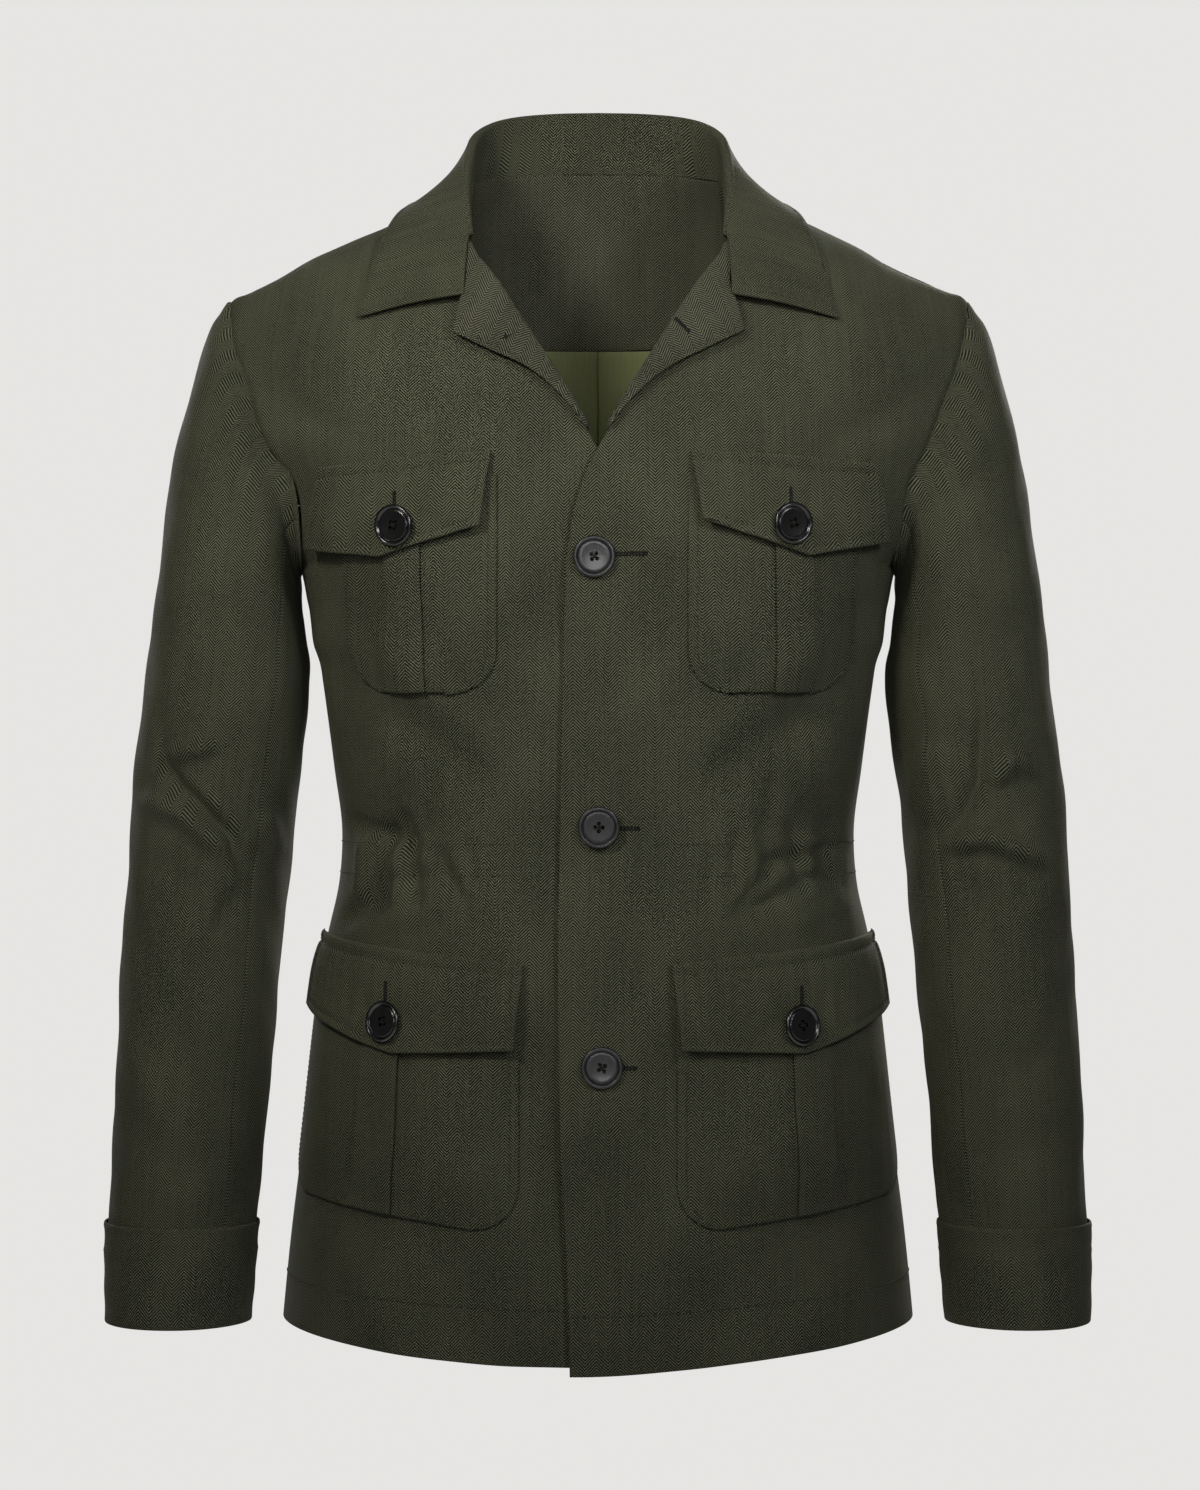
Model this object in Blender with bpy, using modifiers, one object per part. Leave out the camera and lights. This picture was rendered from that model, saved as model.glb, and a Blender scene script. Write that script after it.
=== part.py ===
"""Safari jacket, worn and hollow: cut pieces, patch pockets with flaps, and buttons.

Metres, +Z up. The front faces -Y and the wearer's left is +X. The origin is at the
base of the neck, level with the shoulder seams, where the wearer carries the jacket.
A point of a front is given by `a`, its distance from the centre line, and its height z.
"""

import math
from collections import namedtuple

import bmesh
import bpy
import numpy as np
from mathutils import Matrix, Vector

# ---------------------------------------------------------------- cloth and gaps
CLOTH = 0.0012
FACING_CLOTH = 0.0011
LINING_CLOTH = 0.0010
COLLAR_CLOTH = 0.0020
PLY_GAP = 0.00045
SEAM_GAP = 0.0004
PATCH_LIFT = 0.0027
SHOULDER_GAP = 0.0010
FACING_SHOULDER_GAP = 0.0012
UNDERARM_GAP = 0.0008
NECK_GAP = 0.0012
LINING_EASE = 0.0085

# ---------------------------------------------------------------- trunk
UNDERARM_Z = -0.225
NECK_WIDTH = 0.080
NECK_Y = 0.015
NECK_Z = 0.018
SHOULDER_SLOPE = 0.507
RIDGE_LEAN = 0.10
BACK_NECK_RISE = 0.014
BACK_NECK_REACH = 0.060

Level = namedtuple("Level", "z half_width front back")
TRUNK = (
    Level(-0.712, 0.1985, 0.1300, 0.1180),
    Level(-0.640, 0.1915, 0.1290, 0.1185),
    Level(-0.560, 0.1815, 0.1265, 0.1170),
    Level(-0.500, 0.1745, 0.1220, 0.1120),
    Level(-0.455, 0.1690, 0.1165, 0.1040),
    Level(-0.420, 0.1615, 0.1125, 0.0960),
    Level(-0.388, 0.1597, 0.1115, 0.0930),
    Level(-0.350, 0.1644, 0.1150, 0.0965),
    Level(-0.300, 0.1710, 0.1205, 0.1040),
    Level(-0.260, 0.1770, 0.1240, 0.1090),
    Level(-0.225, 0.1855, 0.1255, 0.1120),
)

# How full a section is: it fills a rounded outline of these powers.
FRONT_FULL = (2.5, 2.1)
BACK_FULL = (2.7, 2.1)

# Armhole edge by its share of the rise from underarm to shoulder: how far out it lies,
# and the share of the full section at which the front and back are cut away.
Armhole = namedtuple("Armhole", "rise reach front_share back_share")
ARMHOLE = (
    Armhole(0.00, 0.1855, 1.000, 1.000),
    Armhole(0.04, 0.1852, 0.972, 0.965),
    Armhole(0.12, 0.1860, 0.942, 0.925),
    Armhole(0.26, 0.1895, 0.922, 0.900),
    Armhole(0.42, 0.2030, 0.920, 0.895),
    Armhole(0.56, 0.2125, 0.928, 0.905),
    Armhole(0.85, 0.2275, 0.968, 0.955),
    Armhole(1.00, 0.2305, 1.000, 1.000),
)

# Inner edge of a front, from hem to neck. Below the break `a` is negative, past the
# centre line: the two fronts overlap. From the break up it is the roll line.
Edge = namedtuple("Edge", "z a")
FRONT_EDGE = (
    Edge(-0.712, -0.0160),
    Edge(-0.660, -0.0175),
    Edge(-0.580, -0.0220),
    Edge(-0.500, -0.0238),
    Edge(-0.440, -0.0238),
    Edge(-0.380, -0.0226),
    Edge(-0.300, -0.0212),
    Edge(-0.225, -0.0190),
)
LAPEL_EDGE = (
    Edge(-0.2250, -0.0190),
    Edge(-0.1960, -0.0145),
    Edge(-0.1690, -0.0060),
    Edge(-0.1475, 0.0060),
    Edge(-0.1260, 0.0185),
    Edge(-0.1055, 0.0325),
    Edge(-0.0855, 0.0450),
    Edge(-0.0680, 0.0560),
    Edge(-0.0500, 0.0672),
    Edge(-0.0310, 0.0788),
    Edge(0.0010, 0.0800),
    Edge(0.0180, 0.0800),
)
BREAK_ROW = 4
FACING_COLUMNS = 4
ROLL_TOP_ROW = 9

# Free edge of the lapel, one row for each row of the front above the break.
LAPEL_TIP = (
    Edge(-0.1105, 0.0405),
    Edge(-0.0985, 0.0650),
    Edge(-0.0884, 0.0858),
    Edge(-0.0600, 0.0815),
    Edge(-0.0420, 0.0870),
)
ROLL_RADIUS = 0.0010
LAPEL_LIFT = 0.0019
ROLL_TURNS = (60, 120, 180)
LAPEL_SHARES = (0.34, 0.67, 1.0)

HEM_DIP = 0.0150
BACK_HEM_DIP = 0.0020
HEM_Z = -0.6900
HEM_FADE = 0.070
HEM_DROP = {1: 0.0050, -1: 0.0}
HEM_DROP_END = 0.110
FRONT_ROWS = (
    -0.690, -0.660, -0.630, -0.600, -0.570, -0.540, -0.510, -0.482, -0.456, -0.436,
    -0.420, -0.405, -0.390, -0.372, -0.346, -0.315, -0.283, -0.252, -0.225,
)
FRONT_SHARES = (0.0, 0.11, 0.22, 0.32, 0.39, 0.45, 0.51, 0.57, 0.63, 0.69, 0.75, 0.81, 0.87, 0.94, 1.0)
NECK_COLUMNS = 3
SHOULDER_COLUMNS = 6
NECK_FACING_ROW = 9
NECK_FACING_Z = -0.0790
NECK_FACING_STEP = 0.0040
NECK_FACING_EASE = 0.0014
LINING_TOP_Z = -0.0794
LINING_JOIN_Z = -0.1180
LINING_TOP_EASE = 0.0034

# Where the fronts overlap, the left one stands off and the right one lies under it.
OVERLAP_OUT = {1: 0.0009, -1: -0.0032}
OVERLAP_FULL = 0.026
OVERLAP_END = 0.060

# ---------------------------------------------------------------- folds
# A fold runs between two points seen from the front or back, in metres. Its depth is
# positive for a ridge and negative for a trough.
Fold = namedtuple("Fold", "a0 z0 a1 z1 width depth")
WAIST_GATHERS = (
    Fold(0.074, -0.403, 0.148, -0.399, 0.0080, -0.0030),
    Fold(0.084, -0.370, 0.150, -0.372, 0.0080, -0.0014),
    Fold(0.088, -0.380, 0.083, -0.428, 0.0080, -0.0030),
    Fold(0.109, -0.378, 0.114, -0.440, 0.0080, -0.0040),
    Fold(0.132, -0.380, 0.139, -0.432, 0.0075, -0.0036),
    Fold(0.098, -0.412, 0.099, -0.446, 0.0080, 0.0028),
    Fold(0.123, -0.410, 0.128, -0.444, 0.0080, 0.0030),
    Fold(0.080, -0.350, 0.150, -0.300, 0.0140, -0.0022),
    Fold(0.070, -0.330, 0.120, -0.285, 0.0130, 0.0016),
)
CHEST_FOLDS = (
    Fold(0.196, -0.120, 0.150, -0.150, 0.0120, -0.0020),
    Fold(0.110, -0.040, 0.180, -0.110, 0.0200, 0.0016),
    Fold(0.030, -0.250, 0.060, -0.330, 0.0160, -0.0012),
)
BACK_GATHERS = (
    Fold(0.030, -0.402, 0.148, -0.398, 0.0080, -0.0028),
    Fold(0.046, -0.380, 0.044, -0.432, 0.0080, -0.0030),
    Fold(0.074, -0.382, 0.078, -0.438, 0.0080, -0.0034),
    Fold(0.102, -0.380, 0.105, -0.432, 0.0080, -0.0030),
    Fold(0.128, -0.382, 0.132, -0.430, 0.0075, -0.0032),
    Fold(0.060, -0.412, 0.060, -0.440, 0.0080, 0.0024),
    Fold(0.090, -0.350, 0.150, -0.290, 0.0150, -0.0026),
    Fold(0.180, -0.150, 0.120, -0.230, 0.0180, -0.0030),
    Fold(0.030, -0.080, 0.120, -0.070, 0.0220, 0.0012),
)

# Sleeve folds: `turn` is the way round the sleeve in degrees, 0 on its outer side,
# 90 at the front, 180 on the inner side and 270 at the back.
SleeveFold = namedtuple("SleeveFold", "turn0 z0 turn1 z1 width depth")
SLEEVE_FOLDS = {
    -1: (
        SleeveFold(20, -0.374, 150, -0.402, 0.0110, -0.0075),
        SleeveFold(48, -0.346, 155, -0.378, 0.0120, 0.0048),
        SleeveFold(60, -0.334, 120, -0.338, 0.0080, -0.0026),
        SleeveFold(140, -0.422, 120, -0.462, 0.0110, -0.0036),
        SleeveFold(40, -0.412, 120, -0.428, 0.0120, 0.0036),
        SleeveFold(70, -0.110, 150, -0.215, 0.0160, -0.0036),
        SleeveFold(250, -0.250, 200, -0.330, 0.0160, -0.0040),
        SleeveFold(330, -0.372, 220, -0.398, 0.0120, -0.0040),
        SleeveFold(300, -0.430, 230, -0.410, 0.0120, -0.0030),
        SleeveFold(60, -0.545, 130, -0.580, 0.0160, -0.0020),
    ),
    1: (
        SleeveFold(40, -0.402, 130, -0.398, 0.0110, -0.0066),
        SleeveFold(60, -0.356, 135, -0.352, 0.0085, -0.0030),
        SleeveFold(45, -0.380, 150, -0.374, 0.0110, 0.0044),
        SleeveFold(95, -0.425, 150, -0.412, 0.0100, 0.0034),
        SleeveFold(45, -0.150, 150, -0.225, 0.0140, -0.0050),
        SleeveFold(70, -0.190, 150, -0.275, 0.0150, 0.0030),
        SleeveFold(250, -0.240, 200, -0.320, 0.0160, -0.0040),
        SleeveFold(320, -0.392, 215, -0.382, 0.0120, -0.0040),
        SleeveFold(300, -0.350, 230, -0.358, 0.0120, -0.0030),
        SleeveFold(50, -0.560, 120, -0.540, 0.0160, -0.0020),
    ),
}

# ---------------------------------------------------------------- sleeves
Ring = namedtuple("Ring", "out_x out_z in_x in_z mid_y depth")
SLEEVE = (
    Ring(0.2305, -0.058, 0.1855, -0.225, 0.004, 0.0550),
    Ring(0.2385, -0.068, 0.1868, -0.2330, 0.004, 0.0600),
    Ring(0.2475, -0.092, 0.1852, -0.2420, 0.003, 0.0620),
    Ring(0.2575, -0.128, 0.1832, -0.2530, 0.002, 0.0630),
    Ring(0.2655, -0.170, 0.1816, -0.2670, 0.001, 0.0635),
    Ring(0.2715, -0.215, 0.1812, -0.2840, 0.000, 0.0635),
    Ring(0.2775, -0.262, 0.1822, -0.3050, 0.000, 0.0630),
    Ring(0.2825, -0.303, 0.1843, -0.3280, 0.000, 0.0620),
    Ring(0.2860, -0.335, 0.1865, -0.3500, -0.001, 0.0610),
    Ring(0.2885, -0.359, 0.1888, -0.3680, -0.002, 0.0600),
    Ring(0.2900, -0.380, 0.1905, -0.3840, -0.003, 0.0592),
    Ring(0.2915, -0.400, 0.1925, -0.4010, -0.005, 0.0585),
    Ring(0.2925, -0.422, 0.1945, -0.4200, -0.007, 0.0578),
    Ring(0.2937, -0.448, 0.1965, -0.4460, -0.010, 0.0570),
    Ring(0.2952, -0.485, 0.1992, -0.4830, -0.015, 0.0560),
    Ring(0.2968, -0.530, 0.2035, -0.5290, -0.022, 0.0540),
    Ring(0.2985, -0.580, 0.2075, -0.5790, -0.029, 0.0520),
    Ring(0.3003, -0.634, 0.2122, -0.6340, -0.0365, 0.0500),
)
SEAM_HOLD = (1.0, 0.60, 0.32, 0.14, 0.04)
ARMHOLE_CELLS = 11
CUFF = (
    Ring(0.3028, -0.6275, 0.2097, -0.6275, -0.0360, 0.0522),
    Ring(0.3030, -0.6560, 0.2122, -0.6560, -0.0390, 0.0509),
    Ring(0.3022, -0.6880, 0.2152, -0.6880, -0.0420, 0.0490),
)

# ---------------------------------------------------------------- collar
# Collar stations from the gorge round to the centre back. `along` is the share of the
# neckline from the top of the roll to the centre back. Over a front, the free edge is
# given by its distance from the centre line and its angle of rise on the form, 90 on the
# ridge, with its lift off it. Behind the ridge it is a point.
FrontStation = namedtuple("FrontStation", "along fold_a fold_y fold_z edge_a edge_rise lift")
BackStation = namedtuple("BackStation", "along fold_a fold_y fold_z edge_a edge_y edge_z")
COLLAR = (
    FrontStation(0.030, 0.0752, -0.0690, -0.0245, 0.0790, 40.6, 0.0085),
    FrontStation(0.085, 0.0762, -0.0560, -0.0120, 0.1005, 42.0, 0.0080),
    FrontStation(0.170, 0.0768, -0.0420, 0.0000, 0.1220, 43.2, 0.0070),
    FrontStation(0.250, 0.0773, -0.0290, 0.0110, 0.1440, 44.0, 0.0064),
    FrontStation(0.330, 0.0775, -0.0160, 0.0210, 0.1370, 55.0, 0.0056),
    FrontStation(0.415, 0.0772, -0.0020, 0.0310, 0.1285, 71.0, 0.0050),
    FrontStation(0.500, 0.0765, 0.0130, 0.0400, 0.1190, 90.0, 0.0046),
    BackStation(0.600, 0.0735, 0.0350, 0.0530, 0.1060, 0.0370, 0.0020),
    BackStation(0.700, 0.0650, 0.0540, 0.0630, 0.0870, 0.0590, 0.0040),
    BackStation(0.800, 0.0500, 0.0665, 0.0690, 0.0620, 0.0750, 0.0105),
    BackStation(0.900, 0.0270, 0.0730, 0.0718, 0.0320, 0.0830, 0.0160),
    BackStation(1.000, 0.0000, 0.0750, 0.0726, 0.0000, 0.0850, 0.0180),
)
COLLAR_BOW = 0.0030
COLLAR_FOLD_RADIUS = 0.0034
COLLAR_FALL_CELLS = 4
COLLAR_FOLD_TURNS = (50, 90, 130, 180)
COLLAR_DRAPE = 2.2

# ---------------------------------------------------------------- pockets
# Outlines on a front as seen from before it: inner and outer edge, top and bottom.
Patch = namedtuple("Patch", "inner outer top bottom_inner bottom_outer corner")
Pleat = namedtuple("Pleat", "inner_top outer_top inner_bottom outer_bottom")
Flap = namedtuple("Flap", "inner outer top_inner top_outer splay side_inner side_outer tip tip_at")
CHEST_PATCH = {
    1: Patch(0.0536, 0.1580, -0.174, -0.3045, -0.3035, 0.026),
    -1: Patch(0.0600, 0.1550, -0.174, -0.3045, -0.3035, 0.026),
}
CHEST_PLEAT = {
    1: Pleat(0.1040, 0.1285, 0.1045, 0.1265),
    -1: Pleat(0.1065, 0.1260, 0.1010, 0.1260),
}
CHEST_FLAP = {
    1: Flap(0.0548, 0.1656, -0.1598, -0.1640, 0.0064, -0.2017, -0.2096, -0.2202, 0.55),
    -1: Flap(0.0630, 0.1690, -0.1598, -0.1665, 0.0058, -0.2047, -0.2138, -0.2208, 0.55),
}
# The hip pockets wrap towards the side, so theirs are measured round the front.
HIP_PATCH = Patch(0.0470, 0.2360, -0.478, -0.6265, -0.6060, 0.030)
HIP_PLEAT = {
    1: Pleat(0.1165, 0.1430, 0.1215, 0.1490),
    -1: Pleat(0.1190, 0.1430, 0.1270, 0.1600),
}
HIP_FLAP = Flap(0.0440, 0.2130, -0.4655, -0.4495, 0.0050, -0.5175, -0.4960, -0.5205, 0.45)
FLAP_LIFTS = (0.0026, 0.0063, 0.0083, 0.0094, 0.0102)
FLAP_BUTTON_LIFT = 0.0094
FLAP_CLOTH = 0.0016
PLEAT_LIFT = 0.0016
PATCH_ROWS = 6
CORNER_ROWS = 4
PATCH_SIDES = {"chest": (3, 3), "hip": (4, 5)}
FLAP_COLUMNS = {"chest": 9, "hip": 11}

# ---------------------------------------------------------------- buttons
BUTTON_RADIUS = 0.0126
BUTTON_THICK = 0.0036
BUTTON_DISH = 0.0012
BUTTON_RIM = 0.0030
HOLE_RADIUS = 0.0011
HOLE_SPREAD = 0.0021
BUTTON_STEPS = 16
BUTTON_STANDOFF = 0.0008
Place = namedtuple("Place", "name side a z on_flap")
BUTTONS = (
    Place("button_front_1", 1, -0.0022, -0.2230, False),
    Place("button_front_2", 1, 0.0006, -0.3840, False),
    Place("button_front_3", 1, 0.0024, -0.5270, False),
    Place("button_chest_left", 1, 0.1120, -0.2026, True),
    Place("button_chest_right", -1, 0.1172, -0.2036, True),
    Place("button_hip_left", 1, 0.1165, -0.5040, True),
    Place("button_hip_right", -1, 0.1226, -0.5020, True),
)

# ---------------------------------------------------------------- colours
SHELL_COLOUR = (0.045, 0.048, 0.031)
FACING_COLOUR = (0.062, 0.066, 0.044)
LINING_COLOUR = (0.070, 0.075, 0.034)
BUTTON_COLOUR = (0.010, 0.010, 0.010)


def make_material(name, colour, roughness):
    """A plain Principled material."""
    material = bpy.data.materials.new(name)
    material.use_nodes = True
    shader = material.node_tree.nodes["Principled BSDF"]
    shader.inputs["Base Color"].default_value = (*colour, 1.0)
    shader.inputs["Roughness"].default_value = roughness
    shader.inputs["Metallic"].default_value = 0.0
    return material


# ---------------------------------------------------------------- curves and surfaces
def smooth(keys, values, at):
    """Cubic interpolation through a table's column, at one or many places."""
    keys = np.asarray(keys, float)
    values = np.asarray(values, float)
    slopes = np.gradient(values, keys)
    at = np.clip(at, keys[0], keys[-1])
    left = np.clip(np.searchsorted(keys, at, side="right") - 1, 0, len(keys) - 2)
    span = keys[left + 1] - keys[left]
    t = (at - keys[left]) / span
    hermite = (2 * t**3 - 3 * t**2 + 1, t**3 - 2 * t**2 + t, -2 * t**3 + 3 * t**2, t**3 - t**2)
    return (hermite[0] * values[left] + hermite[1] * span * slopes[left]
            + hermite[2] * values[left + 1] + hermite[3] * span * slopes[left + 1])


def column(table, name):
    """One named column of a table."""
    return np.array([getattr(row, name) for row in table])


def step(low, high, value):
    """Smooth step from 0 at low to 1 at high."""
    t = np.clip((value - low) / (high - low), 0.0, 1.0)
    return t * t * (3.0 - 2.0 * t)


def fullness(share, powers):
    """Depth of a section, as a share of its deepest, at a share of its half width."""
    inside = np.clip(1.0 - np.clip(np.abs(share), 0.0, 1.0) ** powers[0], 0.0, 1.0)
    return inside ** (1.0 / powers[1])


def trunk_width(z):
    """Half width of the trunk at a height."""
    return smooth(column(TRUNK, "z"), column(TRUNK, "half_width"), z)


def trunk_depth(z, facing):
    """Depth of the trunk from its middle, in front (-1) or behind (1)."""
    return smooth(column(TRUNK, "z"), column(TRUNK, "front" if facing < 0 else "back"), z)


def ridge_z(a):
    """Height of the shoulder line at a distance from the centre."""
    return NECK_Z - SHOULDER_SLOPE * (np.sqrt(a * a + 1e-6) - NECK_WIDTH)


def ridge_y(a):
    """Where the shoulder line lies between front and back."""
    return NECK_Y + RIDGE_LEAN * (NECK_WIDTH - np.abs(a))


def armhole_share(rise, facing):
    """Share of the full section at which the armhole is cut, at a share of its rise."""
    return smooth(column(ARMHOLE, "rise"),
                  column(ARMHOLE, "front_share" if facing < 0 else "back_share"), rise)


def upper_width(rise, facing):
    """Full half width above the underarm, at a share of the rise."""
    reach = smooth(column(ARMHOLE, "rise"), column(ARMHOLE, "reach"), rise)
    return reach / armhole_share(rise, facing)


def upper_point(share, angle, facing):
    """Point above the underarm: share of the half width, and angle of rise to the ridge."""
    a = upper_width(np.sin(angle), facing) * share
    depth = trunk_depth(UNDERARM_Z, facing)
    powers = FRONT_FULL if facing < 0 else BACK_FULL
    low_y = facing * depth * fullness(share, powers)
    if facing < 0:
        top_y, top_z = ridge_y(a), ridge_z(a)
        straight = 0.0
    else:
        inside = np.sqrt(np.clip(1.0 - (a / NECK_WIDTH) ** 2, 0.0, 1.0))
        at_neck = np.abs(a) < NECK_WIDTH
        top_y = np.where(at_neck, NECK_Y + BACK_NECK_REACH * inside, ridge_y(a))
        top_z = np.where(at_neck, NECK_Z + BACK_NECK_RISE * inside, ridge_z(a))
        straight = 1.0 - step(0.5 * NECK_WIDTH, 1.3 * NECK_WIDTH, np.abs(a))
    climb = (1.0 - straight) * np.sin(angle) + straight * angle / (0.5 * math.pi)
    y = top_y + (low_y - top_y) * np.cos(angle)
    z = UNDERARM_Z + (top_z - UNDERARM_Z) * climb
    return np.stack(np.broadcast_arrays(a, y, z), axis=-1)


def front_y(a, z):
    """Depth of the front's own form at a distance from the centre and a height."""
    a, z = np.broadcast_arrays(np.asarray(a, float), np.asarray(z, float))
    low = -trunk_depth(z, -1) * fullness(a / trunk_width(z), FRONT_FULL)
    rise = np.clip((z - UNDERARM_Z) / (ridge_z(a) - UNDERARM_Z), 0.0, 1.0)
    flat = -trunk_depth(UNDERARM_Z, -1) * fullness(a / upper_width(rise, -1), FRONT_FULL)
    high = ridge_y(a) + (flat - ridge_y(a)) * np.sqrt(1.0 - rise * rise)
    return np.where(z <= UNDERARM_Z, low, high)


def resample(points, shares):
    """Points at shares of the length of a fine polyline."""
    steps = np.linalg.norm(np.diff(points, axis=0), axis=1)
    length = np.concatenate([[0.0], np.cumsum(steps)])
    at = np.asarray(shares) * length[-1]
    return np.stack([np.interp(at, length, points[:, k]) for k in range(3)], axis=1)


def normals(points, turn):
    """Unit normals of a grid of points; turn is 1 or -1 to make them face out."""
    along = np.gradient(points, axis=1)
    up = np.gradient(points, axis=0)
    normal = np.cross(along, up) * turn
    return normal / np.maximum(np.linalg.norm(normal, axis=2, keepdims=True), 1e-9)


def fold_height(a, z, folds):
    """Height of a set of folds at points seen from before them."""
    height = np.zeros(np.shape(a))
    for fold in folds:
        run = np.array([fold.a1 - fold.a0, fold.z1 - fold.z0])
        length = np.linalg.norm(run)
        along = ((a - fold.a0) * run[0] + (z - fold.z0) * run[1]) / length
        off = ((a - fold.a0) * run[1] - (z - fold.z0) * run[0]) / length
        beyond = np.maximum(np.maximum(-along, along - length), 0.0)
        end = np.exp(-(beyond / (1.6 * fold.width)) ** 2)
        height = height + fold.depth * end * np.exp(-(off / fold.width) ** 2)
    return height


def front_relief(side, a, z):
    """How far a front stands off its plain form: folds, and the overlap of the fronts."""
    near_side = 1.0 - step(0.90, 0.985, np.abs(a) / trunk_width(np.minimum(z, UNDERARM_Z)))
    below = np.where(z < UNDERARM_Z, near_side, 1.0)
    folds = fold_height(a, z, WAIST_GATHERS + CHEST_FOLDS) * below
    overlap = (1.0 - step(OVERLAP_FULL, OVERLAP_END, a)) * (1.0 - step(-0.165, -0.105, z))
    return folds + OVERLAP_OUT[side] * overlap


def mirrored(points, side):
    """Points of a half turned to its side of the centre line."""
    return points * np.array([side, 1.0, 1.0])


def armhole_angles(facing):
    """Angles of rise that divide the armhole edge evenly, from underarm to shoulder."""
    angle = np.linspace(0.0, 0.5 * math.pi, 400)
    points = upper_point(armhole_share(np.sin(angle), facing), angle, facing)
    steps = np.linalg.norm(np.diff(points, axis=0), axis=1)
    length = np.concatenate([[0.0], np.cumsum(steps)])
    return np.interp(np.linspace(0.0, length[-1], ARMHOLE_CELLS + 1), length, angle)


def lower_row(z, facing, first_a, shares):
    """One level row of a front or back, from first_a round to the side seam."""
    turn = np.linspace(math.asin(np.clip(first_a / trunk_width(z), -1, 1)), 0.5 * math.pi, 300)
    share = np.sin(turn)
    hem = 1.0 - step(0.0, HEM_FADE, z - HEM_Z)
    dip = HEM_DIP if facing < 0 else BACK_HEM_DIP
    level = z - hem * dip * (1.0 - share * share)
    powers = FRONT_FULL if facing < 0 else BACK_FULL
    y = facing * trunk_depth(level, facing) * fullness(share, powers)
    return resample(np.stack([trunk_width(level) * share, y, level], axis=1), shares)


def upper_row(first, last, facing, shares):
    """One rising row above the underarm, between two (share, angle) ends."""
    blend = np.linspace(0.0, 1.0, 300)
    angle = first[1] + (last[1] - first[1]) * blend
    start = math.asin(np.clip(first[0], -1, 1))
    stop = math.asin(np.clip(last[0], -1, 1))
    share = np.sin(start + (stop - start) * blend)
    return resample(upper_point(share, angle, facing), shares)


def edge_row(edge):
    """Share of the half width and angle of rise of a point of the roll line or neckline."""
    rise = np.clip((edge.z - UNDERARM_Z) / (ridge_z(edge.a) - UNDERARM_Z), 0.0, 1.0)
    return edge.a / upper_width(rise, -1), math.asin(rise)


def front_grid(side):
    """Outer face of one front, from hem to shoulder and from its edge to the side seam."""
    shares = FRONT_SHARES
    rows = []
    for z in FRONT_ROWS[:-1]:
        first = float(smooth(column(FRONT_EDGE, "z"), column(FRONT_EDGE, "a"), z))
        row = lower_row(z, -1, first, shares)
        drop = 1.0 - step(first, HEM_DROP_END, row[:, 0])
        row[:, 2] -= HEM_DROP[side] * drop * (1.0 - step(0.0, HEM_FADE, z - HEM_Z))
        rows.append(row)
    for edge, angle in zip(LAPEL_EDGE, armhole_angles(-1)):
        last = (float(armhole_share(math.sin(angle), -1)), angle)
        rows.append(upper_row(edge_row(edge), last, -1, shares))
    plain = np.array(rows)
    out = normals(plain, 1)
    relief = front_relief(side, plain[:, :, 0], plain[:, :, 2])
    grid = mirrored(plain + out * relief[:, :, None], side)
    return grid, normals(grid, side)


def back_grid(folds):
    """Outer face of the back, from the right side seam to the left one."""
    turn = np.linspace(0.0, 0.5 * math.pi, 300)
    reach = upper_width(1.0, 1)
    top = upper_point(np.sin(turn), np.full(300, 0.5 * math.pi), 1)
    steps = np.linalg.norm(np.diff(top, axis=0), axis=1)
    length = np.concatenate([[0.0], np.cumsum(steps)])
    neck = np.interp(math.asin(NECK_WIDTH / reach), turn, length) / length[-1]
    shares = np.concatenate([
        np.linspace(0.0, neck, NECK_COLUMNS + 1)[:-1],
        np.linspace(neck, 1.0, SHOULDER_COLUMNS + 1),
    ])
    rows = [lower_row(z, 1, 0.0, shares) for z in FRONT_ROWS[:-1]]
    for angle in armhole_angles(1):
        last = (float(armhole_share(math.sin(angle), 1)), angle)
        rows.append(upper_row((0.0, angle), last, 1, shares))
    half = np.array(rows)
    near_side = 1.0 - step(0.90, 0.985, half[:, :, 0] / trunk_width(np.minimum(half[:, :, 2], UNDERARM_Z)))
    below = np.where(half[:, :, 2] < UNDERARM_Z, near_side, 1.0)
    relief = fold_height(half[:, :, 0], half[:, :, 2], folds) * below
    half = half - normals(half, 1) * relief[:, :, None]
    whole = np.concatenate([mirrored(half, -1)[:, :0:-1], half], axis=1)
    return whole, normals(whole, -1)


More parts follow.
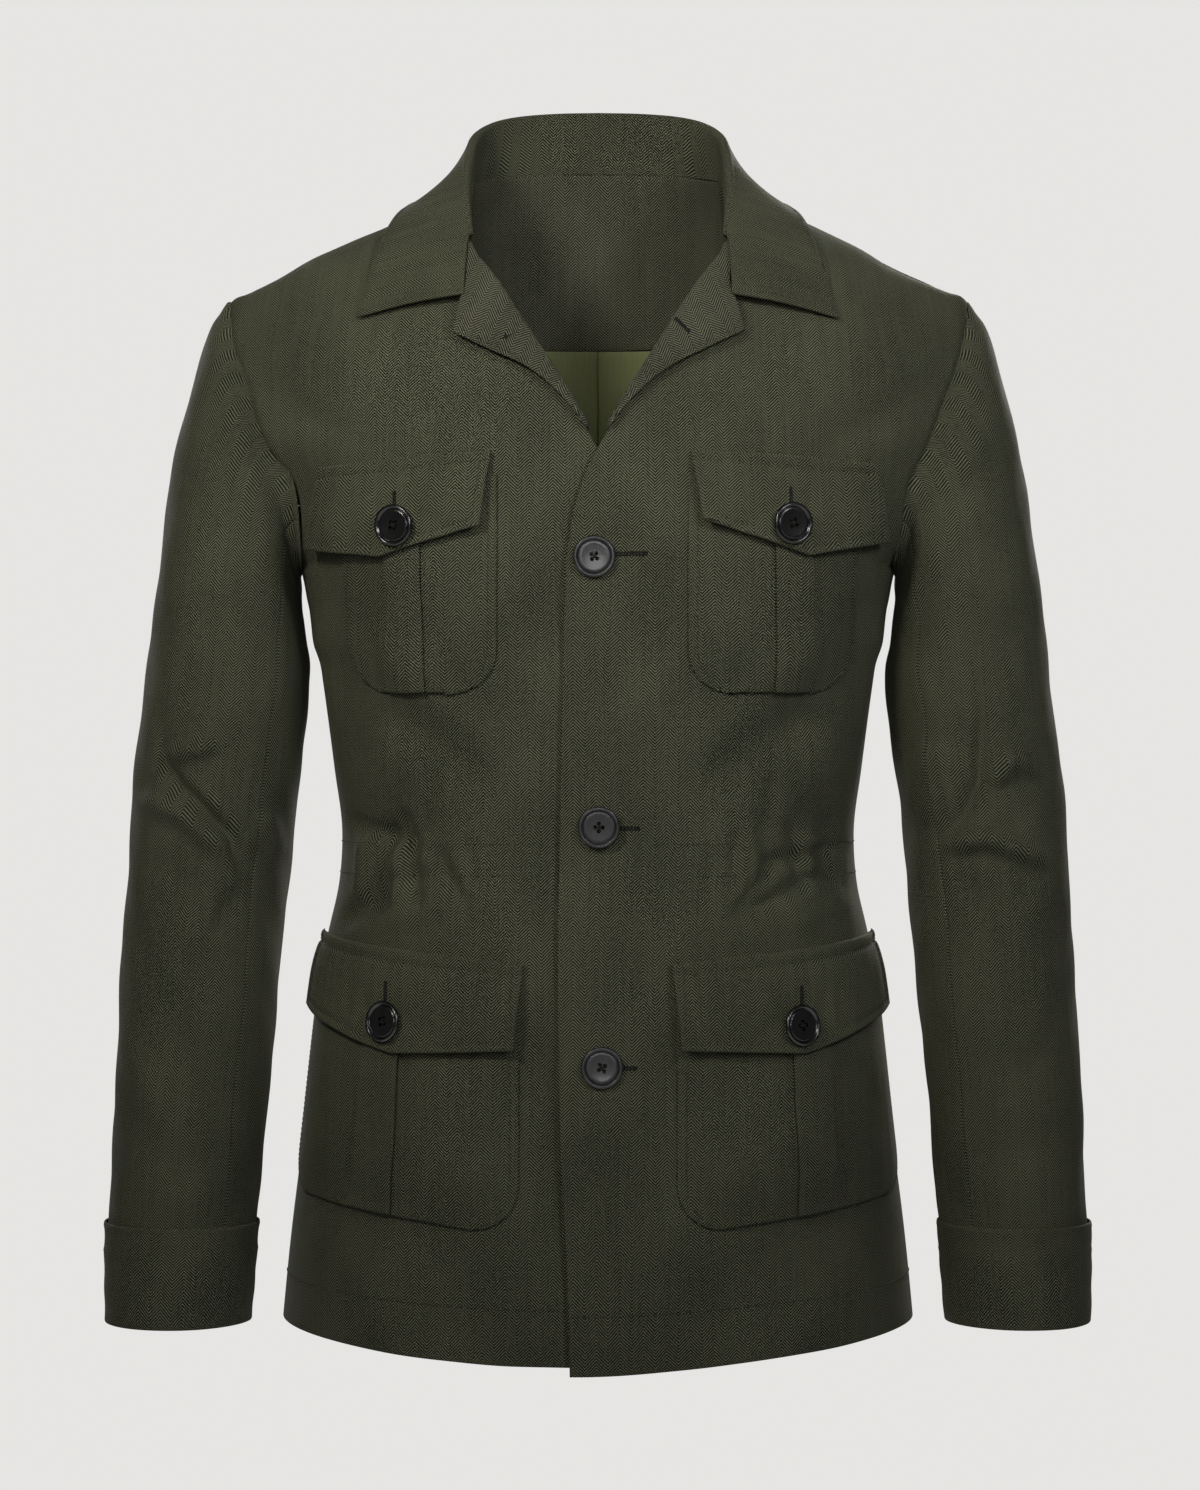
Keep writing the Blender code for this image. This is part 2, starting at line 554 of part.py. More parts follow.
# ---------------------------------------------------------------- lapel
def lapel_grid(side, front, out):
    """The part of a front past the roll line, turned back, from the break up."""
    base = len(FRONT_ROWS) - 1
    rows = []
    for row in range(base + BREAK_ROW + 1, base + ROLL_TOP_ROW + 1):
        tip = LAPEL_TIP[row - base - BREAK_ROW - 1]
        start = front[row, 0]
        normal = out[row, 0]
        along = front[row + 1, 0] - front[row - 1, 0]
        inward = np.cross(normal, along) * side
        inward = inward / np.linalg.norm(inward)
        inward *= np.sign(np.dot(inward, front[row, 1] - start))
        points = []
        for degrees in ROLL_TURNS:
            angle = math.radians(degrees)
            curl = -inward * math.sin(angle) + normal * (1.0 - math.cos(angle))
            points.append(start + curl * ROLL_RADIUS)
        for share in LAPEL_SHARES:
            a = side * start[0] + (tip.a - side * start[0]) * share
            z = start[2] + (tip.z - start[2]) * share
            slope = 0.0005
            dy_da = (front_y(a + slope, z) - front_y(a - slope, z)) / (2 * slope)
            dy_dz = (front_y(a, z + slope) - front_y(a, z - slope)) / (2 * slope)
            off = np.array([dy_da, -1.0, dy_dz])
            off = off / np.linalg.norm(off)
            lift = LAPEL_LIFT + front_relief(side, a, z)
            points.append(mirrored(np.array([a, float(front_y(a, z)), z]) + off * lift, side))
        rows.append(points)
    return np.array(rows)


def front_sheet(side):
    """A whole front with its lapel: points, and which of them are there."""
    body, out = front_grid(side)
    lapel = lapel_grid(side, body, out)
    base = len(FRONT_ROWS) - 1
    low = base + BREAK_ROW
    high = base + ROLL_TOP_ROW
    width = lapel.shape[1]
    points = np.repeat(body[:, :1], width, axis=1)
    points[low + 1:high + 1] = lapel
    present = np.zeros((body.shape[0], width), bool)
    present[low + 1:high + 1] = True
    whole = np.concatenate([points[:, ::-1], body], axis=1)
    there = np.concatenate([present[:, ::-1], np.ones(body.shape[:2], bool)], axis=1)
    return whole, there, low, width


# ---------------------------------------------------------------- meshes
def pull(points, side_name, gap):
    """Draw one edge of a grid back along the cloth by a gap."""
    pairs = {
        "first_column": (np.s_[:, 0], np.s_[:, 1]),
        "last_column": (np.s_[:, -1], np.s_[:, -2]),
        "first_row": (np.s_[0], np.s_[1]),
        "last_row": (np.s_[-1], np.s_[-2]),
    }
    edge, inner = pairs[side_name]
    run = points[inner] - points[edge]
    length = np.linalg.norm(run, axis=-1, keepdims=True)
    points[edge] += run / np.maximum(length, 1e-9) * gap
    return points


def sheet(name, points, turn, material, thick, wrap=False, present=None, fan_row=None, fan_width=0):
    """A wall of cloth: an open grid of faces with Solidify, its outer face on the points."""
    rows, columns = points.shape[:2]
    mesh_data = bmesh.new()
    made = {}
    for row in range(rows):
        for col in range(columns):
            if present is None or present[row, col]:
                made[row, col] = mesh_data.verts.new(Vector(points[row, col]))
    if fan_row is not None:
        for col in range(fan_width):
            made[fan_row, col] = made[fan_row, fan_width]
    last = columns if wrap else columns - 1
    for row in range(rows - 1):
        for col in range(last):
            after = (col + 1) % columns
            keys = ((row, col), (row, after), (row + 1, after), (row + 1, col))
            if not all(key in made for key in keys):
                continue
            corners = list(dict.fromkeys(made[key] for key in keys))
            if len(corners) < 3:
                continue
            if turn < 0:
                corners.reverse()
            mesh_data.faces.new(corners)
    mesh = bpy.data.meshes.new(name)
    mesh_data.to_mesh(mesh)
    mesh_data.free()
    mesh.shade_smooth()
    obj = bpy.data.objects.new(name, mesh)
    wall = obj.modifiers.new("Wall", "SOLIDIFY")
    wall.thickness = thick
    wall.offset = -1.0
    wall.use_rim = True
    wall.use_even_offset = False
    return finish(obj, material)


def finish(obj, material):
    """Give an object its material and put it in the jacket's collection."""
    obj.data.materials.append(material)
    JACKET.objects.link(obj)
    return obj


# ---------------------------------------------------------------- pieces of the body
def make_fronts(materials):
    """Both fronts with their lapels, and the facing inside each."""
    for side, name in ((1, "left"), (-1, "right")):
        points, present, low, width = front_sheet(side)
        turn = side
        out = normals(points, turn)
        out[low, width] = out[low, width + 1]
        cut = points.copy()
        pull(cut, "last_column", SEAM_GAP)
        pull(cut, "last_row", SHOULDER_GAP)
        neck_edge = cut[low + ROLL_TOP_ROW - BREAK_ROW + 1:, width:]
        pull(neck_edge, "first_column", NECK_GAP)
        sheet("front_" + name, cut, turn, materials["shell"], CLOTH, present=present,
              fan_row=low, fan_width=width)
        strip = width + FACING_COLUMNS
        under = points - out * (CLOTH + PLY_GAP)
        under = under[:, :strip]
        pull(under, "last_row", FACING_SHOULDER_GAP)
        sheet("facing_" + name, under, turn, materials["facing"], FACING_CLOTH,
              present=present[:, :strip], fan_row=low, fan_width=width)


def at_heights(points, heights):
    """A row of points, one on each column of a grid at that column's height."""
    row = []
    for line, z in zip(points.transpose(1, 0, 2), heights):
        row.append([np.interp(z, line[:, 2], line[:, axis]) for axis in range(3)])
    return np.array(row)


def make_back(materials):
    """The back with its neck facing and the two halves of its lining."""
    points, out = back_grid(BACK_GATHERS)
    cut = points.copy()
    pull(cut, "first_column", SEAM_GAP)
    pull(cut, "last_column", SEAM_GAP)
    pull(cut, "last_row", SHOULDER_GAP)
    sheet("back", cut, -1, materials["shell"], CLOTH)
    centre = points.shape[1] // 2
    inside = points - out * (CLOTH + PLY_GAP)
    first = len(FRONT_ROWS) - 1 + NECK_FACING_ROW
    spread = NECK_COLUMNS + 1
    strip = inside[:, centre - spread:centre + spread + 1]
    edge = np.full(strip.shape[1], NECK_FACING_Z)
    above = np.maximum(strip[first - 1, :, 2], edge + NECK_FACING_STEP)
    low_rows = [at_heights(strip, edge), at_heights(strip, above)]
    neck = np.concatenate([low_rows, strip[first:]])
    neck = neck - normals(neck, -1) * NECK_FACING_EASE
    pull(neck, "last_row", FACING_SHOULDER_GAP)
    sheet("neck_facing", neck, -1, materials["facing"], FACING_CLOTH)
    plain, plain_out = back_grid(())
    joins = step(LINING_JOIN_Z, LINING_TOP_Z, plain[:, :, 2:])
    ease = LINING_EASE + (LINING_TOP_EASE - LINING_EASE) * joins
    inside = plain - plain_out * ease
    flat_rows = [at_heights(inside, np.full(inside.shape[1], z)) for z in (LINING_JOIN_Z, LINING_TOP_Z)]
    rows = np.concatenate([inside[1:first - 3:2], flat_rows])
    left = rows[:, centre:-1:2].copy()
    right = rows[:, centre % 2:centre + 1:2].copy()
    for half in (left, right):
        pull(half, "last_row", SEAM_GAP)
    pull(left, "first_column", 0.5 * SEAM_GAP)
    pull(right, "last_column", 0.5 * SEAM_GAP)
    sheet("lining_left", left, -1, materials["lining"], LINING_CLOTH)
    sheet("lining_right", right, -1, materials["lining"], LINING_CLOTH)


# ---------------------------------------------------------------- sleeves
def ring_points(ring, count):
    """A tilted oval ring of points, from its outer side round by the front."""
    turn = np.arange(count) * 2.0 * math.pi / count
    mid = np.array([0.5 * (ring.out_x + ring.in_x), ring.mid_y, 0.5 * (ring.out_z + ring.in_z)])
    half = np.array([0.5 * (ring.out_x - ring.in_x), 0.0, 0.5 * (ring.out_z - ring.in_z)])
    deep = np.array([0.0, -ring.depth, 0.0])
    return mid + np.cos(turn)[:, None] * half + np.sin(turn)[:, None] * deep


def armhole_loop():
    """The armhole's edge: down the front from the shoulder, and up the back."""
    loops = []
    for facing in (-1, 1):
        angle = armhole_angles(facing)
        share = armhole_share(np.sin(angle), facing)
        loops.append(upper_point(share, angle, facing))
    return np.concatenate([loops[0][::-1], loops[1][1:-1]])


def sleeve_relief(side, turn, z, round_length):
    """Height of a sleeve's folds at a way round in degrees and a height."""
    height = np.zeros(np.shape(z))
    for fold in SLEEVE_FOLDS[side]:
        scale = round_length / 360.0
        run = np.array([(fold.turn1 - fold.turn0) * scale, fold.z1 - fold.z0])
        length = np.linalg.norm(run)
        off_a = (turn - fold.turn0) * scale
        along = (off_a * run[0] + (z - fold.z0) * run[1]) / length
        off = (off_a * run[1] - (z - fold.z0) * run[0]) / length
        beyond = np.maximum(np.maximum(-along, along - length), 0.0)
        end = np.exp(-(beyond / (1.8 * fold.width)) ** 2)
        height = height + fold.depth * end * np.exp(-(off / fold.width) ** 2)
    return height


def sleeve_grid(side):
    """Outer face of one sleeve, rows from the armhole down, columns round from outside."""
    loop = armhole_loop()
    count = len(loop)
    rings = [ring_points(ring, count) for ring in SLEEVE]
    drift = loop - rings[0]
    for index, hold in enumerate(SEAM_HOLD):
        rings[index] = rings[index] + drift * hold
    low = 0.5 - 0.5 * np.cos(np.arange(count) * 2.0 * math.pi / count)
    rings[0][:, 0] += SEAM_GAP + UNDERARM_GAP * low ** 4
    grid = np.array(rings)
    padded = np.concatenate([grid[:, -1:], grid, grid[:, :1]], axis=1)
    out = normals(padded, -1)[:, 1:-1]
    turn = np.arange(count) * 360.0 / count
    relief = sleeve_relief(side, turn[None, :], grid[:, :, 2], 0.345)
    relief[:3] = 0.0
    relief[-2:] *= 0.0
    grid = grid + out * relief[:, :, None]
    return mirrored(grid, side)


def make_sleeves(materials):
    """Two-piece sleeves and their cuff bands."""
    for side, name in ((1, "left"), (-1, "right")):
        grid = sleeve_grid(side)
        count = grid.shape[1]
        front_seam = int(round(count * 0.36))
        back_seam = int(round(count * 0.68))
        top = np.concatenate([grid[:, back_seam:], grid[:, :front_seam + 1]], axis=1)
        under = grid[:, front_seam:back_seam + 1].copy()
        for piece in (top, under):
            pull(piece, "first_column", 0.5 * SEAM_GAP)
            pull(piece, "last_column", 0.5 * SEAM_GAP)
        sheet("sleeve_%s_top" % name, top, -side, materials["shell"], CLOTH)
        sheet("sleeve_%s_under" % name, under, -side, materials["shell"], CLOTH)
        cuff = mirrored(np.array([ring_points(ring, count) for ring in CUFF]), side)
        sheet("cuff_" + name, cuff, -side, materials["shell"], CLOTH, wrap=True)


# ---------------------------------------------------------------- collar
def neckline(along):
    """Neck edge of the fronts and back, as a share from the roll's top to the centre back."""
    if along <= 0.5:
        low = LAPEL_EDGE[ROLL_TOP_ROW]
        angle = edge_row(low)[1] + (0.5 * math.pi - edge_row(low)[1]) * along / 0.5
        width = low.a + (NECK_WIDTH - low.a) * along / 0.5
        return upper_point(width / upper_width(math.sin(angle), -1), angle, -1)
    swing = (along - 0.5) * math.pi
    return np.array([NECK_WIDTH * math.cos(swing), NECK_Y + BACK_NECK_REACH * math.sin(swing),
                     NECK_Z + BACK_NECK_RISE * math.sin(swing)])


def form_point(a, angle):
    """A point of the front's form above the underarm, and its outward normal."""
    here = upper_point(a / upper_width(math.sin(angle), -1), angle, -1)
    small = 0.004
    lean = 0.02
    beside = upper_point((a + small) / upper_width(math.sin(angle), -1), angle, -1)
    lower = upper_point(a / upper_width(math.sin(angle - lean), -1), angle - lean, -1)
    normal = np.cross(beside - here, here - lower)
    return here, normal / np.linalg.norm(normal)


def front_fall(station, neck, outer):
    """Fall of the collar over a front: it drapes from the fold on to the form."""
    start_angle = math.asin(min(1.0, (neck[2] - UNDERARM_Z) / (ridge_z(neck[0]) - UNDERARM_Z)))
    end_angle = math.radians(station.edge_rise)
    begin, begin_out = form_point(neck[0], start_angle)
    loose = outer - begin - begin_out * station.lift
    points = []
    for index in range(1, COLLAR_FALL_CELLS + 1):
        t = index / COLLAR_FALL_CELLS
        at_a = neck[0] + (station.edge_a - neck[0]) * t
        under, out = form_point(at_a, start_angle + (end_angle - start_angle) * t)
        points.append(under + out * station.lift + loose * (1.0 - t) ** COLLAR_DRAPE)
    return points


def back_fall(station, rise, away, outer):
    """Fall of the collar behind the ridge: a bowed sheet from the fold to its edge."""
    edge = np.array([station.edge_a, station.edge_y, station.edge_z])
    bow = outer - rise * 0.4 * np.linalg.norm(edge - outer) + away * COLLAR_BOW
    points = []
    for index in range(1, COLLAR_FALL_CELLS + 1):
        t = index / COLLAR_FALL_CELLS
        points.append((1 - t) ** 2 * outer + 2 * t * (1 - t) * bow + t * t * edge)
    return points


def collar_section(station, before, after):
    """One section of the collar, from the neck seam over the fold to the free edge."""
    neck = neckline(station.along)
    fold = np.array([station.fold_a, station.fold_y, station.fold_z])
    rise = (fold - neck) / np.linalg.norm(fold - neck)
    away = np.cross(rise, before - after)
    away = away / np.linalg.norm(away)
    radius = COLLAR_FOLD_RADIUS
    foot = neck + rise * (SEAM_GAP + 0.0006) - away * 0.0016
    inner_top = fold - rise * radius
    points = [foot, foot + (inner_top - foot) * 0.5, inner_top]
    middle = inner_top + away * radius
    for degrees in COLLAR_FOLD_TURNS:
        angle = math.radians(degrees)
        points.append(middle + (rise * math.sin(angle) - away * math.cos(angle)) * radius)
    if isinstance(station, FrontStation):
        return points + front_fall(station, neck, points[-1])
    return points + back_fall(station, rise, away, points[-1])


def make_collar(materials):
    """The collar: stand, fold and fall in one folded sheet."""
    half = []
    for index, station in enumerate(COLLAR):
        low = COLLAR[max(index - 1, 0)]
        high = COLLAR[min(index + 1, len(COLLAR) - 1)]
        before = np.array([low.fold_a, low.fold_y, low.fold_z])
        after = np.array([high.fold_a, high.fold_y, high.fold_z])
        if index == len(COLLAR) - 1:
            after = after * np.array([-1, 1, 1]) * np.array([0, 1, 1]) + np.array([-0.02, 0, 0])
        half.append(collar_section(station, before, after))
    left = np.array(half).transpose(1, 0, 2)
    whole = np.concatenate([left[:, :-1], mirrored(left, -1)[:, ::-1]], axis=1)
    sheet("collar", whole, -1, materials["shell"], COLLAR_CLOTH)


# ---------------------------------------------------------------- pockets
def across(side, distance, z, round_front):
    """A point of a front, `a` from the centre or measured round the front to it."""
    turn = np.linspace(0.0, 0.5 * math.pi, 400)
    if not round_front:
        return np.array([distance, float(front_y(distance, z)), z])
    a = trunk_width(z) * np.sin(turn)
    y = -trunk_depth(z, -1) * fullness(np.sin(turn), FRONT_FULL)
    steps = np.hypot(np.diff(a), np.diff(y))
    length = np.concatenate([[0.0], np.cumsum(steps)])
    return np.array([np.interp(distance, length, a), np.interp(distance, length, y), z])


def laid(side, places, lifts, round_front):
    """A grid of (distance, z) places laid on a front and lifted off it."""
    plain = np.array([[across(side, d, z, round_front) for d, z in row] for row in places])
    out = normals(plain, 1)
    relief = front_relief(side, plain[:, :, 0], plain[:, :, 2])
    return mirrored(plain + out * (relief + lifts)[:, :, None], side)


def pleat_edges(pleat, patch, z):
    """Inner and outer edge of a pleat at a height."""
    up = (z - patch.bottom_inner) / (patch.top - patch.bottom_inner)
    inner = pleat.inner_bottom + (pleat.inner_top - pleat.inner_bottom) * up
    outer = pleat.outer_bottom + (pleat.outer_top - pleat.outer_bottom) * up
    return inner, outer


def patch_places(patch, pleat, sides):
    """Places of a patch pocket, from its rounded bottom to its top, with the pleat's edges."""
    corner = patch.corner
    tall = patch.top - patch.bottom_inner
    drops = np.concatenate([
        corner * (1.0 - np.cos(np.linspace(0.0, 0.5 * math.pi, CORNER_ROWS))),
        np.linspace(corner, tall, PATCH_ROWS)[1:],
    ])
    places = []
    for drop in drops:
        cut = corner - math.sqrt(max(corner**2 - (corner - min(drop, corner)) ** 2, 0.0))
        inner, outer = pleat_edges(pleat, patch, patch.bottom_inner + drop)
        distances = np.concatenate([
            np.linspace(patch.inner + cut, inner, sides[0] + 1),
            [0.5 * (inner + outer)],
            np.linspace(outer, patch.outer - cut, sides[1] + 1),
        ])
        row = []
        for distance in distances:
            share = (distance - patch.inner) / (patch.outer - patch.inner)
            bottom = patch.bottom_inner + (patch.bottom_outer - patch.bottom_inner) * share
            row.append((distance, bottom + (patch.top - bottom) * drop / tall))
        places.append(row)
    return places


def make_pockets(materials):
    """Patch pockets on chest and hips, with a pleat down each and a flap over it."""
    for side, name in ((1, "left"), (-1, "right")):
        jobs = (
            ("chest", CHEST_PATCH[side], CHEST_PLEAT[side], CHEST_FLAP[side], False),
            ("hip", HIP_PATCH, HIP_PLEAT[side], HIP_FLAP, True),
        )
        for kind, patch, pleat, flap, round_front in jobs:
            sides = PATCH_SIDES[kind]
            places = patch_places(patch, pleat, sides)
            lifts = np.full((len(places), len(places[0])), PATCH_LIFT)
            grid = laid(side, places, lifts, round_front)
            sheet("%s_pocket_%s" % (kind, name), grid, side, materials["shell"], CLOTH)
            raised = grid + normals(grid, side) * PLEAT_LIFT
            strip = raised[1:-1, sides[0]:sides[0] + 3]
            sheet("%s_pleat_%s" % (kind, name), strip, side, materials["shell"], CLOTH)
            make_flap(kind, name, side, flap, round_front, materials)


def flap_places(flap, columns, rows):
    """Places of a flap from its top seam down to its shaped lower edge."""
    places = []
    for down in np.linspace(1.0, 0.0, rows):
        row = []
        for share in np.linspace(0.0, 1.0, columns):
            grow = flap.splay * down
            distance = flap.inner + grow + (flap.outer - flap.inner) * share
            top = flap.top_inner + (flap.top_outer - flap.top_inner) * share
            if share < flap.tip_at:
                t = share / flap.tip_at
                bottom = flap.side_inner + (flap.tip - flap.side_inner) * t
            else:
                t = (share - flap.tip_at) / (1.0 - flap.tip_at)
                bottom = flap.tip + (flap.side_outer - flap.tip) * t
            row.append((distance, top + (bottom - top) * down))
        places.append(row)
    return places


def make_flap(kind, name, side, flap, round_front, materials):
    """A pocket flap, standing off the pocket towards its lower edge."""
    columns = FLAP_COLUMNS[kind]
    places = flap_places(flap, columns, len(FLAP_LIFTS))
    lifts = np.repeat(np.array(FLAP_LIFTS[::-1])[:, None], columns, axis=1)
    grid = laid(side, places, lifts, round_front)
    sheet("%s_flap_%s" % (kind, name), grid, side, materials["shell"], FLAP_CLOTH)


# ---------------------------------------------------------------- buttons
def button_mesh():
    """A dished button with a raised rim and four sewing holes, facing +Z."""
    outer = BUTTON_RADIUS
    profile = (
        (0.0, BUTTON_THICK - BUTTON_DISH),
        (outer - BUTTON_RIM, BUTTON_THICK - BUTTON_DISH),
        (outer - 0.5 * BUTTON_RIM, BUTTON_THICK),
        (outer, 0.60 * BUTTON_THICK),
        (outer - 0.30 * BUTTON_THICK, 0.0),
        (0.0, 0.0),
    )
    mesh = bpy.data.meshes.new("button_profile")
    mesh.from_pydata([(x, 0.0, z) for x, z in profile],
                     [(i, i + 1) for i in range(len(profile) - 1)], [])
    turned = bpy.data.objects.new("button_turned", mesh)
    JACKET.objects.link(turned)
    screw = turned.modifiers.new("Turn", "SCREW")
    screw.axis = "Z"
    screw.steps = BUTTON_STEPS
    screw.render_steps = BUTTON_STEPS
    screw.use_merge_vertices = True
    screw.merge_threshold = 0.00001
    cutters = []
    for corner in range(4):
        angle = math.radians(45 + 90 * corner)
        drill = bpy.data.meshes.new("drill")
        shape = bmesh.new()
        place = Matrix.Translation((HOLE_SPREAD * math.cos(angle), HOLE_SPREAD * math.sin(angle),
                                    0.5 * BUTTON_THICK))
        bmesh.ops.create_cone(shape, cap_ends=True, segments=6, radius1=HOLE_RADIUS,
                              radius2=HOLE_RADIUS, depth=3.0 * BUTTON_THICK, matrix=place)
        shape.to_mesh(drill)
        shape.free()
        cutter = bpy.data.objects.new("button_drill_%d" % corner, drill)
        cutter.hide_render = True
        cutter.display_type = "WIRE"
        CUTTERS.objects.link(cutter)
        bore = turned.modifiers.new("Hole %d" % corner, "BOOLEAN")
        bore.operation = "DIFFERENCE"
        bore.solver = "EXACT"
        bore.object = cutter
        cutters.append(cutter)
    bpy.context.view_layer.update()
    depsgraph = bpy.context.evaluated_depsgraph_get()
    made = bpy.data.meshes.new_from_object(turned.evaluated_get(depsgraph))
    made.name = "button"
    bpy.data.objects.remove(turned)
    for cutter in cutters:
        bpy.data.objects.remove(cutter)
    made.shade_smooth()
    made.set_sharp_from_angle(angle=math.radians(35))
    return made


def make_buttons(materials):
    """Seven buttons, each square on the cloth beneath it."""
    made = button_mesh()
    made.materials.append(materials["button"])
    for place in BUTTONS:
        lift = FLAP_BUTTON_LIFT if place.on_flap else 0.0
        span = 0.006
        around = [[(place.a + i * span, place.z + j * span) for i in (-1, 0, 1)] for j in (-1, 0, 1)]
        grid = laid(place.side, around, np.full((3, 3), lift + BUTTON_STANDOFF), False)
        out = normals(grid, place.side)[1, 1]
        obj = bpy.data.objects.new(place.name, made)
        obj.location = Vector(grid[1, 1])
        obj.rotation_mode = "QUATERNION"
        obj.rotation_quaternion = Vector(out).to_track_quat("Z", "Y")
        JACKET.objects.link(obj)


for old in list(bpy.data.objects):
    bpy.data.objects.remove(old)
JACKET = bpy.data.collections.new("Safari jacket")
CUTTERS = bpy.data.collections.new("Cutters")
bpy.context.scene.collection.children.link(JACKET)
bpy.context.scene.collection.children.link(CUTTERS)
MATERIALS = {
    "shell": make_material("Herringbone shell", SHELL_COLOUR, 0.9),
    "facing": make_material("Herringbone facing", FACING_COLOUR, 0.9),
    "lining": make_material("Plain lining", LINING_COLOUR, 0.6),
    "button": make_material("Dark button", BUTTON_COLOUR, 0.25),
}
make_fronts(MATERIALS)
make_back(MATERIALS)
make_sleeves(MATERIALS)
make_collar(MATERIALS)
make_pockets(MATERIALS)
make_buttons(MATERIALS)
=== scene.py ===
"""Safari jacket in dark olive herringbone wool, worn and hollow, in soft studio light.

Metres, +Z up. The front faces -Y and the wearer's left is +X. A point of a front is given
by `a`, its distance from the centre line, and its height z. Every cloth piece is a thin
closed wall on the body's form, with its folds laid on it as soft troughs and ridges, and
its UV map holds metres along and across the cloth, so that the weave keeps its size.
"""

import logging
import math
from dataclasses import dataclass, field
from enum import Enum
from typing import Any, NamedTuple, Optional, Sequence, Union

import bmesh
import bpy
import numpy as np
from mathutils import Matrix, Vector

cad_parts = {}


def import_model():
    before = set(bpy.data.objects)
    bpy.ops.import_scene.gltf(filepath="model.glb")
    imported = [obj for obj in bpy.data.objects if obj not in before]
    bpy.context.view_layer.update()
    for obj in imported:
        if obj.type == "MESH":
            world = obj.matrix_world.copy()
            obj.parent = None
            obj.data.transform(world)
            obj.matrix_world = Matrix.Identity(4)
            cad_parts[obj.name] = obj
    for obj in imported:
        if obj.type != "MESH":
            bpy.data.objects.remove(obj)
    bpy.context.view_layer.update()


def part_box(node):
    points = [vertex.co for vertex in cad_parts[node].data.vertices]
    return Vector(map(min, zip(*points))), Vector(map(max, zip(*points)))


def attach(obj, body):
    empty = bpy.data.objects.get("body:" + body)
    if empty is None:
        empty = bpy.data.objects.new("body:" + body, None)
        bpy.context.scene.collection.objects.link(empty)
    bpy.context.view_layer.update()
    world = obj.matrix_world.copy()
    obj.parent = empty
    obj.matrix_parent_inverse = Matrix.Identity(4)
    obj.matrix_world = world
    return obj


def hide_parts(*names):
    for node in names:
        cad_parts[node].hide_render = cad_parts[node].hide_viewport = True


Array = np.ndarray
LOG = logging.getLogger("safari_jacket")


class Side(Enum):
    """The wearer's side of the body, as the sign of x."""

    LEFT = 1
    RIGHT = -1

    @property
    def word(self) -> str:
        """The side's name as nodes use it."""
        return self.name.lower()


class Facing(Enum):
    """Which half of the trunk a panel covers."""

    FRONT = -1
    BACK = 1


class Kind(Enum):
    """Where a patch pocket sits."""

    CHEST = "chest"
    HIP = "hip"


# ---------------------------------------------------------------- numbers to curves
def smooth(keys: Array, values: Array, at: Any) -> Array:
    """Cubic interpolation through a table's column.

    Args:
        keys: rising places of the values.
        values: the values there, one row each.
        at: one or many places to read.

    Returns:
        The value at each place.
    """
    keys = np.asarray(keys, float)
    values = np.asarray(values, float)
    slopes = np.gradient(values, keys, axis=0)
    at = np.clip(np.asarray(at, float), keys[0], keys[-1])
    left = np.clip(np.searchsorted(keys, at, side="right") - 1, 0, len(keys) - 2)
    span = keys[left + 1] - keys[left]
    t = (at - keys[left]) / span
    if values.ndim > 1:
        extra = (None,) * (values.ndim - 1)
        t, span = t[(...,) + extra], span[(...,) + extra]
    lead = 2 * t**3 - 3 * t**2 + 1
    return (lead * values[left] + (t**3 - 2 * t**2 + t) * span * slopes[left]
            + (1 - lead) * values[left + 1] + (t**3 - t**2) * span * slopes[left + 1])


def column(table: Sequence[NamedTuple], name: str) -> Array:
    """One named column of a table.

    Args:
        table: the table, a row for each entry.
        name: name of the column.

    Returns:
        The column's values.
    """
    return np.array([getattr(row, name) for row in table])


def step(low: float, high: float, value: Any) -> Array:
    """Smooth step from 0 at low to 1 at high.

    Args:
        low: where the step starts.
        high: where the step ends.
        value: where it is read.

    Returns:
        The step at each value.
    """
    t = np.clip((value - low) / (high - low), 0.0, 1.0)
    return t * t * (3.0 - 2.0 * t)


def unit(vectors: Array) -> Array:
    """Vectors scaled to length one.

    Args:
        vectors: the vectors, along the last axis.

    Returns:
        The scaled vectors.
    """
    return vectors / np.maximum(np.linalg.norm(vectors, axis=-1, keepdims=True), 1e-9)


def lengths(points: Array) -> Array:
    """Length along a polyline from its first point, at each of its points.

    Args:
        points: the points.

    Returns:
        The running lengths.
    """
    steps = np.linalg.norm(np.diff(points, axis=0), axis=-1)
    return np.concatenate([[0.0], np.cumsum(steps)])


def resample(points: Array, shares: Array) -> Array:
    """Points at shares of the length of a fine polyline.

    Args:
        points: the points.
        shares: shares, each from 0 to 1.

    Returns:
        The new points.
    """
    along = lengths(points)
    at = np.asarray(shares) * along[-1]
    return np.stack([np.interp(at, along, points[:, k]) for k in range(points.shape[1])], axis=1)


def grid_normals(points: Array, turn: int) -> Array:
    """Unit normals of a grid of points; turn is 1 or -1 to make them face out.

    Args:
        points: the points.
        turn: 1 or -1, whichever makes the normals face out.

    Returns:
        A normal for each point.
    """
    return unit(np.cross(np.gradient(points, axis=1), np.gradient(points, axis=0)) * turn)


def mirrored(points: Array, side: Side) -> Array:
    """Points of a half turned to its side of the centre line.

    Args:
        points: the points.
        side: side of the jacket.

    Returns:
        The turned points.
    """
    return points * np.array([side.value, 1.0, 1.0])


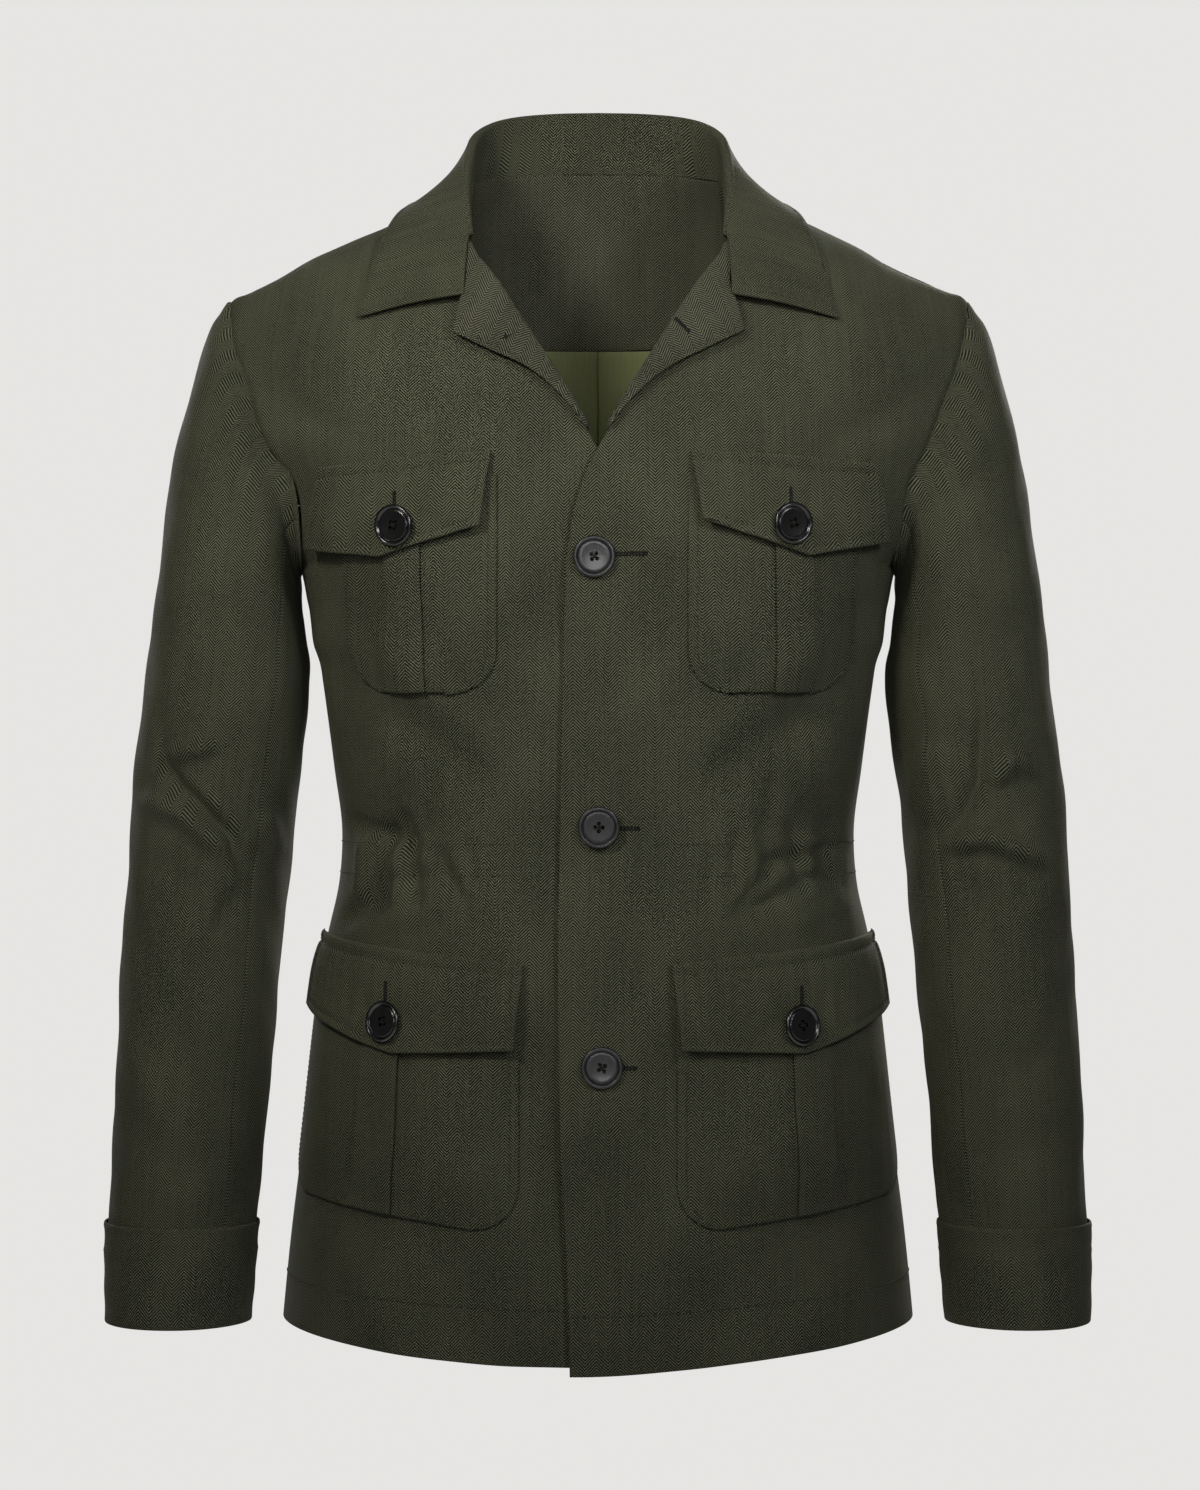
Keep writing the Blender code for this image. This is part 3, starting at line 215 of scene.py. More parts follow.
# ---------------------------------------------------------------- finishes
def linear(code: str) -> tuple[float, float, float, float]:
    """An sRGB hex colour as linear red, green, blue and alpha.

    Args:
        code: the colour, as #rrggbb.

    Returns:
        Linear red, green, blue and alpha.
    """
    values = [int(code[i:i + 2], 16) / 255.0 for i in (1, 3, 5)]
    made = [v / 12.92 if v <= 0.04045 else ((v + 0.055) / 1.055) ** 2.4 for v in values]
    return (made[0], made[1], made[2], 1.0)


def add(tree: bpy.types.NodeTree, kind: str, sockets: Optional[dict[Union[int, str], Any]] = None,
        **settings: Any) -> bpy.types.Node:
    """Add a node with its settings, values and links.

    Args:
        tree: the node tree to add to.
        kind: the node's type name.
        sockets: input socket to its value, or to the output that feeds it.
        settings: the node's own properties.

    Returns:
        The new node.
    """
    made = tree.nodes.new(kind)
    for name, value in settings.items():
        setattr(made, name, value)
    for key, value in (sockets or {}).items():
        if isinstance(value, bpy.types.NodeSocket):
            tree.links.new(value, made.inputs[key])
        else:
            made.inputs[key].default_value = value
    return made


def start_material(name: str) -> tuple[bpy.types.Material, bpy.types.NodeTree]:
    """A new material with an empty node tree.

    Args:
        name: name of the column.

    Returns:
        The material and its tree.
    """
    material = bpy.data.materials.new(name)
    material.use_nodes = True
    material.node_tree.nodes.clear()
    return material, material.node_tree


def math_node(tree: bpy.types.NodeTree, operation: str, *values: Any) -> bpy.types.NodeSocket:
    """The result of one arithmetic step in a node tree.

    Args:
        tree: node tree to work in.
        operation: name of the arithmetic step.
        *values: the inputs, in order.

    Returns:
        The step's output.
    """
    made = add(tree, "ShaderNodeMath", dict(enumerate(values)), operation=operation)
    return made.outputs[0]


@dataclass(frozen=True)
class HerringboneWool:
    """Wool suiting woven in a herringbone: 2/2 twill that turns about every 7 mm.

    It gives the eye soft vertical bands of slanting lines, tan and olive flecks of mixed
    yarn, a matte face and a faint bloom where it turns away. Real twill lines lie 0.9 mm
    apart; they are drawn 1.9 mm apart, because finer ones don't show at this distance.
    """

    name: str = "Herringbone wool suiting"
    light: str = "#5f604b"
    middle: str = "#282b20"
    dark: str = "#090b06"
    band: float = 0.0070
    line: float = 0.00190
    slope: float = 1.0
    fleck: float = 0.00065
    slub: float = 0.0011
    streak: float = 0.0016
    cloud: float = 0.055
    sheen: float = 0.05
    roughness: float = 0.90
    relief: float = 0.42

    def weave(self, tree: bpy.types.NodeTree, place: bpy.types.NodeSocket) -> bpy.types.NodeSocket:
        """Height of the slanting twill lines, from 0 to 1.

        Args:
            tree: node tree to work in.
            place: place on the cloth.

        Returns:
            A value from 0 to 1.
        """
        apart = add(tree, "ShaderNodeSeparateXYZ", {0: place})
        wander = add(tree, "ShaderNodeTexNoise", {"Vector": place, "Scale": 70.0, "Detail": 1.0})
        shift = math_node(tree, "MULTIPLY_ADD", wander.outputs[0], 0.0018, apart.outputs[0])
        zigzag = math_node(tree, "PINGPONG", shift, self.band)
        slant = math_node(tree, "MULTIPLY_ADD", zigzag, self.slope, apart.outputs[1])
        turns = math_node(tree, "MULTIPLY", slant, 2.0 * math.pi / self.line)
        return math_node(tree, "MULTIPLY_ADD", math_node(tree, "SINE", turns), 0.5, 0.5)

    def noise(self, tree: bpy.types.NodeTree, place: bpy.types.NodeSocket, size: float,
              stretch: float, detail: float) -> bpy.types.NodeSocket:
        """Noise of a real size on the cloth, stretched along it.

        Args:
            tree: node tree to work in.
            place: place on the cloth.
            size: size of the grain, in metres.
            stretch: how much it is drawn out along the cloth.
            detail: octaves of noise.

        Returns:
            The value of the noise.
        """
        scaled = add(tree, "ShaderNodeVectorMath", {0: place, 1: (1.0, stretch, 1.0)},
                     operation="MULTIPLY").outputs[0]
        return add(tree, "ShaderNodeTexNoise", {"Vector": scaled, "Scale": 1.0 / size,
                                                "Detail": detail}).outputs[0]

    def make(self) -> bpy.types.Material:
        """Build the material.

        Returns:
            The finished material.
        """
        material, tree = start_material(self.name)
        place = add(tree, "ShaderNodeUVMap", uv_map="cloth").outputs[0]
        wave = self.weave(tree, place)
        fleck = self.noise(tree, place, self.fleck, 0.8, 1.0)
        yarn = self.noise(tree, place, self.slub, 0.35, 2.0)
        streak = self.noise(tree, place, self.streak, 0.025, 3.0)
        cloud = self.noise(tree, place, self.cloud, 0.7, 3.0)
        strong = math_node(tree, "MULTIPLY_ADD", yarn, 1.15, 0.36)
        tone = math_node(tree, "MULTIPLY", math_node(tree, "SUBTRACT", wave, 0.5), strong)
        for part, weight in ((fleck, 0.46), (yarn, 0.22), (streak, 0.28), (cloud, 0.42)):
            centred = math_node(tree, "SUBTRACT", part, 0.5)
            tone = math_node(tree, "MULTIPLY_ADD", centred, weight, tone)
        tone = math_node(tree, "ADD", tone, 0.5)
        ramp = add(tree, "ShaderNodeValToRGB", {0: tone})
        ramp.color_ramp.elements[0].color = linear(self.dark)
        ramp.color_ramp.elements[0].position = 0.10
        ramp.color_ramp.elements[1].color = linear(self.light)
        ramp.color_ramp.elements[1].position = 0.92
        ramp.color_ramp.elements.new(0.5).color = linear(self.middle)
        height = math_node(tree, "MULTIPLY_ADD", yarn, 0.8, wave)
        bump = add(tree, "ShaderNodeBump", {"Height": height, "Strength": self.relief,
                                            "Distance": 0.00030})
        shader = add(tree, "ShaderNodeBsdfPrincipled", {
            "Base Color": ramp.outputs[0], "Normal": bump.outputs[0],
            "Roughness": self.roughness, "Specular IOR Level": 0.18,
            "Sheen Weight": self.sheen, "Sheen Roughness": 0.5,
            "Sheen Tint": linear("#8d8f78")})
        add(tree, "ShaderNodeOutputMaterial", {0: shader.outputs[0]})
        return material


@dataclass(frozen=True)
class SatinLining:
    """Plain-woven viscose lining: smooth, a little slippery, with a low soft gloss."""

    name: str = "Viscose lining"
    colour: str = "#64683f"
    deep: str = "#595d37"
    roughness: float = 0.62

    def make(self) -> bpy.types.Material:
        """Build the material.

        Returns:
            The finished material.
        """
        material, tree = start_material(self.name)
        place = add(tree, "ShaderNodeUVMap", uv_map="cloth").outputs[0]
        streak_place = add(tree, "ShaderNodeVectorMath", {0: place, 1: (1.0, 0.06, 1.0)},
                           operation="MULTIPLY").outputs[0]
        streak = add(tree, "ShaderNodeTexNoise", {"Vector": streak_place, "Scale": 700.0,
                                                  "Detail": 2.0}).outputs[0]
        cloud = add(tree, "ShaderNodeTexNoise", {"Vector": place, "Scale": 30.0}).outputs[0]
        tone = math_node(tree, "MULTIPLY_ADD", streak, 0.6, math_node(tree, "MULTIPLY", cloud, 0.4))
        ramp = add(tree, "ShaderNodeValToRGB", {0: tone})
        ramp.color_ramp.elements[0].color = linear(self.deep)
        ramp.color_ramp.elements[0].position = 0.25
        ramp.color_ramp.elements[1].color = linear(self.colour)
        ramp.color_ramp.elements[1].position = 0.75
        bump = add(tree, "ShaderNodeBump", {"Height": streak, "Strength": 0.12, "Distance": 0.0002})
        shader = add(tree, "ShaderNodeBsdfPrincipled", {
            "Base Color": ramp.outputs[0], "Normal": bump.outputs[0],
            "Roughness": self.roughness, "Specular IOR Level": 0.22})
        add(tree, "ShaderNodeOutputMaterial", {0: shader.outputs[0]})
        return material


@dataclass(frozen=True)
class SewingThread:
    """Spun polyester thread, dyed to the cloth: tiny matte strands with a faint light side."""

    name: str = "Spun polyester thread"
    colour: str = "#3f4132"
    roughness: float = 0.75

    def make(self) -> bpy.types.Material:
        """Build the material.

        Returns:
            The finished material.
        """
        material, tree = start_material(self.name)
        place = add(tree, "ShaderNodeTexCoord").outputs["Object"]
        tone = add(tree, "ShaderNodeTexNoise", {"Vector": place, "Scale": 900.0}).outputs[0]
        ramp = add(tree, "ShaderNodeValToRGB", {0: tone})
        base = linear(self.colour)
        ramp.color_ramp.elements[0].color = (base[0] * 0.6, base[1] * 0.6, base[2] * 0.6, 1.0)
        ramp.color_ramp.elements[1].color = base
        shader = add(tree, "ShaderNodeBsdfPrincipled", {
            "Base Color": ramp.outputs[0], "Roughness": self.roughness,
            "Specular IOR Level": 0.2})
        add(tree, "ShaderNodeOutputMaterial", {0: shader.outputs[0]})
        return material


@dataclass(frozen=True)
class PolyesterButton:
    """Cast and turned polyester resin, polished like horn: near black with smoky streaks."""

    name: str = "Polished polyester button"
    dark: str = "#050505"
    smoky: str = "#101011"
    roughness: float = 0.24

    def make(self) -> bpy.types.Material:
        """Build the material.

        Returns:
            The finished material.
        """
        material, tree = start_material(self.name)
        place = add(tree, "ShaderNodeTexCoord").outputs["Object"]
        streak_place = add(tree, "ShaderNodeVectorMath", {0: place, 1: (1.0, 1.0, 0.35)},
                           operation="MULTIPLY").outputs[0]
        smoke = add(tree, "ShaderNodeTexNoise", {"Vector": streak_place, "Scale": 190.0,
                                                 "Detail": 4.0, "Distortion": 0.6}).outputs[0]
        ramp = add(tree, "ShaderNodeValToRGB", {0: smoke})
        ramp.color_ramp.elements[0].color = linear(self.dark)
        ramp.color_ramp.elements[0].position = 0.42
        ramp.color_ramp.elements[1].color = linear(self.smoky)
        ramp.color_ramp.elements[1].position = 0.72
        scratch = add(tree, "ShaderNodeTexNoise", {"Vector": place, "Scale": 1400.0}).outputs[0]
        bump = add(tree, "ShaderNodeBump", {"Height": scratch, "Strength": 0.04,
                                            "Distance": 0.0001})
        shader = add(tree, "ShaderNodeBsdfPrincipled", {
            "Base Color": ramp.outputs[0], "Normal": bump.outputs[0],
            "Roughness": self.roughness, "IOR": 1.50, "Coat Weight": 0.2, "Coat Roughness": 0.16})
        add(tree, "ShaderNodeOutputMaterial", {0: shader.outputs[0]})
        return material


@dataclass(frozen=True)
class StudioFloor:
    """Studio floor: pale, matte, washed evenly with light so that it meets the surround softly."""

    name: str = "Matte studio paint"
    colour: str = "#e6e5e3"
    wash: float = 0.80

    def make(self) -> bpy.types.Material:
        """Build the material.

        Returns:
            The finished material.
        """
        material, tree = start_material(self.name)
        shader = add(tree, "ShaderNodeBsdfPrincipled", {
            "Base Color": linear(self.colour), "Roughness": 0.95,
            "Emission Color": linear(self.colour), "Emission Strength": self.wash})
        add(tree, "ShaderNodeOutputMaterial", {0: shader.outputs[0]})
        return material


@dataclass
class Wardrobe:
    """The finishes, each built once."""

    wool: bpy.types.Material = field(default_factory=lambda: HerringboneWool().make())
    # The facings' wool is the shell's wool painted lighter: painted light, standing for the light
    # that the turned-back lapels catch.
    facing: bpy.types.Material = field(default_factory=lambda: HerringboneWool(
        name="Herringbone wool, facing side", light="#646451", middle="#2f3228",
        dark="#0e100a").make())
    lining: bpy.types.Material = field(default_factory=lambda: SatinLining().make())
    thread: bpy.types.Material = field(default_factory=lambda: SewingThread().make())
    dark_thread: bpy.types.Material = field(default_factory=lambda: SewingThread(
        name="Dark buttonhole twist", colour="#15160f").make())
    button: bpy.types.Material = field(default_factory=lambda: PolyesterButton(
        name="Smoky polyester button", dark="#0a0a0b", smoky="#19191b", roughness=0.50).make())
    black_button: bpy.types.Material = field(default_factory=lambda: PolyesterButton().make())


# ---------------------------------------------------------------- the body's form
class Level(NamedTuple):
    """Size of the trunk's section at a height."""

    z: float
    half_width: float
    front: float
    back: float


class Armhole(NamedTuple):
    """Armhole edge at a share of its rise from underarm to shoulder."""

    rise: float
    reach: float
    front_share: float
    back_share: float


class Edge(NamedTuple):
    """A point of an edge on a front."""

    z: float
    a: float


class Fold(NamedTuple):
    """A ridge (positive depth) or trough between two points seen from before it."""

    a0: float
    z0: float
    a1: float
    z1: float
    width: float
    depth: float


@dataclass(frozen=True)
class TrunkForm:
    """The filled-out form that the jacket's trunk lies on."""

    underarm_z: float = -0.225
    neck_width: float = 0.080
    neck_y: float = 0.015
    neck_z: float = 0.018
    shoulder_slope: float = 0.507
    ridge_lean: float = 0.10
    back_neck_rise: float = 0.014
    back_neck_reach: float = 0.060
    front_full: tuple[float, float] = (2.5, 2.1)
    back_full: tuple[float, float] = (2.7, 2.1)
    hem_z: float = -0.690
    hem_fade: float = 0.070
    hem_dip: tuple[float, float] = (0.0150, 0.0020)
    levels: tuple[Level, ...] = (
        Level(-0.712, 0.1985, 0.1300, 0.1180),
        Level(-0.640, 0.1915, 0.1290, 0.1185),
        Level(-0.560, 0.1815, 0.1265, 0.1170),
        Level(-0.500, 0.1745, 0.1220, 0.1120),
        Level(-0.455, 0.1690, 0.1165, 0.1040),
        Level(-0.420, 0.1615, 0.1125, 0.0960),
        Level(-0.388, 0.1597, 0.1115, 0.0930),
        Level(-0.350, 0.1644, 0.1150, 0.0965),
        Level(-0.300, 0.1710, 0.1205, 0.1040),
        Level(-0.260, 0.1770, 0.1240, 0.1090),
        Level(-0.225, 0.1855, 0.1255, 0.1120),
    )
    armhole: tuple[Armhole, ...] = (
        Armhole(0.00, 0.1855, 1.000, 1.000),
        Armhole(0.04, 0.1852, 0.972, 0.965),
        Armhole(0.12, 0.1860, 0.942, 0.925),
        Armhole(0.26, 0.1895, 0.922, 0.900),
        Armhole(0.42, 0.2030, 0.920, 0.895),
        Armhole(0.56, 0.2125, 0.928, 0.905),
        Armhole(0.85, 0.2275, 0.968, 0.955),
        Armhole(1.00, 0.2305, 1.000, 1.000),
    )

    def width(self, z: Any) -> Array:
        """Half width of the trunk at a height.

        Args:
            z: height.

        Returns:
            The half width.
        """
        return smooth(column(self.levels, "z"), column(self.levels, "half_width"), z)

    def depth(self, z: Any, facing: Facing) -> Array:
        """Depth of the trunk from its middle, to the front or the back.

        Args:
            z: height.
            facing: front or back of the trunk.

        Returns:
            The depth.
        """
        name = "front" if facing is Facing.FRONT else "back"
        return smooth(column(self.levels, "z"), column(self.levels, name), z)

    def full(self, share: Any, facing: Facing) -> Array:
        """Depth of a section as a share of its deepest, at a share of its half width.

        Args:
            share: share of the half width.
            facing: front or back of the trunk.

        Returns:
            The share of the deepest.
        """
        first, second = self.front_full if facing is Facing.FRONT else self.back_full
        inside = np.clip(1.0 - np.clip(np.abs(share), 0.0, 1.0) ** first, 0.0, 1.0)
        return inside ** (1.0 / second)

    def ridge_z(self, a: Any) -> Array:
        """Height of the shoulder line at a distance from the centre.

        Args:
            a: distance from the centre line.

        Returns:
            The height.
        """
        return self.neck_z - self.shoulder_slope * (np.sqrt(a * a + 1e-6) - self.neck_width)

    def ridge_y(self, a: Any) -> Array:
        """Where the shoulder line lies between front and back.

        Args:
            a: distance from the centre line.

        Returns:
            The place from front to back.
        """
        return self.neck_y + self.ridge_lean * (self.neck_width - np.abs(a))

    def cut_share(self, rise: Any, facing: Facing) -> Array:
        """Share of the full section at which the armhole is cut.

        Args:
            rise: share of the rise above the underarm.
            facing: front or back of the trunk.

        Returns:
            The share.
        """
        name = "front_share" if facing is Facing.FRONT else "back_share"
        return smooth(column(self.armhole, "rise"), column(self.armhole, name), rise)

    def upper_width(self, rise: Any, facing: Facing) -> Array:
        """Full half width above the underarm, at a share of the rise.

        Args:
            rise: share of the rise above the underarm.
            facing: front or back of the trunk.

        Returns:
            The half width.
        """
        reach = smooth(column(self.armhole, "rise"), column(self.armhole, "reach"), rise)
        return reach / self.cut_share(rise, facing)

    def upper_point(self, share: Any, angle: Any, facing: Facing) -> Array:
        """Point above the underarm.

        Args:
            share: share of the half width.
            angle: angle of rise to the shoulder line, 0 at the underarm.
            facing: front or back.

        Returns:
            The points, in metres.
        """
        a = self.upper_width(np.sin(angle), facing) * share
        low_y = facing.value * self.depth(self.underarm_z, facing) * self.full(share, facing)
        top_y, top_z, straight = self.ridge_y(a), self.ridge_z(a), 0.0
        if facing is Facing.BACK:
            inside = np.sqrt(np.clip(1.0 - (a / self.neck_width) ** 2, 0.0, 1.0))
            at_neck = np.abs(a) < self.neck_width
            top_y = np.where(at_neck, self.neck_y + self.back_neck_reach * inside, top_y)
            top_z = np.where(at_neck, self.neck_z + self.back_neck_rise * inside, top_z)
            straight = 1.0 - step(0.5 * self.neck_width, 1.3 * self.neck_width, np.abs(a))
        climb = (1.0 - straight) * np.sin(angle) + straight * angle / (0.5 * math.pi)
        y = top_y + (low_y - top_y) * np.cos(angle)
        z = self.underarm_z + (top_z - self.underarm_z) * climb
        return np.stack(np.broadcast_arrays(a, y, z), axis=-1)

    def front_y(self, a: Any, z: Any) -> Array:
        """Depth of the front's own form at a distance from the centre and a height.

        Args:
            a: distance from the centre line.
            z: height.

        Returns:
            The place from front to back.
        """
        a, z = np.broadcast_arrays(np.asarray(a, float), np.asarray(z, float))
        low = -self.depth(z, Facing.FRONT) * self.full(a / self.width(z), Facing.FRONT)
        rise = np.clip((z - self.underarm_z) / (self.ridge_z(a) - self.underarm_z), 0.0, 1.0)
        share = a / self.upper_width(rise, Facing.FRONT)
        flat = -self.depth(self.underarm_z, Facing.FRONT) * self.full(share, Facing.FRONT)
        high = self.ridge_y(a) + (flat - self.ridge_y(a)) * np.sqrt(1.0 - rise * rise)
        return np.where(z <= self.underarm_z, low, high)

    def armhole_angles(self, facing: Facing, shares: Array) -> Array:
        """Angles of rise at shares of the armhole edge's length, from the underarm up.

        Args:
            facing: front or back of the trunk.
            shares: shares, each from 0 to 1.

        Returns:
            An angle for each share.
        """
        angle = np.linspace(0.0, 0.5 * math.pi, 800)
        along = lengths(self.upper_point(self.cut_share(np.sin(angle), facing), angle, facing))
        return np.interp(shares * along[-1], along, angle)

    def level_row(self, z: float, facing: Facing, first: float,
                  shares: Array) -> tuple[Array, Array]:
        """One level row, from a distance from the centre round to the side seam.

        Args:
            z: height of the row.
            facing: front or back.
            first: where the row starts.
            shares: shares of the row's length.

        Returns:
            The points, and their place along and across the cloth.
        """
        start = math.asin(np.clip(first / self.width(z), -1, 1))
        share = np.sin(np.linspace(start, 0.5 * math.pi, 400))
        dip = self.hem_dip[0] if facing is Facing.FRONT else self.hem_dip[1]
        fade = 1.0 - step(0.0, self.hem_fade, z - self.hem_z)
        level = z - fade * dip * (1.0 - share * share)
        y = facing.value * self.depth(level, facing) * self.full(share, facing)
        line = np.stack([self.width(level) * share, y, level], axis=1)
        along = lengths(line)
        across = along - np.interp(0.0, line[:, 0], along)
        both = resample(np.column_stack([line, across]), shares)
        return both[:, :3], np.column_stack([both[:, 3], both[:, 2]])


@dataclass
class ClothLines:
    """How far along and across the cloth a point above the underarm lies."""

    form: TrunkForm
    facing: Facing
    angles: Array = field(init=False)
    shares: Array = field(init=False)
    across: Array = field(init=False)
    along: Array = field(init=False)

    def __post_init__(self) -> None:
        """Measure the form once along its rows and columns."""
        self.angles = np.linspace(0.0, 0.5 * math.pi, 40)
        self.shares = np.sin(np.linspace(0.0, 0.5 * math.pi, 160))
        points = self.form.upper_point(self.shares[None, :], self.angles[:, None], self.facing)
        flat = np.linalg.norm(np.diff(points, axis=1), axis=2)
        tall = np.linalg.norm(np.diff(points, axis=0), axis=2)
        self.across = np.concatenate([np.zeros((40, 1)), np.cumsum(flat, axis=1)], axis=1)
        self.along = np.concatenate([np.zeros((1, 160)), np.cumsum(tall, axis=0)], axis=0)

    def at(self, share: Array, angle: Array) -> Array:
        """Place along and across the cloth of points given by share and angle.

        Args:
            share: shares of the half width.
            angle: angles of rise.

        Returns:
            Two numbers for each point, in metres.
        """
        col = np.interp(np.abs(share), self.shares, np.arange(160))
        row = np.interp(angle, self.angles, np.arange(40))
        i, j = np.minimum(row.astype(int), 38), np.minimum(col.astype(int), 158)
        s, t = row - i, col - j
        made = []
        for table in (self.across, self.along):
            low = table[i, j] * (1 - t) + table[i, j + 1] * t
            high = table[i + 1, j] * (1 - t) + table[i + 1, j + 1] * t
            made.append(low * (1 - s) + high * s)
        return np.stack([made[0] * np.sign(share), self.form.underarm_z + made[1]], axis=-1)

    def rising_row(self, first: tuple[float, float], last: tuple[float, float],
                   shares: Array) -> tuple[Array, Array]:
        """One rising row above the underarm, between two (share, angle) ends.

        Args:
            first: its inner end.
            last: its end at the armhole.
            shares: shares of the row's length.

        Returns:
            The points, and their place along and across the cloth.
        """
        blend = np.linspace(0.0, 1.0, 400)
        angle = first[1] + (last[1] - first[1]) * blend
        start, stop = math.asin(np.clip(first[0], -1, 1)), math.asin(np.clip(last[0], -1, 1))
        share = np.sin(start + (stop - start) * blend)
        line = self.form.upper_point(share, angle, self.facing)
        both = resample(np.column_stack([line, self.at(share, angle)]), shares)
        return both[:, :3], both[:, 3:]


def fold_height(a: Array, z: Array, folds: Sequence[Fold]) -> Array:
    """Height of a set of folds at points seen from before them.

    Args:
        a: distance from the centre line.
        z: height.
        folds: the folds.

    Returns:
        A height for each point.
    """
    height = np.zeros(np.shape(a))
    for fold in folds:
        run = np.array([fold.a1 - fold.a0, fold.z1 - fold.z0])
        length = np.linalg.norm(run)
        along = ((a - fold.a0) * run[0] + (z - fold.z0) * run[1]) / length
        off = ((a - fold.a0) * run[1] - (z - fold.z0) * run[0]) / length
        beyond = np.maximum(np.maximum(-along, along - length), 0.0)
        end = np.exp(-(beyond / (1.6 * fold.width)) ** 2)
        height = height + fold.depth * end * np.exp(-(off / fold.width) ** 2)
    return height


class Ripple(NamedTuple):
    """One long shallow wave of the cloth."""

    across: float
    up: float
    phase: float
    height: float


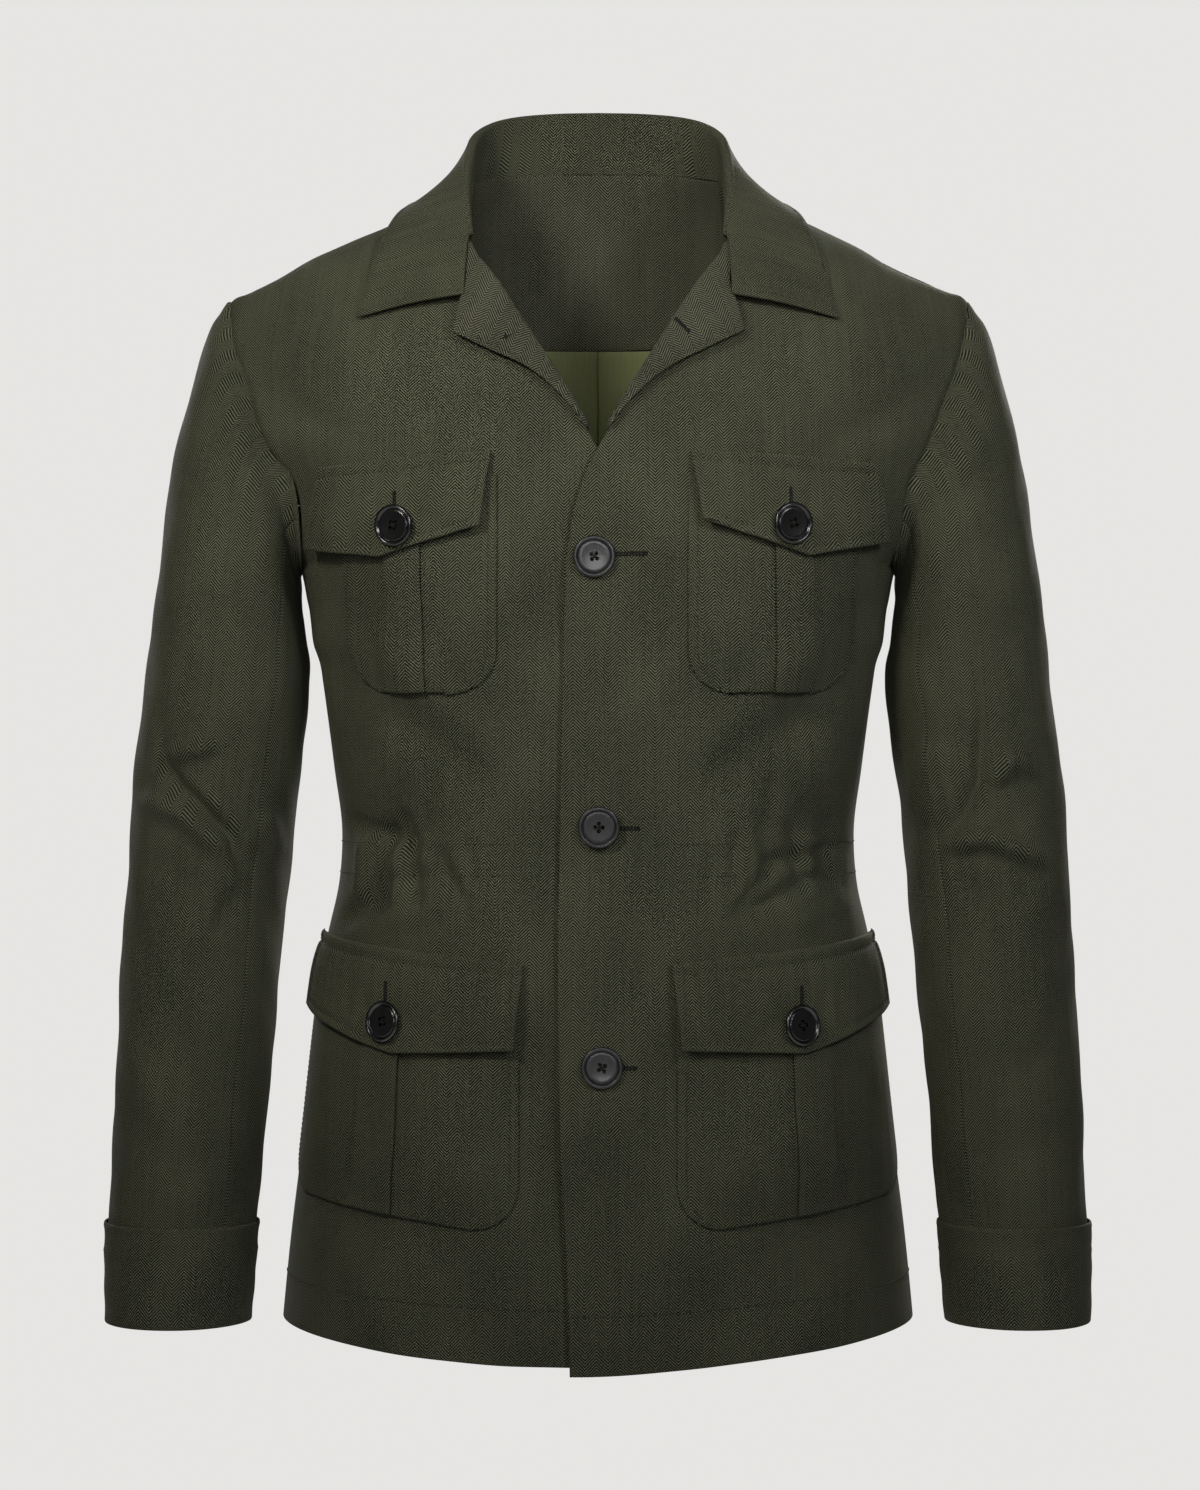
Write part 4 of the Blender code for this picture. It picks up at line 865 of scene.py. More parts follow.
@dataclass(frozen=True)
class Drape:
    """How the trunk's cloth departs from its form: folds, ripples and the overlap."""

    form: TrunkForm = TrunkForm()
    overlap_out: tuple[float, float] = (0.0009, -0.0032)
    overlap_full: float = 0.026
    overlap_end: float = 0.060
    side_out: tuple[float, float] = (0.0010, 0.10)
    side_out_z: tuple[float, float] = (-0.257, 0.022)
    hem_drop: float = 0.0050
    hem_drop_end: float = 0.110
    ripples: tuple[Ripple, ...] = (
        Ripple(61.0, 23.0, 0.3, 0.00062),
        Ripple(-38.0, 57.0, 1.9, 0.00060),
        Ripple(97.0, -31.0, 4.1, 0.00038),
        Ripple(22.0, 103.0, 2.7, 0.00036),
        Ripple(143.0, 88.0, 5.2, 0.00020),
        Ripple(-121.0, 151.0, 0.9, 0.00014),
    )
    front: tuple[Fold, ...] = (
        Fold(0.080, -0.350, 0.150, -0.300, 0.0140, -0.0030),
        Fold(0.070, -0.330, 0.120, -0.285, 0.0130, 0.0022),
        Fold(0.196, -0.120, 0.150, -0.150, 0.0120, -0.0032),
        Fold(0.110, -0.040, 0.180, -0.110, 0.0200, 0.0024),
        Fold(0.030, -0.250, 0.060, -0.330, 0.0160, -0.0020),
    )
    left_only: tuple[Fold, ...] = (
        Fold(0.1050, -0.4050, 0.1500, -0.3985, 0.0046, -0.0048),
        Fold(0.1380, -0.4120, 0.0930, -0.4345, 0.0056, -0.0054),
        Fold(0.1020, -0.4110, 0.0870, -0.4300, 0.0044, -0.0042),
        Fold(0.1180, -0.3880, 0.1225, -0.4080, 0.0042, -0.0044),
        Fold(0.1410, -0.3840, 0.1455, -0.4140, 0.0046, -0.0044),
        Fold(0.0830, -0.3930, 0.0815, -0.4200, 0.0042, -0.0034),
        Fold(0.1290, -0.3960, 0.1320, -0.4180, 0.0046, 0.0036),
        Fold(0.0930, -0.3960, 0.0950, -0.4160, 0.0050, 0.0030),
        Fold(0.1120, -0.4260, 0.1250, -0.4420, 0.0056, 0.0028),
        Fold(0.1000, -0.3880, 0.1060, -0.3600, 0.0056, -0.0024),
        Fold(0.0700, -0.4050, 0.0660, -0.4300, 0.0060, -0.0018),
        Fold(0.178, -0.235, 0.120, -0.330, 0.0150, -0.0032),
        Fold(0.022, -0.400, 0.070, -0.452, 0.0150, -0.0014),
        Fold(0.040, -0.150, 0.085, -0.215, 0.0180, 0.0012),
        Fold(0.100, -0.445, 0.150, -0.432, 0.0080, 0.0016),
    )
    right_only: tuple[Fold, ...] = (
        Fold(0.1175, -0.3820, 0.1093, -0.4290, 0.0040, -0.0062),
        Fold(0.1267, -0.3880, 0.1345, -0.4280, 0.0052, -0.0054),
        Fold(0.0960, -0.4030, 0.0840, -0.4260, 0.0054, -0.0052),
        Fold(0.1310, -0.4270, 0.1530, -0.4400, 0.0056, -0.0044),
        Fold(0.1160, -0.3930, 0.1520, -0.3820, 0.0050, -0.0048),
        Fold(0.1010, -0.4120, 0.1240, -0.4160, 0.0046, -0.0034),
        Fold(0.0790, -0.3960, 0.0755, -0.4150, 0.0044, -0.0030),
        Fold(0.1035, -0.3940, 0.1000, -0.4080, 0.0046, 0.0034),
        Fold(0.1215, -0.3980, 0.1225, -0.4250, 0.0042, 0.0034),
        Fold(0.1430, -0.3980, 0.1450, -0.4220, 0.0050, 0.0030),
        Fold(0.0980, -0.4320, 0.1180, -0.4400, 0.0056, 0.0028),
        Fold(0.1070, -0.3840, 0.1010, -0.3560, 0.0056, -0.0026),
        Fold(0.1400, -0.2380, 0.1370, -0.2900, 0.0100, -0.0030),
        Fold(0.1300, -0.5450, 0.1420, -0.5960, 0.0120, -0.0030),
        Fold(0.182, -0.190, 0.150, -0.330, 0.0170, -0.0036),
        Fold(0.060, -0.100, 0.120, -0.150, 0.0180, -0.0016),
        Fold(0.030, -0.290, 0.090, -0.345, 0.0170, 0.0014),
        Fold(0.020, -0.545, 0.026, -0.640, 0.0140, -0.0016),
    )
    behind: tuple[Fold, ...] = (
        Fold(0.000, -0.402, 0.148, -0.398, 0.0070, -0.0032),
        Fold(0.012, -0.380, 0.014, -0.430, 0.0060, -0.0026),
        Fold(0.046, -0.378, 0.044, -0.434, 0.0062, -0.0036),
        Fold(0.074, -0.380, 0.078, -0.440, 0.0062, -0.0040),
        Fold(0.102, -0.378, 0.105, -0.434, 0.0060, -0.0036),
        Fold(0.128, -0.380, 0.132, -0.432, 0.0060, -0.0036),
        Fold(0.060, -0.410, 0.060, -0.442, 0.0070, 0.0028),
        Fold(0.090, -0.408, 0.092, -0.446, 0.0065, 0.0026),
        Fold(0.030, -0.388, 0.032, -0.352, 0.0060, -0.0018),
        Fold(0.090, -0.350, 0.150, -0.290, 0.0150, -0.0030),
        Fold(0.180, -0.150, 0.120, -0.230, 0.0180, -0.0034),
        Fold(0.150, -0.230, 0.060, -0.320, 0.0180, 0.0018),
        Fold(0.030, -0.080, 0.120, -0.070, 0.0220, 0.0012),
    )

    def ripple(self, x: Array, z: Array) -> Array:
        """Height of the long shallow waves.

        Args:
            x: place across the jacket.
            z: height.

        Returns:
            The height of the waves.
        """
        made = np.zeros(np.shape(x))
        for wave in self.ripples:
            made = made + wave.height * np.sin(wave.across * x + wave.up * z + wave.phase)
        return made

    def side_fullness(self, a: Array, z: Array) -> Array:
        """Cloth standing out below the armpit, alike on front and back.

        Args:
            a: distance from the centre line.
            z: height.

        Returns:
            How far it stands out.
        """
        share = np.abs(a) / self.form.width(np.minimum(z, self.form.underarm_z))
        middle, reach = self.side_out_z
        height = (self.side_out[0] + self.side_out[1] * np.clip(-0.250 - z, 0.0, 0.024))
        height = height * np.exp(-((z - middle) / reach) ** 4)
        return height * step(0.72, 1.0, share) * (1.0 - step(-0.245, self.form.underarm_z, z))

    def near_side(self, a: Array, z: Array) -> Array:
        """Share of the folds kept, which die away before the side seam.

        Args:
            a: distance from the centre line.
            z: height.

        Returns:
            A share from 0 to 1.
        """
        share = np.abs(a) / self.form.width(np.minimum(z, self.form.underarm_z))
        return np.where(z < self.form.underarm_z, 1.0 - step(0.90, 0.985, share), 1.0)

    def on_front(self, side: Side, a: Array, z: Array) -> Array:
        """How far a front stands off its plain form.

        Args:
            side: which front.
            a: distances from the centre line.
            z: heights.

        Returns:
            The height off the form at each point.
        """
        own = self.left_only if side is Side.LEFT else self.right_only
        folds = fold_height(a, z, self.front + own) + self.ripple(a * side.value, z)
        out = self.overlap_out[0] if side is Side.LEFT else self.overlap_out[1]
        overlap = 1.0 - step(self.overlap_full, self.overlap_end, a)
        off = folds * self.near_side(a, z) + self.side_fullness(a, z)
        return off + out * overlap * (1.0 - step(-0.165, -0.105, z))

    def on_back(self, x: Array, z: Array) -> Array:
        """How far the back stands off its plain form.

        Args:
            x: place across the jacket.
            z: height.

        Returns:
            How far it stands off.
        """
        a = np.abs(x)
        sway = self.ripple(x + 0.4, z)
        folds = fold_height(a, z, self.behind) + sway
        return folds * self.near_side(a, z) + self.side_fullness(a, z)


# ---------------------------------------------------------------- cloth to meshes
@dataclass
class Cloth:
    """A grid of points on the outer face of one piece of cloth.

    Attributes:
        points: rows, columns, three.
        place: rows, columns, two: metres across and along the cloth.
        turn: 1 or -1, which way round a face looks out.
        wrap: whether the last column joins the first.
        present: which points are there, if not all.
        fan: row and column at which the columns before it meet in one point.
    """

    points: Array
    place: Array
    turn: int
    wrap: bool = False
    present: Optional[Array] = None
    fan: Optional[tuple[int, int]] = None

    def flat_size(self) -> tuple[float, float, float]:
        """Width, length and area of the piece as cut."""
        there = np.ones(self.points.shape[:2], bool) if self.present is None else self.present
        wide = np.linalg.norm(np.diff(self.points, axis=1), axis=2) * (there[:, 1:] & there[:, :-1])
        if self.wrap:
            gap = np.linalg.norm(self.points[:, -1] - self.points[:, 0], axis=1)
            wide = np.concatenate([wide, gap[:, None]], axis=1)
        tall = np.linalg.norm(np.diff(self.points, axis=0), axis=2) * (there[1:] & there[:-1])
        width, length = float(wide.sum(axis=1).max()), float(tall.sum(axis=0).max())
        p = self.points
        if self.wrap:
            p = np.concatenate([p, p[:, :1]], axis=1)
            there = np.concatenate([there, there[:, :1]], axis=1)
        cell = np.linalg.norm(np.cross(p[1:, 1:] - p[:-1, :-1], p[1:, :-1] - p[:-1, 1:]), axis=2)
        whole = there[1:, 1:] & there[:-1, :-1] & there[1:, :-1] & there[:-1, 1:]
        return width, length, float((cell * whole).sum() * 0.5)

    def moved(self, out: Array, rows: slice = slice(None), columns: slice = slice(None)) -> "Cloth":
        """A part of the grid moved along its normals.

        Args:
            out: how far, one number or one for each point.
            rows: which rows to keep.
            columns: which columns to keep.

        Returns:
            The new grid.
        """
        normal = grid_normals(self.points, self.turn)
        if self.fan is not None:
            normal[self.fan[0], self.fan[1]] = normal[self.fan[0], self.fan[1] + 1]
        shift = normal * np.broadcast_to(out, self.points.shape[:2])[:, :, None]
        points = self.points + shift
        present = None if self.present is None else self.present[rows, columns]
        return Cloth(points[rows, columns], self.place[rows, columns], self.turn,
                     self.wrap, present, self.fan)

    def trace(self, rows: Array, columns: Array, lift: float) -> Array:
        """Points of a line over the cloth, given by fractional rows and columns.

        Args:
            rows: rows of the grid.
            columns: columns of the grid.
            lift: how far off the cloth.

        Returns:
            The points of the line.
        """
        normal = grid_normals(self.points, self.turn)
        top = self.points + normal * lift
        count = self.points.shape[1]
        rows = np.clip(rows, 0, self.points.shape[0] - 1.001)
        columns = np.mod(columns, count) if self.wrap else np.clip(columns, 0, count - 1.001)
        i, j = rows.astype(int), columns.astype(int)
        s, t = (rows - i)[:, None], (columns - j)[:, None]
        after = (j + 1) % count if self.wrap else j + 1
        low = top[i, j] * (1 - t) + top[i, after] * t
        high = top[i + 1, j] * (1 - t) + top[i + 1, after] * t
        return low * (1 - s) + high * s


def cloth_faces(cloth: Cloth) -> tuple[Array, Array, Array, Array]:
    """Vertices, faces and face corners' places of a grid's outer face.

    Args:
        cloth: the grid.

    Returns:
        Points, places, faces (four corners, the last repeated in a triangle), and how many
        times round each corner's place has gone.
    """
    rows, cols = cloth.points.shape[:2]
    there = np.ones((rows, cols), bool) if cloth.present is None else cloth.present
    index = np.full((rows, cols), -1)
    index[there] = np.arange(there.sum())
    if cloth.fan is not None:
        index[cloth.fan[0], :cloth.fan[1]] = index[cloth.fan[0], cloth.fan[1]]
    last = cols if cloth.wrap else cols - 1
    after = (np.arange(last) + 1) % cols
    corner = [index[:-1, :last], index[:-1, after], index[1:, after], index[1:, :last]]
    faces = np.stack(corner, axis=-1).reshape(-1, 4)
    laps = np.zeros((rows - 1, last, 4))
    if cloth.wrap:
        laps[:, -1, 1:3] = 1
    laps = laps.reshape(-1, 4)
    keep = (faces >= 0).all(axis=1) & (faces[:, 0] != faces[:, 3])
    faces, laps = faces[keep], laps[keep]
    if cloth.turn < 0:
        faces, laps = faces[:, ::-1], laps[:, ::-1]
    return cloth.points[there], cloth.place[there], faces, laps


def triangle_corners(faces: Array) -> list[list[int]]:
    """Faces with repeated corners left out.

    Args:
        faces: four point numbers for each face.

    Returns:
        Corners of each face, three or four.
    """
    plain = faces.tolist()
    for row in np.nonzero((faces == np.roll(faces, 1, axis=1)).any(axis=1))[0]:
        plain[row] = list(dict.fromkeys(plain[row]))
    return plain


@dataclass(frozen=True)
class Sewn:
    """How a piece of cloth is named and dressed."""

    name: str
    node: str
    slot: str
    material: bpy.types.Material
    thickness: float
    rests_on: tuple[str, ...] = ()
    held: str = "hung"
    rim_cells: int = 4


def rim_places(turn_place: Array, owner: Array, edge: Array, size: int) -> Array:
    """Directions on the cloth in which its free edges look, so that a rim's weave runs on.

    Args:
        turn_place: place of both ends of every free edge.
        owner: place of the middle of the face that each edge belongs to.
        edge: point numbers of both ends.
        size: how many points there are.

    Returns:
        The direction at both ends of every edge.
    """
    run = turn_place[:, 1] - turn_place[:, 0]
    out = unit(np.stack([-run[:, 1], run[:, 0]], axis=1))
    out = out * np.sign((out * (turn_place.mean(axis=1) - owner)).sum(axis=1, keepdims=True))
    shared = np.zeros((size, 2))
    for k in range(2):
        np.add.at(shared, edge[:, k], out)
    return unit(shared)[edge]


def make_wall(cloth: Cloth, sewn: Sewn) -> bpy.types.Object:
    """A closed wall of cloth with rounded edges, dressed and riding.

    Args:
        cloth: the grid of its outer face.
        sewn: its name, thickness and finish.

    Returns:
        The piece.
    """
    points, place, faces, laps = cloth_faces(cloth)
    a, b, c, d = (points[faces[:, k]] for k in range(4))
    flat = np.cross(c - a, d - b)
    normal = np.zeros_like(points)
    for k in range(4):
        np.add.at(normal, faces[:, k], flat)
    normal = unit(normal)
    sides = np.stack([faces, np.roll(faces, -1, axis=1)], axis=-1).reshape(-1, 2)
    lap = np.stack([laps, np.roll(laps, -1, axis=1)], axis=-1).reshape(-1, 2)
    real = sides[:, 0] != sides[:, 1]
    sides, lap = sides[real], lap[real]
    size = len(points)
    seen = set((sides[:, 1] * size + sides[:, 0]).tolist())
    open_edge = np.array([key not in seen for key in (sides[:, 0] * size + sides[:, 1]).tolist()])
    edge, edge_lap = sides[open_edge], lap[open_edge]
    owner = np.repeat(np.arange(len(faces)), 4)[real][open_edge]
    out = np.zeros_like(points)
    run = unit(points[edge[:, 1]] - points[edge[:, 0]])
    for k in range(2):
        np.add.at(out, edge[:, k], np.cross(run, normal[edge[:, k]]))
    rim = np.unique(edge)
    away = unit(out[rim] - normal[rim] * (out[rim] * normal[rim]).sum(axis=1, keepdims=True))
    radius = 0.5 * sewn.thickness
    outer = points.copy()
    outer[rim] -= away * radius
    inner = outer - normal * sewn.thickness
    middle = outer[rim] - normal[rim] * radius
    loops = [outer, inner]
    for k in range(1, sewn.rim_cells):
        angle = math.pi * k / sewn.rim_cells
        loops.append(middle + (normal[rim] * math.cos(angle) + away * math.sin(angle)) * radius)
    where = np.full(size, -1)
    where[rim] = np.arange(len(rim))
    rings = [edge] + [2 * size + k * len(rim) + where[edge] for k in range(sewn.rim_cells - 1)]
    rings.append(edge + size)
    quads, quad_place = [faces, faces[:, ::-1] + size], [place[faces], place[faces[:, ::-1]]]
    girth = 0.0
    if cloth.wrap:
        girth = float(np.abs(cloth.place[:, -1, 0] - cloth.place[:, 0, 0]).mean()
                      * cloth.place.shape[1] / (cloth.place.shape[1] - 1))
        quad_place[0] = quad_place[0] + np.stack([laps * girth, laps * 0], axis=-1)
        quad_place[1] = quad_place[1] + np.stack([laps[:, ::-1] * girth, laps * 0], axis=-1)
    turn_place = place[edge] + np.stack([edge_lap * girth, edge_lap * 0], axis=-1)
    beyond = rim_places(turn_place, quad_place[0][owner].mean(axis=1), edge, size)
    for count, (near, far) in enumerate(zip(rings[:-1], rings[1:])):
        quads.append(np.stack([near[:, 1], near[:, 0], far[:, 0], far[:, 1]], axis=1))
        arcs = [math.pi * radius * (count + more) / sewn.rim_cells for more in (0, 1)]
        quad_place.append(np.stack([turn_place[:, corner] + beyond[:, corner] * arcs[ring]
                                    for corner, ring in ((1, 0), (0, 0), (0, 1), (1, 1))], axis=1))
    all_faces = np.concatenate(quads)
    mesh = bpy.data.meshes.new(sewn.name)
    mesh.from_pydata(np.concatenate(loops).tolist(), [], triangle_corners(all_faces))
    layer = mesh.uv_layers.new(name="cloth")
    corner_place = np.concatenate(quad_place)
    repeated = all_faces == np.roll(all_faces, 1, axis=1)
    layer.data.foreach_set("uv", corner_place[~repeated].astype(np.float32).ravel())
    mesh.shade_smooth()
    made = bpy.data.objects.new(sewn.name, mesh)
    bpy.context.scene.collection.objects.link(made)
    mesh.materials.append(sewn.material)
    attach(made, "root")
    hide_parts(sewn.node)
    width, length, area = cloth.flat_size()
    LOG.info("%s: %d faces, cut %.0f x %.0f mm", sewn.name, len(all_faces),
             width * 1000, length * 1000)
    return made


# ---------------------------------------------------------------- fronts
@dataclass
class Fronts:
    """Both fronts with their rolled lapels, and the facing inside each."""

    drape: Drape
    cloth: float = 0.0012
    facing_cloth: float = 0.0011
    ply_gap: float = 0.00030
    shoulder_gap: float = 0.0003
    seam_gap: float = 0.0004
    neck_gap: float = 0.0012
    rows_low: int = 164
    rows_each: int = 6
    columns: int = 98
    facing_columns: int = 38
    roll_radius: float = 0.0012
    roll_cells: int = 6
    lapel_cells: int = 15
    break_row: int = 3
    corner_row: int = 7
    roll_top_row: int = 9
    edge: tuple[Edge, ...] = (
        Edge(-0.712, -0.0160),
        Edge(-0.660, -0.0175),
        Edge(-0.580, -0.0220),
        Edge(-0.500, -0.0238),
        Edge(-0.440, -0.0238),
        Edge(-0.380, -0.0226),
        Edge(-0.300, -0.0212),
        Edge(-0.225, -0.0190),
    )
    roll: tuple[Edge, ...] = (
        Edge(-0.2250, -0.0190),
        Edge(-0.1960, -0.0145),
        Edge(-0.1690, -0.0060),
        Edge(-0.1475, 0.0060),
        Edge(-0.1260, 0.0185),
        Edge(-0.1055, 0.0325),
        Edge(-0.0855, 0.0450),
        Edge(-0.0680, 0.0560),
        Edge(-0.0500, 0.0672),
        Edge(-0.0310, 0.0788),
        Edge(0.0010, 0.0800),
        Edge(0.0180, 0.0800),
    )
    tip: tuple[Edge, ...] = (
        Edge(-0.1475, 0.0060),
        Edge(-0.1272, 0.0212),
        Edge(-0.1105, 0.0405),
        Edge(-0.0985, 0.0650),
        Edge(-0.0884, 0.0858),
        Edge(-0.0585, 0.0790),
        Edge(-0.0440, 0.0810),
    )
    lapel_lift: float = 0.0022
    tucked_lift: float = 0.0008
    lapel_belly: float = 0.0026
    lapel_tilt: float = 0.0020
    bodies: dict[Side, Cloth] = field(default_factory=dict)

    def roll_at(self, row: float) -> tuple[float, float]:
        """Share and angle of rise of the roll line or neck edge at a row.

        Args:
            row: row of the lapel.

        Returns:
            The share and the angle.
        """
        form = self.drape.form
        places = np.arange(len(self.roll))
        z = float(smooth(places, column(self.roll, "z"), row))
        a = float(smooth(places, column(self.roll, "a"), row))
        rise = float(np.clip((z - form.underarm_z) / (form.ridge_z(a) - form.underarm_z), 0.0, 1.0))
        return a / float(form.upper_width(rise, Facing.FRONT)), math.asin(rise)

    def body(self, side: Side) -> Cloth:
        """The part of a front that lies on the body.

        Args:
            side: which front.

        Returns:
            Its grid, from hem to shoulder and from its edge to the side seam.
        """
        form = self.drape.form
        shares = np.linspace(0.0, 1.0, self.columns + 1)
        rows, places = [], []
        for z in np.linspace(form.hem_z, form.underarm_z, self.rows_low + 1)[:-1]:
            first = float(smooth(column(self.edge, "z"), column(self.edge, "a"), z))
            row, place = form.level_row(z, Facing.FRONT, first, shares)
            if side is Side.LEFT:
                drop = 1.0 - step(first, self.drape.hem_drop_end, row[:, 0])
                fade = 1.0 - step(0.0, form.hem_fade, z - form.hem_z)
                row[:, 2] -= self.drape.hem_drop * drop * fade
            rows.append(row)
            places.append(place)
        lines = ClothLines(form, Facing.FRONT)
        count = (len(self.roll) - 1) * self.rows_each
        angles = form.armhole_angles(Facing.FRONT, np.linspace(0.0, 1.0, count + 1))
        for row_at, angle in zip(np.linspace(0.0, len(self.roll) - 1, count + 1), angles):
            last = (float(form.cut_share(math.sin(angle), Facing.FRONT)), float(angle))
            row, place = lines.rising_row(self.roll_at(row_at), last, shares)
            rows.append(row)
            places.append(place)
        plain = np.array(rows)
        relief = self.drape.on_front(side, plain[:, :, 0], plain[:, :, 2])
        relief = relief + self.armhole_press(np.arange(len(rows)), plain)
        points = mirrored(plain + grid_normals(plain, 1) * relief[:, :, None], side)
        return Cloth(points, np.array(places), side.value)

    def armhole_press(self, rows: Array, plain: Array) -> Array:
        """The seam allowance pressed under the front beside the armhole.

        Args:
            rows: rows of the grid.
            plain: points before pressing.

        Returns:
            How far each point is pressed.
        """
        to_edge = np.linalg.norm(plain - plain[:, -1:], axis=2)
        above = step(self.rows_low, self.rows_low + 10, rows)[:, None]
        return above * (0.0010 * np.exp(-((to_edge - 0.0060) / 0.0045) ** 2)
                        - 0.0006 * np.exp(-(to_edge / 0.0022) ** 2))

    def tip_at(self, row: float) -> tuple[float, float]:
        """Free edge of the lapel at a row: a curve up to its corner, then its short top.

        Args:
            row: row of the lapel.

        Returns:
            The edge's distance from the centre and its height.
        """
        turn = self.corner_row - self.break_row
        part = self.tip[:turn + 1] if row <= self.corner_row else self.tip[turn:]
        first = self.break_row if row <= self.corner_row else self.corner_row
        places = np.arange(len(part)) + first
        return (float(smooth(places, column(part, "a"), row)),
                float(smooth(places, column(part, "z"), row)))

    def lapel(self, side: Side, body: Cloth) -> Array:
        """The part of a front past the roll line, turned back.

        Args:
            side: which front.
            body: the front's own grid.

        Returns:
            Points of each row above the break.
        """
        form = self.drape.form
        out = grid_normals(body.points, side.value)
        rows = []
        for index in range(self.break_row * self.rows_each + 1,
                           self.roll_top_row * self.rows_each + 1):
            row = self.rows_low + index
            start, normal = body.points[row, 0], out[row, 0]
            along = body.points[row + 1, 0] - body.points[row - 1, 0]
            inward = unit(np.cross(normal, along))
            inward = inward * np.sign(np.dot(inward, body.points[row, 1] - start))
            tip_a, tip_z = self.tip_at(index / self.rows_each)
            wide = math.hypot(tip_a - side.value * start[0], tip_z - start[2])
            tucked = 1.0 - float(step(self.corner_row + 0.3, self.corner_row + 1.3,
                                      index / self.rows_each))
            grown = float(step(0.0, 0.012, wide)) * tucked
            radius = self.roll_radius * (0.25 + 0.75 * grown)
            points = []
            for angle in np.linspace(0.0, math.pi, self.roll_cells + 1)[1:]:
                curl = -inward * math.sin(angle) + normal * (1.0 - math.cos(angle))
                points.append(start + curl * radius)
            share = np.linspace(0.0, 1.0, self.lapel_cells + 1)[1:]
            a = side.value * start[0] + (tip_a - side.value * start[0]) * share
            z = start[2] + (tip_z - start[2]) * share
            small = 0.0005
            dy_da = (form.front_y(a + small, z) - form.front_y(a - small, z)) / (2 * small)
            dy_dz = (form.front_y(a, z + small) - form.front_y(a, z - small)) / (2 * small)
            off = unit(np.stack([dy_da, -np.ones_like(a), dy_dz], axis=1))
            low = self.tucked_lift + (self.lapel_lift - self.tucked_lift) * tucked
            lift = 2.0 * radius + (low - 2.0 * radius) * step(0.0, 0.25, share)
            lift = lift + grown * (self.lapel_belly * np.sin(math.pi * share)
                                   + self.lapel_tilt * share)
            lift = lift + self.drape.on_front(side, a, z)
            flat = np.stack([a, form.front_y(a, z), z], axis=1) + off * lift[:, None]
            rows.append(np.array(points + list(mirrored(flat, side))))
        return np.array(rows)

    def lapel_places(self, side: Side, rows: Array) -> Array:
        """Places on the cloth of the turned-back part, measured on its own face.

        Args:
            side: which front.
            rows: its points, each row from the roll to the free edge.

        Returns:
            Place across and along the cloth at each point.
        """
        first, last = self.roll[self.break_row - 1], self.roll[self.roll_top_row]
        run = unit(np.array([last.a - first.a, last.z - first.z]))
        across = np.array([side.value * run[1], -run[0]])
        made = rows[:, :, [0, 2]].copy()
        for row, seen in zip(rows, made):
            along = lengths(row)
            back = along[:self.roll_cells] - along[self.roll_cells]
            seen[:self.roll_cells] = seen[self.roll_cells] + across * back[:, None]
        lean = math.radians(24.0) * side.value
        return made @ np.array([[math.cos(lean), -math.sin(lean)],
                                [math.sin(lean), math.cos(lean)]])

    def whole(self, side: Side) -> Cloth:
        """A whole front with its lapel.

        Args:
            side: side of the jacket.

        Returns:
            The whole front.
        """
        body = self.body(side)
        lapel = self.lapel(side, body)
        width = lapel.shape[1]
        low = self.rows_low + self.break_row * self.rows_each
        high = self.rows_low + self.roll_top_row * self.rows_each
        points = np.repeat(body.points[:, :1], width, axis=1)
        place = np.repeat(body.place[:, :1], width, axis=1)
        points[low + 1:high + 1] = lapel
        place[low + 1:high + 1] = self.lapel_places(side, lapel)
        present = np.zeros((body.points.shape[0], width), bool)
        present[low + 1:high + 1] = True
        there = np.concatenate([present[:, ::-1], np.ones(body.points.shape[:2], bool)], axis=1)
        return Cloth(np.concatenate([points[:, ::-1], body.points], axis=1),
                     np.concatenate([place[:, ::-1], body.place], axis=1),
                     side.value, False, there, (low, width))

    def build(self, finishes: Wardrobe) -> None:
        """Make the fronts and their facings.

        Args:
            finishes: the finished materials.
        """
        for side in Side:
            whole = self.whole(side)
            self.bodies[side] = whole
            width = whole.fan[1]
            cut = Cloth(whole.points.copy(), whole.place, whole.turn, False, whole.present,
                        whole.fan)
            pull(cut.points, "last_column", self.seam_gap)
            pull(cut.points, "last_row", self.shoulder_gap)
            top = self.rows_low + self.roll_top_row * self.rows_each + 1
            pull(cut.points[top:, width:], "first_column", self.neck_gap)
            make_wall(cut, Sewn("front_%s_wool" % side.word, "front_" + side.word, "shell",
                                finishes.wool, self.cloth, rests_on=()))
            facing = whole.moved(-(self.cloth + self.ply_gap),
                                 columns=slice(0, width + self.facing_columns))
            pull(facing.points, "last_row", self.shoulder_gap + 0.0002)
            shown = whole.moved(-(self.cloth + self.ply_gap + self.facing_cloth))
            rows = slice(whole.fan[0] + 1, top)
            facing.place[rows, :width] = self.lapel_places(
                side, shown.points[rows, width - 1::-1])[:, ::-1]
            make_wall(facing, Sewn("facing_%s_wool" % side.word, "facing_" + side.word, "facing",
                                   finishes.facing, self.facing_cloth,
                                   rests_on=("front_%s_wool" % side.word,)))

    def faces(self) -> dict[str, Cloth]:
        """The faces that buttonholes are worked in: each front, and each lapel's facing."""
        made = {}
        for side, whole in self.bodies.items():
            width = whole.fan[1]
            made["front_" + side.word] = Cloth(whole.points[:, width:], whole.place[:, width:],
                                               whole.turn)
            turned = whole.moved(-(self.cloth + self.ply_gap + self.facing_cloth))
            made["lapel_" + side.word] = Cloth(
                turned.points[:, :self.lapel_cells], turned.place[:, :self.lapel_cells],
                -whole.turn, False, whole.present[:, :self.lapel_cells])
        return made

